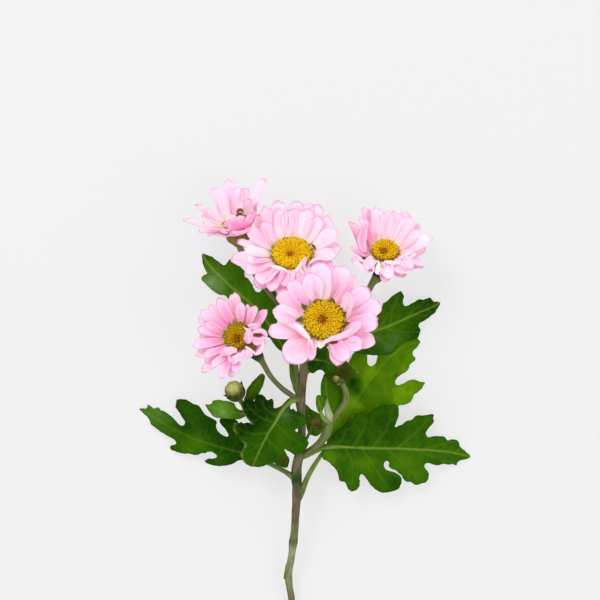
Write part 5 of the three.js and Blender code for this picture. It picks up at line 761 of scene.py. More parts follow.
def stem_look():
    m = Look("stem")
    ring = m.attr("ring", "Vector")
    green, dark = m.attr("green"), m.attr("dark")
    pale, burnt_and_shade, pith = m.split(m.attr("wear", "Vector"))
    streak = m.noise(m.scale(ring, (2.2, 2.2, 0.16)), 1.3, 5.0, 0.62)
    blotch = m.noise(m.scale(ring, (0.7, 0.7, 0.12)), 1.0, 2.0, 0.5)
    bark = m.steps(streak, (0.25, srgb(66, 53, 41)), (0.46, srgb(96, 82, 64)), (0.62, srgb(118, 103, 82)), (0.8, srgb(150, 140, 114)))
    skin = m.steps(streak, (0.25, srgb(70, 84, 28)), (0.46, srgb(98, 112, 50)), (0.64, srgb(124, 135, 74)), (0.82, srgb(158, 164, 110)))
    col = m.mix(m.plus(green, m.mul(m.plus(blotch, -0.5), 0.5), clamp=True), bark, skin)
    old = m.steps(streak, (0.25, srgb(128, 130, 92)), (0.5, srgb(168, 168, 132)), (0.8, srgb(206, 204, 176)))
    col = m.mix(pale, col, old)
    col = m.mix(dark, col, srgb(32, 64, 16))
    # near-black brown patches: the bark's own darker patches, and at the right head's stalk end partly painted shade
    # under the head
    col = m.mix(burnt_and_shade, col, m.steps(streak, (0.3, srgb(20, 14, 6)), (0.7, srgb(66, 46, 26))))
    col = m.mix(pith, col, srgb(206, 208, 160))
    grain = m.noise(m.place(), 1500.0, 4.0, 0.6)
    return m.done(col, m.fit(grain, 0.3, 0.7, 0.5, 0.72, smooth=False), m.bump(m.plus(m.mul(streak, 1.0), m.mul(grain, 0.3)), 0.0006, 0.6), specular=0.12, sheen=0.04)


def leaf_look():
    m = Look("leaf")
    vein, lat, edge = m.split(m.attr("veins", "Vector"))
    tone, side, stalk = m.attr("tone"), m.attr("side"), m.attr("stalk")
    painted_sheen, brown, pale = m.split(m.attr("wear", "Vector"))
    at = m.place()
    broad = m.noise(at, 70.0, 3.0, 0.55, 0.4)
    mid = m.noise(at, 260.0, 4.0, 0.6)
    net = m.cells(at, 620.0, "DISTANCE_TO_EDGE")
    mesh = m.fit(net, 0.02, 0.12, 1.0, 0.0)
    k = m.plus(m.plus(m.mul(tone, 0.5), 0.5), m.plus(m.mul(m.plus(broad, -0.5), 0.42), m.mul(m.plus(mid, -0.5), 0.24)))
    top = m.steps(k, (0.0, srgb(4, 40, 0)), (0.26, srgb(28, 74, 0)), (0.5, srgb(54, 100, 0)), (0.75, srgb(82, 130, 0)), (1.0, srgb(122, 168, 8)))
    top = m.mix(m.mul(mesh, 0.06), top, srgb(100, 142, 16))
    # painted reflection: grey-blue patches where the leaf's gloss catches the light, painted into its colour
    top = m.mix(m.mul(painted_sheen, m.fit(mid, 0.25, 0.75, 0.3, 0.75)), top, srgb(150, 172, 142))
    top = m.mix(m.mul(lat, 0.34), top, srgb(118, 156, 34))
    top = m.mix(m.mul(vein, 0.62), top, srgb(138, 166, 56))
    top = m.mix(m.mul(edge, 0.25), top, srgb(22, 56, 4))
    under = m.steps(k, (0.0, srgb(70, 104, 44)), (0.5, srgb(96, 130, 62)), (1.0, srgb(132, 158, 86)))
    under = m.mix(m.mul(mesh, 0.35), under, srgb(148, 170, 110))
    under = m.mix(m.plus(m.mul(vein, 0.9), m.mul(lat, 0.6), clamp=True), under, srgb(166, 182, 116))
    col = m.mix(side, top, under)
    # browner patches, on leaf_i partly painted shadow of the front head
    col = m.mix(m.mul(brown, m.fit(mid, 0.3, 0.6, 0.6, 1.0)), col, srgb(58, 46, 14))
    col = m.mix(m.mul(pale, m.fit(mid, 0.3, 0.6, 0.5, 1.0)), col, srgb(176, 180, 84))
    col = m.mix(stalk, col, m.steps(mid, (0.3, srgb(86, 112, 46)), (0.7, srgb(126, 149, 80))))
    wan = m.attr("wan")
    # paler stretches of petiole; leaf_j's is a painted highlight
    col = m.mix(m.op("MAXIMUM", wan, 0.0), col, srgb(188, 196, 158))
    col = m.mix(m.op("MAXIMUM", m.mul(wan, -1.0), 0.0), col, srgb(62, 66, 40))
    grain = m.noise(at, 1600.0, 4.0, 0.62)
    rough = m.plus(m.fit(broad, 0.3, 0.7, 0.42, 0.58, smooth=False), m.mul(m.plus(grain, -0.5), 0.2))
    height = m.plus(m.mul(mesh, -0.5), m.plus(m.mul(mid, 0.9), m.mul(grain, 0.3)))
    return m.done(col, rough, m.bump(height, 0.00035, 0.6), specular=0.03, sub=0.05, radius=(0.5, 1.0, 0.05), reach=0.0008)


def bud_look():
    m = Look("bud")
    s, t, r = m.split(m.attr("petal", "Vector"))
    brown = m.attr("brown")
    bright, deep, rust_at = m.split(m.attr("wear", "Vector"))
    at = m.place()
    lines = m.noise(m.join(m.mul(s, 4.0), m.mul(t, 0.9), m.mul(r, 19.0)), 1.6, 3.0, 0.6)
    col = m.steps(t, (0.0, srgb(96, 118, 36)), (0.5, srgb(136, 148, 56)), (0.85, srgb(162, 168, 76)), (1.0, srgb(128, 116, 50)))
    # painted highlight: the side of the bud that faces the light
    col = m.mix(m.mul(bright, 0.9), col, srgb(226, 232, 140))
    # darker along each bract's sides: partly their own colour, partly painted shade in the gaps between bracts
    col = m.mix(m.fit(m.op("ABSOLUTE", s), 0.6, 0.98, 0.0, 0.8), col, srgb(84, 94, 26))
    col = m.mix(m.fit(lines, 0.45, 0.7, 0.0, 0.45), col, srgb(96, 112, 40))
    # deep green: painted shade on the bud's shaded side, and the loose outer bracts' own dark green
    col = m.mix(m.op("MINIMUM", deep, 0.9), col, srgb(42, 56, 14))
    rust = m.steps(lines, (0.3, srgb(44, 30, 8)), (0.55, srgb(78, 58, 20)), (0.8, srgb(114, 90, 38)))
    col = m.mix(m.plus(brown, rust_at, clamp=True), col, rust)
    # the same painted shade on the withered bud
    col = m.mix(m.mul(deep, brown), col, srgb(40, 52, 14))
    grain = m.noise(at, 2400.0, 3.0, 0.6)
    return m.done(col, m.fit(grain, 0.3, 0.7, 0.5, 0.7, smooth=False), m.bump(m.plus(lines, m.mul(grain, 0.4)), 0.0003, 0.6), specular=0.1, sub=0.05, reach=0.0006)


# ---- flower heads ---------------------------------------------------------------------------


def head_frame(h):
    n = unit(h["n"])
    e1 = unit(np.array([1.0, 0, 0]) - n * n[0])
    return plan(h["c"][0], h["c"][1], h["z"]), n, e1, np.cross(n, e1)


WIDTH = spline([[0, 0.36], [0.1, 0.45], [0.25, 0.68], [0.45, 0.91], [0.65, 1.0], [0.82, 1.0], [1.0, 0.92]], 10)


class Petal:
    """The centre line of a petal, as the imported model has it."""

    def __init__(self, h, f, p):
        c, n, e1, e2 = f
        bu, bv, tu, tv, self.width, long, layer, rise, curl, roll, self.cup, self.tone = p[:12]
        if bv == 999:
            phi = math.radians(bu)
        else:
            d = plan(bu, bv, h["z"]) - c
            det = e1[0] * e2[1] - e1[1] * e2[0]
            phi = math.atan2((e1[0] * d[1] - e1[1] * d[0]) / det, (d[0] * e2[1] - d[1] * e2[0]) / det)
        r = e1 * math.cos(phi) + e2 * math.sin(phi)
        self.phi, self.n = phi, n
        base = c + r * h["rd"] * 0.84 + n * (-1.9 if layer else -3.3)
        z = np.arange(0.6, 92, 0.1)
        d = plan(tu, tv, z) - base
        l = np.linalg.norm(d, axis=1)
        a = np.degrees(np.arcsin(np.clip(d @ n / l, -1, 1)))
        tip = base + d[np.argmin(((a - rise) / 6) ** 2 + ((l - long - 0.16 * h["rd"]) / 1.2) ** 2)]
        L = np.linalg.norm(tip - base)
        chord, a0 = (tip - base) / L, math.radians(p[12] if len(p) > 12 else 26 if layer else 7)
        self.tau = np.cross(n, r)
        start = unit(r * math.cos(a0) + n * math.sin(a0))
        up = self.across(chord)[1]
        end = unit(chord * math.cos(math.radians(curl)) + up * math.sin(math.radians(curl)))
        self.q = np.array([base, base + start * L * 0.33, tip - end * L * 0.33, tip])
        self.roll, self.length, self.layer = math.radians(roll), L, layer

    def across(self, t):
        s = unit(self.tau - t * (t @ self.tau)[..., None])
        return s, np.cross(t, s)

    def at(self, t):
        t = np.asarray(t, float)[..., None]
        q = self.q
        p = q[0] * (1 - t) ** 3 + q[1] * 3 * t * (1 - t) ** 2 + q[2] * 3 * t * t * (1 - t) + q[3] * t**3
        d = (q[1] - q[0]) * 3 * (1 - t) ** 2 + (q[2] - q[1]) * 6 * t * (1 - t) + (q[3] - q[2]) * 3 * t * t
        return p, unit(d)


def petal(shape, p, rng, ring):
    R, C = 25, 17
    s = np.sin(np.linspace(-1, 1, C) * math.pi / 2 * 0.98)
    s = s / s[-1]
    blunt = np.clip(0.5 * p.width / p.length * rng.uniform(0.95, 1.25), 0.12, 0.45)
    q = rng.uniform(*POINTED.get(ring, (1.7, 2.3)))
    end = 1 - blunt * (1 - (1 - np.abs(s) ** q) ** (1 / q))
    for at in (0.32 + rng.uniform(-0.1, 0.1), -0.32 + rng.uniform(-0.1, 0.1)):
        end = end - rng.uniform(0.0, 0.035) * bell(s - at, 0.11)
    end = end + 0.015 * np.sin(s * rng.uniform(4, 8) + rng.uniform(0, 6)) * (1 - s * s)
    even = np.linspace(0, 1, R)[:, None] ** 0.92
    t = even * end[None, :]
    S = np.broadcast_to(s, t.shape)
    c, d = p.at(t)
    s0, u0 = p.across(d)
    ro = p.roll * np.minimum(1, t / 0.6)[..., None]
    s1 = s0 * np.cos(ro) + u0 * np.sin(ro)
    u1 = u0 * np.cos(ro) - s0 * np.sin(ro)
    hw = 0.5 * p.width * np.interp(t, WIDTH[:, 0], WIDTH[:, 1])
    sway = rng.uniform(-0.05, 0.05) * p.width * np.sin(t * math.pi)
    lean = rng.uniform(-0.25, 0.25)
    x = S * hw * (1 + 0.035 * np.sin(t * rng.uniform(9, 15) + rng.uniform(0, 6)) * S) + sway
    wave = Waves(rng, 7.0)
    crease = 0.3 + rng.uniform(-0.06, 0.06)
    deep = rng.uniform(0.16, 0.3) * min(1.2, p.width / 7)
    bend = 1.9 * p.cup * np.minimum(1, 0.35 + t / 0.4)
    bend = bend * (1 + lean * S) + 1e-3
    x = x - S * hw + hw * np.sin(bend * S) / bend
    y = hw * (1 - np.cos(bend * S)) / bend - 0.3 * p.cup * hw
    y = y - deep * (bell(S - crease, 0.12) + bell(S + crease, 0.12)) * ramp(t, 0.04, 0.3) * (1 - 0.45 * t)
    y = y + 0.12 * bell(S, 0.16) * ramp(t, 0.05, 0.3)
    for at in (0.0, 0.62, -0.62):
        at = at + rng.uniform(-0.06, 0.06)
        y = y - 0.10 * bell(S - at, 0.07) * ramp(t, 0.1, 0.4) * (1 - 0.6 * t)
    y = y + rng.uniform(0.15, 0.4) * np.abs(S) ** 3 * np.sin(t * rng.uniform(7, 13) + rng.uniform(0, 6) + (S > 0) * 2) * t
    y = y + rng.uniform(-0.5, 0.5) * ramp(t, 0.72, 1.0) ** 2
    y = y + 0.16 * wave(np.stack([x, t * p.length], -1)) * t
    mid = c + s1 * x[..., None] + u1 * y[..., None]
    thick = 0.36 * (1 - 0.62 * np.abs(S) ** 4) * (1 - 0.35 * t**3)
    r = rng.uniform()
    tone = p.tone + HUES[ring] + patches(PINKS_AND_SHADE[ring], np.stack(seen(mid.reshape(-1, 3)), 1)).reshape(t.shape)
    sheet(shape, mid, thick, petal=np.stack(np.broadcast_arrays(S, t, r), -1), tone=tone, throat=THROATS.get(ring, 0.0), plain=PLAIN[ring], rim=np.maximum(np.abs(S), even))


def fold(shape, f, rows, bend, tone, rng, foot=0.3, tip=0.8, **values):
    """A rolled or folded stretch of petal. Rows are [u, v, height over the head's plane, width, twist in degrees]."""
    c, n = f[0], f[1]
    line = spline(rows, 7)
    low, high = plan(line[:, 0], line[:, 1], 0.0), plan(line[:, 0], line[:, 1], 1.0)
    a = (low - c) @ n
    z = (line[:, 2] - a) / ((high - c) @ n - a)
    p = plan(line[:, 0], line[:, 1], z)
    d = unit(np.gradient(p, axis=0))
    s0 = unit(np.cross(n, d))
    u0 = np.cross(d, s0)
    ro = np.radians(line[:, 4])[:, None, None]
    s1 = s0[:, None] * np.cos(ro) + u0[:, None] * np.sin(ro)
    u1 = u0[:, None] * np.cos(ro) - s0[:, None] * np.sin(ro)
    C = 13
    S = np.sin(np.linspace(-1, 1, C) * math.pi / 2)[None, :]
    T = np.linspace(0, 1, len(line))[:, None]
    hw = 0.5 * line[:, 3:4] * (1 + 0.06 * np.sin(T * rng.uniform(8, 14) + rng.uniform(0, 6)) * S)
    x = hw * np.sin(bend * S) / bend
    y = hw * (1 - np.cos(bend * S)) / bend + 0.1 * Waves(rng, 1.3)(np.stack(np.broadcast_arrays(S, T * 3), -1))
    mid = p[:, None] + s1 * x[..., None] + u1 * y[..., None]
    thick = 0.32 * (1 - 0.5 * np.abs(S) ** 4) * np.ones_like(T)
    sheet(shape, mid, thick, petal=np.stack(np.broadcast_arrays(S, foot + (tip - foot) * T, rng.uniform()), -1), tone=tone, rim=np.maximum(np.abs(S), np.abs(2 * T - 1)) * 0.93, **values)


# how pointed the petals' tips are: low is pointed, high is blunt
POINTED = dict(front_head=(1.8, 2.4), centre_head=(1.5, 2.1), right_head=(1.2, 1.9), left_head=(1.15, 1.8), rear_head=(1.5, 2.1))
# how much further up the petals the olive at their feet goes
THROATS = dict(front_head=0.035, centre_head=0.015, right_head=0.02, left_head=0.09, rear_head=0.03)
# how much fainter the line around each head's petals is
PLAIN = dict(front_head=0.0, centre_head=0.25, right_head=0.7, left_head=0.2, rear_head=0.3)
# how much deeper a pink each head's petals are
HUES = dict(front_head=0.36, centre_head=-0.1, right_head=-0.12, left_head=0.7, rear_head=-0.1)
# where the petals are pinker or whiter, partly their own colour and partly painted shade, a deeper pink in troughs and
# on petals that lie in shade: [place in the plan, how far it reaches, how much]
PINKS_AND_SHADE = dict(
    front_head=[[283, 291, 10, 0.35], [346, 286, 9, 0.25], [332, 356, 9, 0.5], [309, 350, 5, 0.3], [346, 300, 10, -0.25], [368, 340, 8, 0.15], [318, 280, 12, -0.15], [292, 347, 9, -0.1], [362, 330, 8, 0.35], [288, 310, 9, 0.15]],
    centre_head=[[256, 219, 5, 0.3], [262, 272, 12, 0.5], [284, 279, 10, 0.5], [262, 230, 9, 0.35], [250, 252, 9, -0.45], [246, 262, 8, -0.2], [318, 262, 9, 0.35], [326, 240, 9, 0.15], [290, 220, 14, -0.1], [307, 205, 9, 0.15]],
    right_head=[[360, 246, 9, 0.85], [364, 232, 8, 0.55], [374, 236, 5, 0.8], [368, 226, 6, 0.5], [386, 236, 5, 0.3], [386, 215, 8, 0.2], [405, 232, 9, 0.25], [424, 236, 6, -0.7], [414, 266, 8, 0.3], [392, 263, 5, -0.3], [357, 222, 6, 0.3], [366, 264, 6, 0.2]],
    left_head=[[222, 312, 8, 0.25], [214, 336, 8, 0.2], [212, 356, 9, 0.2], [228, 362, 7, 0.3], [228, 300, 8, -0.35], [250, 306, 8, -0.4], [236, 296, 6, -0.3], [202, 322, 6, -0.1]],
    rear_head=[[241, 226, 8, 0.9], [226, 232, 7, 0.5], [246, 191, 5, 0.7], [236, 201, 6, 0.4], [217, 210, 7, 0.25], [206, 226, 6, -0.3], [264, 190, 9, -0.2], [240, 199, 2.4, 1.2], [248, 206, 5, 0.35], [251, 201, 2.4, 1.2], [257, 208, 3.2, 1.5], [246, 192, 3.0, 1.0], [232, 221, 5, 0.5]],
)

# rolled edges, folded tips and torn bits of petal that curl over a disc's rim: [rows, bend, tone, foot, tip];
# one with a foot below 0 is a green bit of the cup that shows between the petals, and its tone is how brown it is
FOLDS = dict(
    front_head=[
        [[[310, 338.4, 0.8, 1.6, 0], [305.5, 334.6, 1.3, 3.0, -16], [300.5, 329.8, 1.6, 3.8, -18], [294.5, 325.2, 1.5, 3.0, -12], [288, 322.2, 0.9, 1.2, 0]], -1.0, -0.6, 0.22, 0.5],
        [[[321.5, 344.4, 0.4, 1.2, 0], [326, 340.8, 1.2, 2.4, 8], [331, 338.2, 1.9, 3.0, 14], [338, 337.2, 2.3, 3.3, 14], [346, 334.0, 2.8, 3.6, 10], [354, 328.8, 3.2, 3.4, 6], [361.5, 323, 2.4, 1.2, 0]], -1.05, 0.3, 0.3, 0.75],
        [[[328, 341.8, -0.4, 0.8, 0], [331.5, 342.0, -0.2, 2.2, 0], [336.0, 342.2, -0.2, 1.4, 0], [341, 342.0, -0.4, 0.6, 0]], 0.7, 1.0, -0.3, -0.2],
        [[[323.5, 340.4, -0.8, 3.0, 0], [320.4, 343.4, -0.5, 4.6, 0], [317.6, 346.0, -0.8, 3.4, 0]], 0.5, -0.3, 0.10, 0.24],
        [[[309, 339.6, 0.6, 1.6, 0], [310.6, 343.0, 0.9, 2.4, 10], [311.2, 347, 0.8, 2.2, 10], [310.6, 350.4, 0.4, 1.0, 0]], -0.8, -0.3, 0.3, 0.6],
        [[[346, 340.6, 0.8, 0.8, 0], [352, 341.8, 1.4, 1.6, 0], [357.5, 344.6, 1.4, 1.5, 0], [358.6, 349.4, 0.6, 0.7, 0]], -0.8, 0.55, 0.5, 0.8],
        [[[301.4, 303.4, 0.3, 0.3, 0], [303.4, 306.2, 0.6, 1.7, 0], [306.4, 308.4, 0.4, 2.4, 0]], 0.4, 0.0, -0.06, 0.02],
        [[[295.6, 320.4, 0.2, 0.3, 0], [299.0, 319.8, 0.5, 1.8, 0], [302.8, 319.0, 0.3, 2.4, 0]], 0.4, 0.0, -0.06, 0.02],
        [[[312.6, 302.4, 0.3, 0.4, 0], [317.0, 301.0, 0.5, 1.7, 0], [322.0, 300.6, 0.3, 0.4, 0]], 0.4, 0.0, -0.06, 0.02],
        [[[331.4, 297.4, 0.3, 0.3, 0], [332.2, 300.2, 0.6, 1.8, 0], [332.8, 303.2, 0.4, 2.6, 0]], 0.4, 0.0, -0.06, 0.02],
        [[[346.6, 312.0, 0.3, 0.3, 0], [343.8, 313.6, 0.5, 1.6, 0], [341.4, 315.4, 0.3, 1.8, 0]], 0.4, 0.0, -0.06, 0.02],
        [[[349.0, 322.6, 0.3, 0.3, 0], [346.0, 323.6, 0.5, 1.6, 0], [343.4, 324.6, 0.3, 1.8, 0]], 0.4, 0.0, -0.06, 0.02],
    ],
    centre_head=[
        [[[262.5, 265.2, 1.0, 0.8, 0], [268, 266.4, 1.8, 1.7, 20], [275, 266.9, 2.4, 2.2, 26], [281.5, 268.8, 2.6, 2.2, 24], [287, 271.6, 2.4, 1.8, 20], [291, 272.8, 1.8, 0.8, 10]], -0.9, -0.35, 0.35, 0.7],
        [[[290, 273.0, 1.6, 0.8, 0], [294.5, 272.0, 2.4, 1.9, 14], [298.2, 268.4, 3.2, 2.2, 10], [301.2, 264.0, 4.0, 2.0, 0], [303.2, 260.2, 4.6, 1.3, 0], [305.4, 257.0, 5.0, 0.3, 0]], -0.8, -0.6, 0.5, 0.22],
        [[[303.4, 264.6, 3.0, 0.7, 0], [304.8, 268.2, 2.8, 1.4, 0], [307.4, 271.8, 2.0, 0.7, 0]], -0.8, -0.5, 0.35, 0.6],
        [[[307.6, 266.4, 2.6, 0.8, 0], [310.8, 261.8, 3.0, 1.5, 0], [315.4, 258.8, 3.0, 1.9, 0], [321, 258.2, 2.6, 1.6, 0], [326, 260.6, 2.0, 0.7, 0]], -0.9, -0.35, 0.4, 0.7],
        [[[273.6, 281.2, 0.2, 1.8, 0], [277.2, 282.2, 0.9, 2.8, 0], [280.2, 283.8, 0.4, 1.4, 0]], -1.1, -1.0, 0.6, 0.8],
        [[[279.6, 286.6, 0.0, 1.4, 0], [283.2, 285.4, 0.6, 2.2, 0], [286.4, 284.6, 0.2, 1.0, 0]], -1.1, -1.0, 0.6, 0.8],
        [[[283.4, 272.8, 1.6, 1.4, 0], [288.4, 276.0, 1.6, 2.8, 0], [294.8, 278.4, 1.2, 2.8, 0], [301.2, 277.2, 0.8, 1.4, 0]], -0.8, 0.35, 0.5, 0.8],
        [[[268.8, 270.4, 0.8, 1.0, 0], [264.4, 275.0, 1.0, 2.2, 0], [262.6, 281.2, 0.6, 2.4, 0], [265.4, 286.6, 0.0, 1.2, 0]], -0.9, 0.6, 0.4, 0.8],
        [[[311.8, 244.2, 0.4, 0.4, 0], [314.0, 246.6, 0.6, 1.2, 0], [315.2, 249.6, 0.4, 0.4, 0]], 0.4, 0.0, -0.06, 0.02],
    ],
    right_head=[
        [[[351.4, 246.8, 0.6, 0.8, 0], [355.0, 252.4, 1.4, 1.5, 10], [359.6, 258.2, 2.0, 1.8, 14], [364, 262.0, 2.0, 1.0, 0]], -0.9, -0.3, 0.7, 0.4],
        [[[370.4, 259.4, 2.0, 0.4, 0], [371.8, 262.8, 2.2, 1.7, 0], [373.2, 266.6, 1.8, 1.9, 0], [373.8, 270.4, 1.0, 0.8, 0]], -0.8, -0.3, 0.4, 0.6],
        [[[378.8, 261.2, 2.8, 0.3, 0], [378.8, 264.8, 2.8, 1.7, 0], [378.0, 269.4, 2.2, 2.4, 0], [376.4, 273.8, 1.2, 1.1, 0]], -0.8, -0.8, 0.35, 0.6],
        [[[384.2, 261.2, 2.6, 0.7, 0], [388.4, 261.6, 3.0, 2.2, 10], [393.4, 262.4, 2.8, 2.5, 10], [399.4, 262.6, 2.2, 1.2, 0]], -0.9, -0.45, 0.4, 0.7],
        [[[397.6, 258.8, 2.2, 0.8, 0], [403.4, 255.8, 2.6, 1.4, 0], [409.6, 252.6, 2.6, 1.4, 0], [416.4, 249.0, 2.0, 0.6, 0]], -0.9, -0.3, 0.3, 0.7],
        [[[362.4, 257.4, -0.2, 1.2, 0], [366.2, 258.6, 0.1, 2.3, 0], [370.0, 258.8, -0.2, 1.3, 0]], 0.6, 0.9, -0.3, -0.1],
        [[[379.8, 262.6, 1.6, 0.6, 0], [381.8, 265.8, 1.6, 1.3, 0], [383.0, 269.6, 1.2, 0.7, 0]], 0.6, 0.0, 0.03, 0.06],
        [[[376.6, 262.8, 1.4, 0.6, 0], [375.4, 266.0, 1.4, 1.2, 0], [375.0, 269.4, 1.0, 0.6, 0]], 0.6, 0.0, 0.03, 0.06],
        [[[366.6, 226.0, 3.2, 1.4, 0], [363.0, 234.0, 2.8, 4.0, -12], [361.6, 243.0, 2.2, 4.6, -12], [364.6, 252.0, 1.2, 2.2, 0]], 0.7, 0.9, 0.55, 0.3],
        [[[355.4, 256.0, 0.6, 1.4, 0], [357.6, 261.6, 1.0, 3.4, 0], [362.6, 267.4, 0.8, 4.0, 0], [368.6, 271.2, 0.2, 1.6, 0]], -0.8, 0.2, 0.5, 0.8],
        [[[391.0, 266.4, 1.4, 1.4, 0], [397.0, 269.4, 1.8, 3.2, 0], [405.0, 270.6, 1.4, 3.6, 0], [413.0, 268.6, 0.8, 1.2, 0]], -0.8, 0.1, 0.5, 0.8],
        [[[402.0, 258.0, 1.8, 1.2, 0], [410.0, 259.0, 2.0, 3.0, 0], [418.6, 262.4, 1.6, 3.0, 0], [424.4, 265.8, 0.8, 0.5, 0]], -0.8, 0.2, 0.5, 0.85],
    ],
    left_head=[
        [[[248.6, 330.4, 3.4, 1.2, 0], [246.0, 329.0, 3.4, 1.0, 0], [243.4, 326.8, 3.2, 0.2, 0]], -0.7, -0.5, 0.15, 0.08],
        [[[246.8, 328.8, 2.6, 1.8, 0], [247.2, 331.4, 3.9, 4.2, 0], [247.6, 335.6, 4.5, 5.2, 0], [248.0, 340.2, 3.9, 4.4, 0], [248.4, 343.4, 2.6, 1.8, 0]], -0.95, 0.85, 0.45, 0.7],
        [[[252, 332.6, 2.6, 1.2, 0], [256.4, 330.9, 3.6, 2.2, 0], [261, 330.6, 3.8, 2.4, 0], [264.8, 333.0, 3.4, 2.4, 0], [266.2, 336.6, 2.6, 1.4, 0]], -1.1, 0.3, 0.5, 0.8],
        [[[251, 337.0, 2.6, 1.2, 0], [256, 339.2, 3.4, 2.2, 0], [261, 339.2, 3.4, 2.2, 0], [265, 337.8, 2.8, 1.4, 0]], -1.1, 0.6, 0.5, 0.8],
        [[[253.2, 334.4, 1.8, 0.6, 0], [257.6, 335.2, 1.8, 1.4, 0], [262, 335.2, 1.8, 0.8, 0]], 0.6, 1.0, -0.3, -0.1],
        [[[248, 325.6, 2.4, 1.2, 0], [252.8, 324.6, 3.0, 1.6, 0], [258, 325.4, 2.6, 1.0, 0]], -1.1, 0.0, 0.5, 0.7],
        [[[249, 329.0, 1.8, 1.4, 0], [255, 327.4, 2.6, 2.4, 0], [261.0, 327.4, 2.2, 1.8, 0]], -0.9, 0.75, 0.5, 0.7],
        [[[252.4, 340.8, 2.2, 2.0, 0], [257, 342.0, 3.0, 3.2, 0], [262, 341.2, 2.8, 2.4, 0]], -0.8, 0.6, 0.4, 0.8],
        [[[246.2, 343.4, 1.0, 2.0, 0], [251.0, 346.0, 1.0, 3.2, 0], [256.0, 348.6, 1.0, 2.2, 0]], 0.6, 0.7, -0.3, -0.1],
        [[[262.2, 339.4, 2.6, 1.2, 0], [263.0, 343.4, 3.2, 2.2, 0], [261.6, 348.4, 3.0, 2.8, 0], [257.6, 352.6, 2.6, 2.4, 0], [254.2, 354.8, 2.0, 0.8, 0]], -1.0, 0.1, 0.5, 0.8],
        [[[245.2, 346.2, 2.4, 0.5, 0], [249, 349.0, 2.8, 1.4, 0], [253, 352, 2.6, 1.2, 0], [256.4, 354.8, 2.0, 0.4, 0]], -1.0, -0.6, 0.5, 0.8],
        [[[237, 350.0, 1.8, 2.6, 0], [231, 350.0, 3.0, 4.4, 0], [225.0, 351.4, 3.2, 4.8, 0], [220.2, 353.8, 2.2, 2.6, 0]], -0.9, 0.25, 0.4, 0.8],
        [[[239.6, 353.0, 1.8, 2.4, 0], [236.2, 357.4, 3.0, 4.4, 0], [231.2, 362.0, 2.6, 3.4, 0]], -0.9, 0.05, 0.4, 0.7],
        [[[244.0, 350.0, 2.0, 2.4, 0], [242.0, 355.2, 3.2, 4.2, 0], [238.4, 360.8, 2.6, 3.0, 0]], -0.9, 0.3, 0.4, 0.7],
        [[[248.4, 348.6, 2.0, 2.0, 0], [247.4, 353.0, 3.0, 3.8, 0], [244.6, 358.2, 2.4, 2.6, 0]], -0.9, 0.2, 0.4, 0.7],
    ],
    rear_head=[
        [[[222.4, 223.6, 3.0, 0.8, 0], [226.4, 218.6, 6.6, 1.3, 0], [231.4, 215.6, 8.8, 1.2, 0], [236.4, 216.2, 9.0, 0.8, 0]], -0.9, -0.5, 0.2, 0.4],
        [[[239.6, 208.6, 4.2, 1.0, 0], [239.8, 211.0, 4.5, 3.0, 0], [240.2, 213.8, 4.3, 3.5, 0], [240.4, 216.8, 3.5, 2.0, 0]], 0.9, 0.9, -0.12, 0.0],
        [[[237.6, 212.8, 4.9, 0.4, 0], [240.2, 212.2, 5.2, 1.3, 0], [243.0, 213.8, 4.9, 0.5, 0]], 0.5, 1.3, 0.03, 0.05],
        [[[249.6, 223.0, 5.0, 1.6, 0], [251.6, 218.0, 6.6, 2.4, 0], [256.2, 213.4, 7.0, 1.4, 0]], 0.8, 1.3, 0.25, 0.35],
        [[[220.6, 229.4, 2.2, 1.2, 0], [223.6, 231.4, 2.8, 1.8, 0], [227.4, 233.0, 2.4, 1.0, 0]], -0.9, 0.7, 0.4, 0.6],
        [[[221.6, 224.8, 4.6, 0.4, 0], [223.8, 222.4, 5.0, 1.1, 0], [226.0, 220.0, 4.8, 0.4, 0]], 0.5, 1.2, 0.0, 0.04],
        [[[226.4, 229.2, -0.8, 1.0, 0], [230.4, 230.8, -0.7, 2.8, 0], [236.2, 231.6, -0.7, 3.4, 0], [242.0, 231.0, -0.7, 3.2, 0], [246.8, 229.0, -0.7, 2.8, 0], [250.6, 225.8, -0.8, 1.0, 0]], -0.6, 0.6, 0.45, 0.6],
    ],
)


def whorl(name, h, f, layer, look):
    rows = [p for p in h["petals"] if p[6] == layer]
    folds = [x for x in FOLDS[name] if x[3] >= 0] if layer else []
    shape = Shape(2 * len(rows) + 2 * len(folds) + 1)
    R = h["rd"]
    lo, hi = (-2.3, -1.5) if layer else (-3.7, -2.9)
    prof = [[0, lo], [R * 0.5, lo], [R * 0.84, lo], [R * 0.87, (lo + hi) / 2], [R * 0.84, hi], [R * 0.5, hi], [0, hi]]
    lathe(shape, f[0], f[1], prof, 36, tone=0.0, side=0.0, petal=np.tile([0.0, -0.3, 0.5], (36 * 5 + 2, 1)))
    for i, row in enumerate(rows):
        petal(shape, Petal(h, f, row), seed(name, layer, i), name)
    for i, (points, bend, tone, foot, tip) in enumerate(folds):
        fold(shape, f, points, bend, tone, seed(name, "fold", i), foot, tip)
    node = f"{name}_{'inner' if layer else 'outer'}_petals"
    return shape.finish(node + "_fine", look, "pink_petals", node)


# the withered florets in the middle of each disc: where they are in the plan, and how far they reach
EYES = dict(front_head=(322.6, 319, 6.4), centre_head=(289.6, 253.6, 5.2), right_head=(383.2, 250.8, 6.2), left_head=(236.8, 338, 6.4), rear_head=(240, 214, 9.0))
# painted shade: each head's disc darkened by its own amount, for how much light reaches that head (1 leaves it as it
# is)
DISC_SHADE = dict(front_head=0.84, centre_head=1.0, right_head=0.92, left_head=0.8, rear_head=0.6)


# how much fainter the brown of the unopened florets is
FAINT = dict(right_head=0.16, centre_head=0.12)


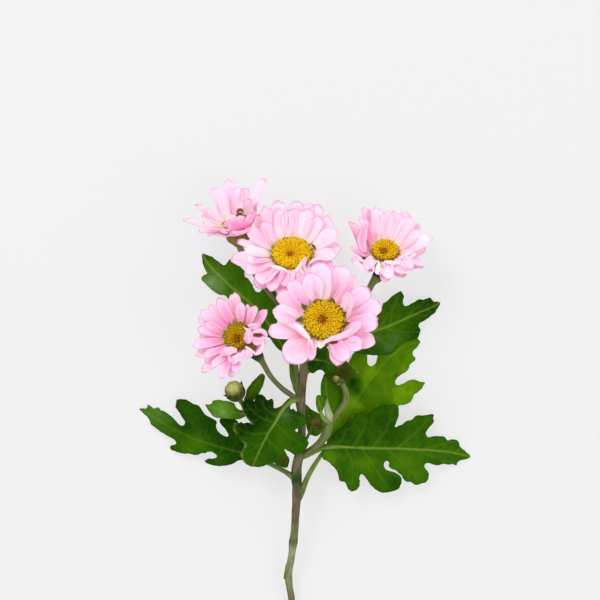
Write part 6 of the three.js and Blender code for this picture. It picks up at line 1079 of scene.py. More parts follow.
def disc(name, h, f, look, tone):
    c, n, e1, e2 = f
    R, D = h["rd"], h["dome"]
    eu, ev, er = EYES[name]
    d = plan(eu, ev, h["z"]) - c - n * D
    det = e1[0] * e2[1] - e1[1] * e2[0]
    eye = np.array([d[0] * e2[1] - d[1] * e2[0], e1[0] * d[1] - e1[1] * d[0]]) / det
    er = er * DATA["UNIT"]
    gain = DISC_SHADE[name]
    rng = seed(name, "disc")
    prof = spline([[0, 0.8 * D], [0.22 * R, 0.88 * D], [0.5 * R, D], [0.72 * R, 0.9 * D], [0.9 * R, 0.6 * D], [0.985 * R, 0.5]], 8)
    height = lambda r: np.interp(r, prof[:, 0], prof[:, 1])
    N = int(round(2.1 * (R / 0.92) ** 2))
    shape = Shape(N + 1)
    body = [[0, -0.9], [R * 0.4, -0.9], [R * 0.76, -0.9], [R * 0.94, 0.1], [R * 0.95, 0.3]] + [[q[0] * 0.97, q[1] - 0.28] for q in prof[::-1][2:-1:3]] + [[0, 0.8 * D - 0.28]]
    rr = [min(1.0, q[0] / R) for q in body]
    sides = 32
    lathe(shape, c, n, body, sides, tone=tone, eye=9.0, gain=gain, floret=np.stack([np.r_[np.repeat(rr[1:-1], sides), 0, 0], np.zeros(sides * (len(body) - 2) + 2), np.full(sides * (len(body) - 2) + 2, 0.5)], -1))
    slope = lambda r: (height(min(r + 0.2, R)) - height(max(r - 0.2, 0))) / (min(r + 0.2, R) - max(r - 0.2, 0))
    for k in range(N):
        q = ((k + 0.5) / N) ** 0.56
        r = q * R * 0.965
        a = k * 2.399963 + rng.normal(0, 0.034)
        radial = e1 * math.cos(a) + e2 * math.sin(a)
        g = slope(r)
        up = unit(n - radial * g * 0.6 + 0.08 * rng.normal(size=3))
        base = c + radial * r + n * (height(r) - 0.5)
        x = unit(np.cross(up, e1)); y = np.cross(up, x)
        size = (0.37 + 0.20 * ramp(q, 0.15, 0.75)) * rng.uniform(0.90, 1.10) * (R / 9.0) ** 0.25 * 1.10 * (1 - 0.15 * ramp(q, 0.88, 1.0))
        tall = size * (1.1 + 0.35 * rng.uniform()) * (1 - 0.3 * ramp(q, 0.86, 1.0)) + 0.3
        open_ = q > 0.62 + 0.12 * rng.normal() * 0.5 and tone < 0.5
        turn = rng.uniform(0, 6.28)
        if open_:
            rows = [(0.62, 0.0), (0.80, 0.55), (1.0, 0.98), (0.55, 0.80), (0.28, 0.72)]
            sides_ = 10
        else:
            rows = [(0.72, 0.0), (0.98, 0.45), (0.92, 0.72), (0.55, 0.93)]
            sides_ = 6
        phi = turn + np.arange(sides_) * 2 * math.pi / sides_
        P, F = [], []
        for j, (rad, hh) in enumerate(rows):
            wob = (1 + 0.24 * (np.arange(sides_) % 2 * 2 - 1)) if open_ and j == 2 else np.ones(sides_)
            up_h = hh * tall + (0.10 * size * (np.arange(sides_) % 2) if open_ and j == 2 else 0)
            P.append(base + np.outer(size * rad * wob * np.cos(phi), x) + np.outer(size * rad * wob * np.sin(phi), y) + np.outer(np.broadcast_to(up_h, sides_), up))
            F.append(np.full(sides_, hh if not (open_ and j > 2) else 0.35))
        m = len(rows)
        tip = base + up * tall * (1.0 if not open_ else (1.08 if rng.uniform() < 0.35 else 0.7))
        P = np.concatenate(P + [tip[None], base[None]])
        F = np.concatenate(F + [[1.0 if not open_ else 0.6], [0.0]])
        i, kk = np.meshgrid(np.arange(m - 1), np.arange(sides_), indexing="ij")
        quads = np.stack([i * sides_ + kk, i * sides_ + (kk + 1) % sides_, (i + 1) * sides_ + (kk + 1) % sides_, (i + 1) * sides_ + kk], -1).reshape(-1, 4)
        k1 = np.arange(sides_)
        hi = np.stack([np.full(sides_, m * sides_), (m - 1) * sides_ + k1, (m - 1) * sides_ + (k1 + 1) % sides_], 1)
        lo = np.stack([np.full(sides_, m * sides_ + 1), (k1 + 1) % sides_, k1], 1)
        if np.dot(np.cross(x, y), up) < 0:
            quads, hi, lo = quads[:, ::-1], hi[:, ::-1], lo[:, ::-1]
        u0, v0, sz = shape.next_cell()
        spread = np.concatenate([np.full(sides_, 0.46 - 0.34 * j / m) for j in range(m)])
        ang = np.tile(phi, m)
        uv = np.stack([u0 + sz * (0.5 + spread * np.cos(ang)), v0 + sz * (0.5 + spread * np.sin(ang))], 1)
        uv = np.concatenate([uv, [[u0 + sz * 0.5, v0 + sz * 0.5]], [[u0 + sz * 0.5, v0 + sz * 0.5]]])
        corner = np.array([u0 + sz * 0.94, v0 + sz * 0.94])
        foot = np.concatenate([corner + sz * 0.035 * np.stack([np.cos(phi), np.sin(phi)], 1), corner[None]])
        away = math.hypot(r * math.cos(a) - eye[0], r * math.sin(a) - eye[1]) / er
        shape.add(P, [quads, hi, lo], [uv[quads], uv[hi], foot[np.where(lo > m * sides_, sides_, lo)]], tone=tone, eye=away, gain=gain, faint=FAINT.get(name, 0.0), floret=np.stack([np.full(len(P), q), F, np.full(len(P), rng.uniform())], -1))
    return shape.finish(f"{name}_disc_fine", look, "disc_florets", f"{name}_disc")


def bracts(name, h, f, look, dark):
    """The cup under the petals: a smooth receptacle with three rows of overlapping bracts."""
    c, n, e1, e2 = f
    R, S = h["rd"], h["stalk"]
    rng = seed(name, "bracts")
    long, wide = h.get("cup", (1, 1))
    cup = spline([[S * 1.05, -9.3], [S * 1.3, -8.8], [R * 0.52, -8.0], [R * 0.74, -6.9], [R * 0.83, -5.6], [R * 0.85, -4.4], [R * 0.89, -3.5]], 6)
    cup = np.stack([cup[:, 0] * wide, np.where(cup[:, 1] < -4.2, (cup[:, 1] + 4.2) * long, cup[:, 1] + 4.2) - 4.2], 1)
    counts = (12, 15, 18)
    gaps = [x for x in FOLDS[name] if x[3] < 0]
    shape = Shape(2 * sum(counts) + 2 * len(gaps) + 1)
    for i, (points, bend, brown, foot, tip) in enumerate(gaps):
        fold(shape, f, points, bend, 0.3 + 0.3 * brown, seed(name, "gap", i), 0.2, 0.5, brown=brown)
    body = np.concatenate([[[0, cup[0, 1]]], cup, [[R * 0.5, -3.45], [0, -3.45]]])
    sides = 40
    lathe(shape, c, n, body, sides, tone=dark, petal=np.concatenate([np.stack([np.zeros(sides), np.full(sides, 0.3), np.full(sides, 0.2)], -1) for _ in range(len(body) - 2)] + [np.zeros((2, 3))]))
    d = np.r_[0, np.cumsum(np.linalg.norm(np.diff(cup, axis=0), axis=1))]
    for row, count in enumerate(counts):
        a0, a1 = ((0.06, 0.62), (0.2, 0.84), (0.38, 1.0))[row]
        for k in range(count):
            phi = 2 * math.pi * (k + 0.5 * (row % 2) + rng.uniform(-0.12, 0.12)) / count
            r0, r1 = a0 + rng.uniform(-0.03, 0.03), a1 + rng.uniform(-0.05, 0.03)
            rows, cols = 9, 7
            t = np.linspace(0, 1, rows)[:, None]
            s = np.linspace(-1, 1, cols)[None, :]
            end = 1 - 0.3 * (1 - np.sqrt(np.clip(1 - s * s, 0, 1)))
            T = t * end
            along = (r0 + (r1 - r0) * T) * d[-1]
            rad = np.interp(along, d, cup[:, 0])
            hh = np.interp(along, d, cup[:, 1])
            half = (math.pi / count) * 1.12 * rad.max() * (0.62 + 0.38 * np.sin(np.pi * np.clip(T * 0.85 + 0.1, 0, 1)))
            ang = phi + s * half / np.maximum(rad, 0.6)
            lift = 0.16 + 0.16 * (2 - row) + 0.45 * T**2 * rng.uniform(0.2, 0.9) + 0.12 * (1 - s * s)
            dirs = np.cos(ang)[..., None] * e1 + np.sin(ang)[..., None] * e2
            mid = c + dirs * (rad + lift)[..., None] + n * hh[..., None]
            sheet(shape, mid[:, ::-1], np.full((rows, cols), 0.16), petal=np.stack(np.broadcast_arrays(s[:, ::-1], T[:, ::-1], rng.uniform()), -1), tone=dark)
    return shape.finish(f"{name}_bracts_fine", look, "green_bracts", f"{name}_bracts")


# ---- stems -----------------------------------------------------------------------------------

# [how brown where it starts, how dark a green where it ends, how pale where it ends, how dark a green where it starts]
SKINS = dict(centre_head_stalk=(0.1, 0.30, 0.0, 0.35), right_head_stalk=(0.1, 0.0, 0.1, 0.12), left_head_stalk=(1.0, 0.0, 0.25, 0.2),
             rear_head_stalk=(0.3, 0.0, 0.45, 0.25), right_side_shoot=(0.1, 0.0, 0.12, 0.1), left_side_shoot=(0.1, 0.15, 0.05, 0.15))


# what each stem ends in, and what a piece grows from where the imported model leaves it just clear
CARRIES = dict(main_stem="front_head", centre_head_stalk="centre_head", right_head_stalk="right_head", left_head_stalk="left_head",
               rear_head_stalk="rear_head", right_side_shoot="right_bud", left_side_shoot="left_bud")
GROWS_FROM = dict(rear_head_stalk="centre_head_stalk", leaf_b="main_stem", leaf_m="main_stem", brown_bud="right_side_shoot")


def rooted(name, rows):
    """Rows that start inside the stem they grow from."""
    if name not in GROWS_FROM:
        return list(rows)
    line = spline(DATA["stems"][GROWS_FROM[name]], 8)
    at = plan(line[:, 0], line[:, 1], line[:, 2])
    k = np.argmin(np.linalg.norm(at - plan(*rows[0][:3]), axis=1))
    return [[*line[k, :3], rows[0][3]]] + list(rows)


def carrying(name, radius):
    """The row that ends a stem inside what it carries."""
    top = CARRIES[name]
    if top in DATA["heads"]:
        h = DATA["heads"][top]
        q = plan(h["c"][0], h["c"][1], h["z"]) - unit(h["n"]) * (4.2 + 4.5 * h.get("cup", (1, 1))[0])
    else:
        b = DATA["buds"][top]
        q = plan(b["c"][0], b["c"][1], b["z"]) - unit(b["n"]) * b["h"] * 0.85
    return [*seen(q), q[2], radius]


def stem(name, look):
    rows = DATA["stems"][name]
    rows = rooted(name, rows) + [carrying(name, 0.97 * rows[-1][3])]
    main = name == "main_stem"
    line = spline(rows, 10)
    pts = plan(line[:, 0], line[:, 1], line[:, 2])
    line = evenly(np.concatenate([pts, line[:, 3:4], line[:, 1:2]], 1), 0.7)
    centres, r, v = line[:, :3], line[:, 3], line[:, 4]
    rng = seed(name)
    n = len(centres)
    sides = 36 if main else 24
    phi = np.arange(sides) * 2 * math.pi / sides
    d = np.arange(n) * 0.7
    wob = Waves(rng, 9.0, 1, 4)(d[:, None]) * 0.02 + Waves(rng, 30.0, 1, 3)(d[:, None]) * 0.02
    lump = Waves(rng, 4.0, 3, 8)(np.stack([np.cos(phi)[None, :] * 2 + 0 * d[:, None], np.sin(phi)[None, :] * 2 + 0 * d[:, None], np.repeat(d[:, None], sides, 1) * 0.5], -1)) * 0.012
    radii = r[:, None] * (1 + wob[:, None] + lump)
    if main:
        green = 0.05 + 0.72 * ramp(v, 514, 534) - 0.4 * ramp(v, 560, 606) + 0.45 * (1 - ramp(v, 366, 380)) + 0.25 * bell(v - 415, 14)
        dark = 1.0 * bell(v - 478, 7.5) + 0.16 * bell(v - 541, 3.2)
        pale = 0.62 * bell(v - 551, 6) + 0.30 * ramp(v, 548, 562) * (1 - 0.75 * ramp(v, 572, 602)) + 0.06 * bell(v - 460, 8)
        burnt_and_shade = 0.42 * bell(v - 390, 7) + 0.12 * bell(v - 503, 14) + 0.38 * bell(v - 541, 3.4) + 0.12 * ramp(v, 575, 610)
        pith = np.where(d < 0.35, 1.0, 0.0)
    else:
        start, end, light, shade = SKINS[name]
        far = d / d[-1]
        green = 0.9 + 0.0 * v - 0.5 * start * (1 - far)
        dark = shade * (1 - far) + end * far + 0.2 * (1 - ramp(d, 0, 5))
        pale = light * far
        # at the right head's stalk end, near-black brown: partly the dark brown tissue there, partly painted shade
        # under the head
        burnt_and_shade = ramp(280 - v, 0, 2.5) * 0.95 if name == "right_head_stalk" else 0 * v
        # dark green at the stalk's end under the left head: partly the dark green of its cup, partly painted shade
        # where the head overhangs it
        if name == "left_head_stalk":
            dark = np.maximum(dark, ramp(362 - v, 0, 5) * 0.95)
        pith = 0 * v
    shape = Shape(4 if main else 1)
    if main and rows[0][1] < rows[-1][1]:
        pith = pith[::-1]
    tube(shape, centres, radii, sides, ribs=9 if main else 7, rib=0.045 if main else 0.05, twist=0.012, green=green, dark=dark, wear=np.stack([pale, burnt_and_shade, pith], 1))
    if main:
        scar = np.linspace(plan(289.6, 560.5, 8.2), plan(285.2, 579.0, 6.4), 11)
        tube(shape, scar, np.array([0.7, 0.95, 1.15, 1.25, 1.25, 1.2, 1.12, 1.08, 1.05, 0.95, 0.7]), 14, ribs=4, rib=0.06,
             green=np.linspace(0.6, 0.95, 11), dark=0.32 * np.linspace(0, 1, 11) ** 2, wear=np.stack([np.full(11, 0.12), 0.25 * np.linspace(0, 1, 11) ** 4, np.zeros(11)], 1))
    return shape.finish(name + "_fine", look, "stem_bark" if main else "green_stalk", name)


# ---- leaves ------------------------------------------------------------------------------------


def surface(rows):
    """Thin-plate surface through scattered heights."""
    rows = np.asarray(rows, float)
    P, n = rows[:, :2] / 100, len(rows)

    def kern(a, b):
        d = np.linalg.norm(a[:, None] - b[None], axis=-1)
        return np.where(d > 1e-9, d * d * np.log(np.maximum(d, 1e-9)), 0)

    A = np.zeros((n + 3, n + 3))
    A[:n, :n] = kern(P, P) + 0.002 * np.eye(n)
    A[:n, n:] = np.c_[np.ones(n), P]
    A[n:, :n] = A[:n, n:].T
    w = np.linalg.solve(A, np.r_[rows[:, 2], 0, 0, 0])
    return lambda q: kern(q / 100, P) @ w[:n] + w[n] + (q / 100) @ w[n + 1 :]


# how light a green each leaf is, leaf_c's partly painted light for the shade it lies in, and how plain its side veins
# are
TONES = dict(leaf_a=-0.05, leaf_b=-0.3, leaf_c=0.48, leaf_d=-0.2, leaf_e=-0.68, leaf_f=-0.4, leaf_g=0.2, leaf_h=0.15, leaf_i=-0.1, leaf_j=0.05, leaf_k=0.2, leaf_m=0.25)
VEINS = dict(leaf_a=(0.8, 0.5), leaf_b=(1.0, 0.7), leaf_c=(0.45, 0.25), leaf_d=(1.0, 0.65), leaf_e=(0.24, 0.22), leaf_f=(0.9, 0.5), leaf_g=(0.3, 0.3), leaf_h=(0.4, 0.2), leaf_i=(0.3, 0.3), leaf_j=(0.5, 0.3), leaf_k=(0.5, 0.4), leaf_m=(0.5, 0.4))

# where a leaf is lighter or darker, partly its own colour and partly painted light and shade: painted shadow of leaf_i
# on leaf_c and of the front head on leaf_i, painted light near leaf_c's midrib. [place in the plan, how far it reaches,
# how much]
TONE_LIGHT_AND_SHADE = dict(
    leaf_a=[[212, 285, 12, 0.35], [203, 256, 8, -0.5]],
    leaf_b=[[430, 303, 16, -0.3], [390, 338, 14, 0.3], [370, 350, 8, -0.25], [415, 333, 8, -0.35]],
    leaf_c=[[354, 381, 4.5, -0.8], [358, 391, 4, -0.5], [405, 392, 16, 0.3], [350, 405, 10, 0.35], [340, 425, 8, 0.35], [372, 372, 12, 0.3], [395, 355, 12, 0.2], [352, 385, 8, -0.8], [375, 385, 6, -0.3], [362, 398, 6, -0.3]],
    leaf_d=[[365, 465, 12, 0.35], [330, 457, 10, 0.5], [405, 465, 14, 0.35], [420, 475, 10, 0.3], [360, 441, 12, -0.35], [395, 435, 14, -0.25], [345, 452, 10, -0.2], [395, 482, 8, -0.45], [380, 415, 14, -0.15], [340, 430, 10, -0.25]],
    leaf_e=[[195, 447, 16, 0.7], [150, 412, 18, 0.8], [165, 430, 14, 0.3], [225, 440, 18, -0.1], [205, 428, 14, -0.1], [220, 461, 8, 0.5], [190, 405, 8, 0.15]],
    leaf_f=[[258, 405, 16, -1.0], [250, 425, 10, -0.55], [240, 428, 8, -0.5], [295, 414, 8, -0.35], [280, 440, 12, 0.15]],
    leaf_g=[[222, 412, 10, 0.3]],
    leaf_i=[[315, 362, 14, -0.7]],
    leaf_m=[[333, 425, 10, 0.3]],
)
# painted reflection: where a leaf shows a grey-blue sheen, painted into its colour: [place in the plan, how far it
# reaches, how much]
PAINTED_SHEEN = dict(leaf_a=[[212, 285, 12, 0.5]], leaf_b=[[388, 347, 5, 0.18], [396, 338, 5, 0.15], [376, 338, 5, 0.15]], leaf_e=[[150, 412, 16, 0.12]], leaf_f=[[285, 415, 6, 0.2]], leaf_g=[[222, 412, 8, 0.3]])
# browner patches: leaf_f's is its own brown, leaf_i's is partly painted shadow of the front head
BROWN_AND_SHADOW = dict(leaf_f=[[285, 462, 7, 0.7]], leaf_i=[[345, 372, 10, 0.85]])
PALE = dict(leaf_f=[[234, 421, 3, 0.45], [234, 430, 3.5, 0.45], [245, 445, 3.5, 0.4], [241, 455, 3, 0.5], [243, 462, 3, 0.4]], leaf_i=[[351, 361, 3.2, 0.6], [355, 366, 3.0, 0.6], [358.5, 371, 2.4, 0.6]])


# petioles that are thicker, paler (above 0; on leaf_j a painted highlight along the petiole) or darker (below 0): how
# far along, how thick there, how pale there
PETIOLES = dict(
    leaf_c=((0, 0.3, 0.7, 1), (1, 1, 1, 1), (-0.6, -0.15, 0.16, 0)),
    leaf_j=((0, 0.25, 0.7, 1), (1.3, 1.9, 1.5, 1), (0.2, 0.75, 0.6, 0)),
    leaf_k=((0, 0.3, 0.7, 1), (1.3, 1.5, 1.4, 1), (0, 0.1, 0.2, 0)),
)
# how far petioles sway to the side, in millimetres
SWAY = dict(leaf_j=-0.65, leaf_k=0.25)
# points of a leaf's outline that lie a little further out: [the point, where it goes]
EDGES = dict(
    leaf_d=[[[374, 409.4], [373.6, 409.8]], [[368, 412], [368.0, 416.0]], [[363, 412.4], [363.0, 411.6]], [[399.7, 485.8], [400.6, 485.4]], [[399.6, 480.5], [401.8, 479.4]], [[397.3, 475.2], [400.0, 475.8]], [[395, 473], [397.0, 473.4]], [[393, 472.8], [393.6, 471.9]], [[389, 471.5], [389.2, 470.8]]],
    leaf_j=[[[332.4, 412], [334.8, 413.6]], [[330, 412.6], [330.4, 414.4]], [[326.6, 405.4], [323.6, 406.4]], [[324.8, 399], [322.2, 399.6]], [[322, 393.4], [320.8, 393.6]], [[342.2, 391.6], [344.0, 391.6]], [[341, 399], [344.4, 399.4]], [[337.6, 406.4], [341.8, 407.6]]],
    leaf_m=[[[311, 409.6], [311.4, 409.4]], [[312.6, 413], [315.4, 411.6]], [[315.6, 417], [320.4, 414.2]], [[319.4, 422], [324.4, 419.0]], [[323.4, 427.6], [326.2, 426.6]]],
)


def patches(rows, P):
    return sum((how * bell(np.hypot(P[:, 0] - u, P[:, 1] - v), reach) for u, v, reach, how in rows), np.zeros(len(P)))



def toothed(ring, foot, rng):
    """The outline with small forward-leaning teeth, none near the leaf's foot."""
    d = np.roll(ring, -1, 0) - np.roll(ring, 1, 0)
    area = np.sum(ring[:, 0] * np.roll(ring[:, 1], -1) - np.roll(ring[:, 0], -1) * ring[:, 1])
    out = unit(np.stack([d[:, 1], -d[:, 0]], 1)) * (1 if area > 0 else -1)
    s, total, off = 0.0, len(ring) * 0.9, np.zeros(len(ring))
    while s < total:
        length, high = rng.uniform(3.6, 7.5), rng.uniform(0.1, 1.0) ** 1.4
        k = np.arange(int(s / 0.9), min(int((s + length) / 0.9), len(ring)))
        q = (k * 0.9 - s) / length
        off[k] = high * (np.clip(q, 0, 1) ** 1.6 - 0.35)
        s += length
    far = ramp(np.linalg.norm(ring - foot, axis=1), 8, 26)
    return ring + out * (off * far * 0.85)[:, None]


def leaf(name, d, look):
    rng = seed(name)
    height = surface(d["z"])
    ring = np.array(d["outline"], float)
    for old, new in EDGES.get(name, []):
        ring[np.abs(ring - old).sum(1) < 1e-6] = new
    ring = spline(ring, 4, closed=True)
    ring = toothed(evenly(np.concatenate([ring, ring[:1]]), 0.9)[:-1], np.array(d["petiole"][-1][:2]), rng)
    lo, hi = ring.min(0), ring.max(0)
    H = 1.15
    gx, gy = np.meshgrid(np.arange(lo[0], hi[0], H), np.arange(lo[1], hi[1], H * 0.866))
    gx = gx + (np.arange(gx.shape[0]) % 2)[:, None] * H / 2
    q = np.stack([gx.ravel(), gy.ravel()], 1) + rng.normal(0, 0.05, (gx.size, 2))
    q = q[inside(q, ring)]
    q = q[polyline_distance(q, np.r_[ring, ring[:1]])[0] > 0.55]
    allp = np.concatenate([ring, q])
    made = delaunay_2d_cdt([tuple((x, -y)) for x, y in allp], [], [list(range(len(ring)))][:1], 1, 1e-4)
    P = np.array([tuple(v) for v in made[0]]) * [1, -1]
    tris = np.array([t for t in made[2] if len(t) == 3])
    A, B, C = (P[tris[:, k]] * [1, -1] for k in range(3))
    area = (B[:, 0] - A[:, 0]) * (C[:, 1] - A[:, 1]) - (C[:, 0] - A[:, 0]) * (B[:, 1] - A[:, 1])
    tris = np.where((area < 0)[:, None], tris[:, ::-1], tris)
    tris = tris[np.abs(area) > 1e-6]
    used = np.unique(tris)
    new = np.full(len(P), -1)
    new[used] = np.arange(len(used))
    P, tris = P[used], new[tris]

    de = polyline_distance(P, np.r_[ring, ring[:1]])[0]
    mid = spline(d["mid"], 6)
    dm, am = polyline_distance(P, mid)
    dl, al = np.full(len(P), 1e9), np.zeros(len(P))
    ds = np.full(len(P), 1e9)
    for lat in d["lat"]:
        lat = spline(lat, 5) if len(lat) > 2 else np.asarray(lat, float)
        x, y = polyline_distance(P, lat)
        dl, al = np.where(x < dl, x, dl), np.where(x < dl, y, al)
        # finer veins that leave the side vein on alternate sides
        even = evenly(lat, 6.5)
        for i in range(1, len(even) - 1):
            t = unit(even[min(i + 1, len(even) - 1)] - even[i - 1])
            for sgn in ((1,) if i % 2 else (-1,)):
                a = math.radians(rng.uniform(38, 52)) * sgn
                dirn = np.array([t[0] * math.cos(a) - t[1] * math.sin(a), t[0] * math.sin(a) + t[1] * math.cos(a)])
                ds = np.minimum(ds, polyline_distance(P, np.array([even[i], even[i] + dirn * rng.uniform(6, 11)]))[0])
    even = evenly(mid, 8.0)
    for i in range(1, len(even) - 1):
        t = unit(even[i + 1] - even[i - 1])
        for sgn in (1, -1):
            a = math.radians(rng.uniform(42, 58)) * sgn
            dirn = np.array([t[0] * math.cos(a) - t[1] * math.sin(a), t[0] * math.sin(a) + t[1] * math.cos(a)])
            ds = np.minimum(ds, polyline_distance(P, np.array([even[i], even[i] + dirn * rng.uniform(5, 9)]))[0])

    vm = bell(dm, 1.55 * (1 - 0.62 * am) + 0.25)
    vl = bell(dl, 0.95 * (1 - 0.5 * al) + 0.2) * (1 - 0.35 * al)
    vs = 0.45 * bell(ds, 0.75)
    big = min(1.0, np.ptp(P, axis=0).max() / 90)
    swell = Waves(rng, 20.0)(P) * 0.42 * big + Waves(rng, 9.0)(P) * 0.16 * big
    quilt = 0.42 * big * (1 - bell(np.minimum(dl, dm), 4.0)) * (0.6 + 0.4 * Waves(rng, 12.0)(P))
    rim = -0.35 * big * bell(de, 3.2) * Waves(rng, 16.0)(P)
    z = height(P) + (swell * (1 - bell(dm, 6)) + quilt + rim)
    thick = 0.34 * (0.4 + 0.6 * (1 - np.exp(-de / 1.1)))
    top = z + thick / 2 - 0.30 * vm - 0.16 * vl - 0.07 * vs
    low = z - thick / 2 - (0.55 * (1 - 0.6 * am) * vm + 0.22 * vl + 0.08 * vs) * (1 - bell(de, 0.8))
    low = np.maximum(low, 0.02)
    top = np.maximum(top, low + 0.12)
    edges = np.concatenate([tris[:, [0, 1]], tris[:, [1, 2]], tris[:, [2, 0]]])
    key = {tuple(e) for e in edges}
    bound = np.array([e for e in map(tuple, edges) if (e[1], e[0]) not in key])
    N = len(P)
    rimf = np.stack([bound[:, 0], bound[:, 0] + N, bound[:, 1] + N, bound[:, 1]], 1)
    shape = Shape(4)
    cells = (shape.next_cell(), shape.next_cell(), shape.next_cell())
    span = np.ptp(P, axis=0).max()
    flat = (P - P.min(0)) / span * 0.94 + 0.03
    flat[:, 1] = 1 - flat[:, 1]
    ua, ub = (np.array(c[:2]) + flat * c[2] for c in cells[:2])
    centre = flat.mean(0)
    out = np.array(cells[0][:2]) + (flat + 0.004 * unit(flat - centre)) * cells[0][2]
    rim_uv = np.stack([ua[bound[:, 0]], out[bound[:, 0]], out[bound[:, 1]], ua[bound[:, 1]]], 1)
    rib, plain = VEINS[name]
    veins = np.stack([bell(dm, (1.05 * (1 - 0.62 * am) + 0.2)) * rib, np.maximum(vl, vs) * plain, bell(de, 1.1)], 1)
    tone = TONES[name] + patches(TONE_LIGHT_AND_SHADE.get(name, []), P)
    edge = bell(de, 2.2)
    wear = np.stack([patches(PAINTED_SHEEN.get(name, []), P), patches(BROWN_AND_SHADOW.get(name, []), P), patches(PALE.get(name, []), P) * edge], 1)
    shape.add(
        np.concatenate([plan(P[:, 0], P[:, 1], top), plan(P[:, 0], P[:, 1], low)]),
        [tris, tris[:, ::-1] + N, rimf],
        [ua[tris], ub[tris][:, ::-1], rim_uv],
        veins=np.concatenate([veins, veins]), side=np.r_[np.zeros(N), np.ones(N)], tone=np.r_[tone, tone], wear=np.concatenate([wear, wear * [0, 1, 1]]), stalk=0.0,
    )
    line = spline(rooted(name, d["petiole"]), 8)
    pts = plan(line[:, 0], line[:, 1], line[:, 2])
    line = evenly(np.concatenate([pts, line[:, 3:4]], 1), 0.6)
    sides = 16
    phi = np.arange(sides) * 2 * math.pi / sides
    n = len(line)
    dd = np.linspace(0, 1, n)
    line[:, 0] += SWAY.get(name, 0.0) * np.sin(math.pi * dd)
    at, fat, wan = PETIOLES.get(name, ((0, 1), (1, 1), (0, 0)))
    tube(shape, line[:, :3], line[:, 3][:, None] * np.interp(dd, at, fat)[:, None] * (1 + 0.05 * np.cos(3 * phi)[None, :]) * (1 - 0.3 * dd[:, None] ** 4), sides, cell=cells[2], tone=TONES[name], stalk=0.85 - 0.7 * ramp(dd, 0.35, 0.8), side=0.0, veins=np.ones((n, 1)) * [0.9 * VEINS[name][0], 0, 0], wan=np.interp(dd, at, wan))
    return shape.finish(name + "_fine", look, "green_leaf", name)


# ---- buds --------------------------------------------------------------------------------------

# [place in the plan, reach, how much, which: 0 painted light, 1 painted shade in deep green, 2 brown]
BUD_SPOTS = dict(
    left_bud=[[233, 387, 6.2, 1.0, 0], [236, 385, 3.5, 0.3, 0], [229, 400, 6.5, 1.1, 1], [238, 398, 5, 0.9, 1], [221, 392, 4.5, 0.8, 1], [246, 392, 6, 1.0, 1], [245, 384, 4, 0.6, 1]],
    right_bud=[[332, 381, 4, 1.0, 2], [338, 377, 2.8, 0.9, 0], [343, 383, 4, 1.0, 1]],
    brown_bud=[[320, 427, 5, 0.8, 1], [316, 418, 4, 0.4, 1]],
)


# loose outer bracts: how many, and how long
FLARE = dict(left_bud=(9, 3.3), right_bud=(8, 2.3), brown_bud=(4, 2.2))
PLUMP = dict(right_bud=0.74, brown_bud=1.1)


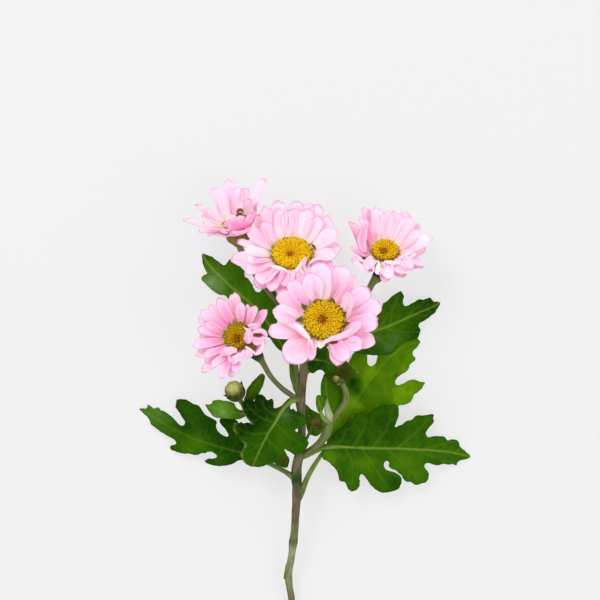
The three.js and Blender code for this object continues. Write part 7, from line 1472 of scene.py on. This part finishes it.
def bud(name, b, look):
    rng = seed(name)
    c, n = plan(b["c"][0], b["c"][1], b["z"]), unit(b["n"])
    e1 = unit(np.array([1.0, 0, 0]) - n * n[0])
    e2 = np.cross(n, e1)
    r, h = b["r"] * 0.92 * PLUMP.get(name, 1.0), b["h"] * 0.95
    loose, reach = FLARE[name]
    brown = 0.76 if name == "brown_bud" else 0.0
    spots = BUD_SPOTS.get(name, [])

    def painted_light_and_brown(q):
        """How much painted light and painted shade the bud has, and how brown it is, at points of its skin."""
        u, v = seen(q)
        return np.stack([sum((how * bell(np.hypot(u - a, v - b), reach) for a, b, reach, how, which in spots if which == k), np.zeros(len(q))) for k in range(3)], 1)

    counts = (7, 8, 9, 8)
    shape = Shape(2 * sum(counts) + 2 * loose + 2)
    prof = spline([[0.0, -h], [0.5 * r, -h * 0.98], [0.86 * r, -0.6 * h], [r * 0.97, -0.1 * h], [0.9 * r, 0.42 * h], [0.62 * r, 0.8 * h], [0.3 * r, 0.93 * h], [0.0, 0.96 * h]], 4)
    prof[0, 0] = prof[-1, 0] = 0
    sides = 30
    lathe(shape, c, n, prof, sides, brown=brown, petal=np.concatenate([np.stack([np.full(sides, 0.2), np.full(sides, 0.8), np.full(sides, 0.3)], -1)] * (len(prof) - 2) + [np.array([[0.2, 0.3, 0.3], [0.2, 0.9, 0.3]])]))
    d = np.r_[0, np.cumsum(np.linalg.norm(np.diff(prof, axis=0), axis=1))]
    for row, count in enumerate(counts):
        a0, a1 = ((0.04, 0.45), (0.12, 0.62), (0.24, 0.80), (0.42, 0.95))[row]
        for k in range(count):
            phi = 2 * math.pi * (k + 0.5 * (row % 2) + rng.uniform(-0.15, 0.15)) / count
            rows, cols = 9, 7
            s = np.linspace(-1, 1, cols)[None, :]
            T = np.linspace(0, 1, rows)[:, None] * (1 - 0.34 * (1 - np.sqrt(np.clip(1 - s * s, 0, 1))))
            along = (a0 + (a1 - a0 + rng.uniform(-0.05, 0.02)) * T) * d[-1]
            rad, hh = np.interp(along, d, prof[:, 0]), np.interp(along, d, prof[:, 1])
            half = (math.pi / count) * 1.2 * r * (0.7 + 0.3 * np.sin(np.pi * np.clip(T * 0.8 + 0.1, 0, 1)))
            ang = phi + s * np.minimum(half / np.maximum(rad, 0.25 * r), 1.2)
            lift = 0.06 + 0.09 * (3 - row) * r / 4.5 + 0.15 * T**2 + 0.06 * (1 - s * s)
            mid = c + (np.cos(ang)[..., None] * e1 + np.sin(ang)[..., None] * e2) * (rad + lift)[..., None] + n * (hh + lift * 0.3 * T)[..., None]
            sheet(shape, mid[:, ::-1], np.full((rows, cols), 0.12), petal=np.stack(np.broadcast_arrays(s[:, ::-1], T[:, ::-1] * 0.95, rng.uniform()), -1), brown=np.clip(brown + rng.uniform(-0.15, 0.15), 0, 1))
    for k in range(loose):
        phi = 2 * math.pi * (k + rng.uniform(-0.2, 0.2)) / loose
        out = e1 * math.cos(phi) + e2 * math.sin(phi)
        long = reach * rng.uniform(0.82, 1.15)
        T = np.linspace(0, 1, 9)[:, None]
        s = np.linspace(-1, 1, 7)[None, :]
        w = 0.3 * reach * np.sin(np.pi * (0.22 + 0.78 * T)) ** 0.8
        mid = c - n * h * 0.35 + out * (r * 0.75 + long * (0.75 * T - 0.1 * T**2))[..., None] + n * (long * (0.3 * T + 0.6 * T**2) + 0.2 * s * s)[..., None] + (np.cross(n, out)) * (s * w)[..., None]
        sheet(shape, mid[:, ::-1], np.full((9, 7), 0.16), petal=np.stack(np.broadcast_arrays(s[:, ::-1], T[:, ::-1], rng.uniform()), -1), brown=rng.uniform(0.0, 0.3 if name == "left_bud" else 0.9), loose=1.0)
    if name in GROWS_FROM:
        foot = c - n * h * 0.8
        line = spline(rooted(name, [[*seen(foot), foot[2], 0.8], [*seen(foot + n * 0.6), foot[2] + n[2] * 0.6, 0.7]]), 6)
        tube(shape, plan(line[:, 0], line[:, 1], line[:, 2]), line[:, 3], 14, ribs=5, rib=0.06, petal=[[0.2, 0.7, 0.3]], brown=0.45)
    for points, values in zip(shape.points, shape.values):
        values["wear"] = painted_light_and_brown(points)
        if "loose" in values:
            values["wear"] = np.stack([0 * values["loose"], np.maximum(values["wear"][:, 1], 0.5), values["wear"][:, 2]], 1)
    return shape.finish(name + "_fine", look, "withered_bud" if name == "brown_bud" else "green_bud", name)


# ---- the whole spray -----------------------------------------------------------------------------

petal_m, disc_m, bract_m, stem_m, leaf_m, bud_m = petal_look(), disc_look(), bract_look(), stem_look(), leaf_look(), bud_look()

for name in DATA["stems"]:
    stem(name, stem_m)
for name, h in DATA["heads"].items():
    f = head_frame(h)
    disc(name, h, f, disc_m, 0.55 if name == "left_head" else 0.0)
    # how dark each head's cup is; the rear head's, below 0, is painted lighter, a painted highlight where light catches
    # it
    bracts(name, h, f, bract_m, dict(right_head=0.75, left_head=0.45, rear_head=-0.28).get(name, 0.0))
    whorl(name, h, f, 1, petal_m)
    whorl(name, h, f, 0, petal_m)
for name, b in DATA["buds"].items():
    bud(name, b, bud_m)
for name, d in DATA["leaves"].items():
    leaf(name, d, leaf_m)

# ---- floor, light and camera ------------------------------------------------------------------------

floor_mesh = bpy.data.meshes.new("floor")
floor_mesh.from_pydata([(-4, -4, -0.0002), (4, -4, -0.0002), (4, 4, -0.0002), (-4, 4, -0.0002)], [], [(0, 1, 2, 3)])
floor = bpy.data.objects.new("floor", floor_mesh)
bpy.context.scene.collection.objects.link(floor)
paper = bpy.data.materials.new("floor_paper")
paper.use_nodes = True
pb = paper.node_tree.nodes["Principled BSDF"].inputs
pb["Base Color"].default_value = (0.20, 0.20, 0.20, 1)
pb["Roughness"].default_value = 0.9
pb["Specular IOR Level"].default_value = 0.0
pb["Emission Color"].default_value = (1, 1, 1, 1)
pb["Emission Strength"].default_value = 0.652
floor_mesh.materials.append(paper)

world = bpy.data.worlds.new("studio")
world.use_nodes = True
bg = world.node_tree.nodes["Background"].inputs
bg["Color"].default_value = (1, 1, 1, 1)
bg["Strength"].default_value = 0.72
bpy.context.scene.world = world


def lamp(name, at, to, size, power, colour=(1, 1, 1)):
    data = bpy.data.lights.new(name, "AREA")
    data.shape = "DISK"
    data.size = size
    data.energy = power
    data.color = colour
    ob = bpy.data.objects.new(name, data)
    ob.location = at
    ob.rotation_euler = (Vector(to) - Vector(at)).to_track_quat("-Z", "Y").to_euler()
    ob.visible_camera = False
    bpy.context.scene.collection.objects.link(ob)
    return ob


lamp("key", (-0.55, 0.75, 1.15), (0, 0.03, 0.03), 0.7, 9.2)
lamp("fill", (0.75, -0.35, 1.0), (0, 0, 0.03), 0.9, 4.5)

cam_data = bpy.data.cameras.new("camera")
cam_data.lens = 120
cam_data.sensor_width = 36
cam_data.clip_start, cam_data.clip_end = 0.05, 20
cam = bpy.data.objects.new("camera", cam_data)
cam.location = (OFFSET[0] / 1000, OFFSET[1] / 1000, (DATA["CAM"] + DATA["Z0"]) / 1000)
cam.rotation_euler = (0, 0, 0)
bpy.context.scene.collection.objects.link(cam)
bpy.context.scene.camera = cam
bpy.context.scene.view_settings.view_transform = "Standard"
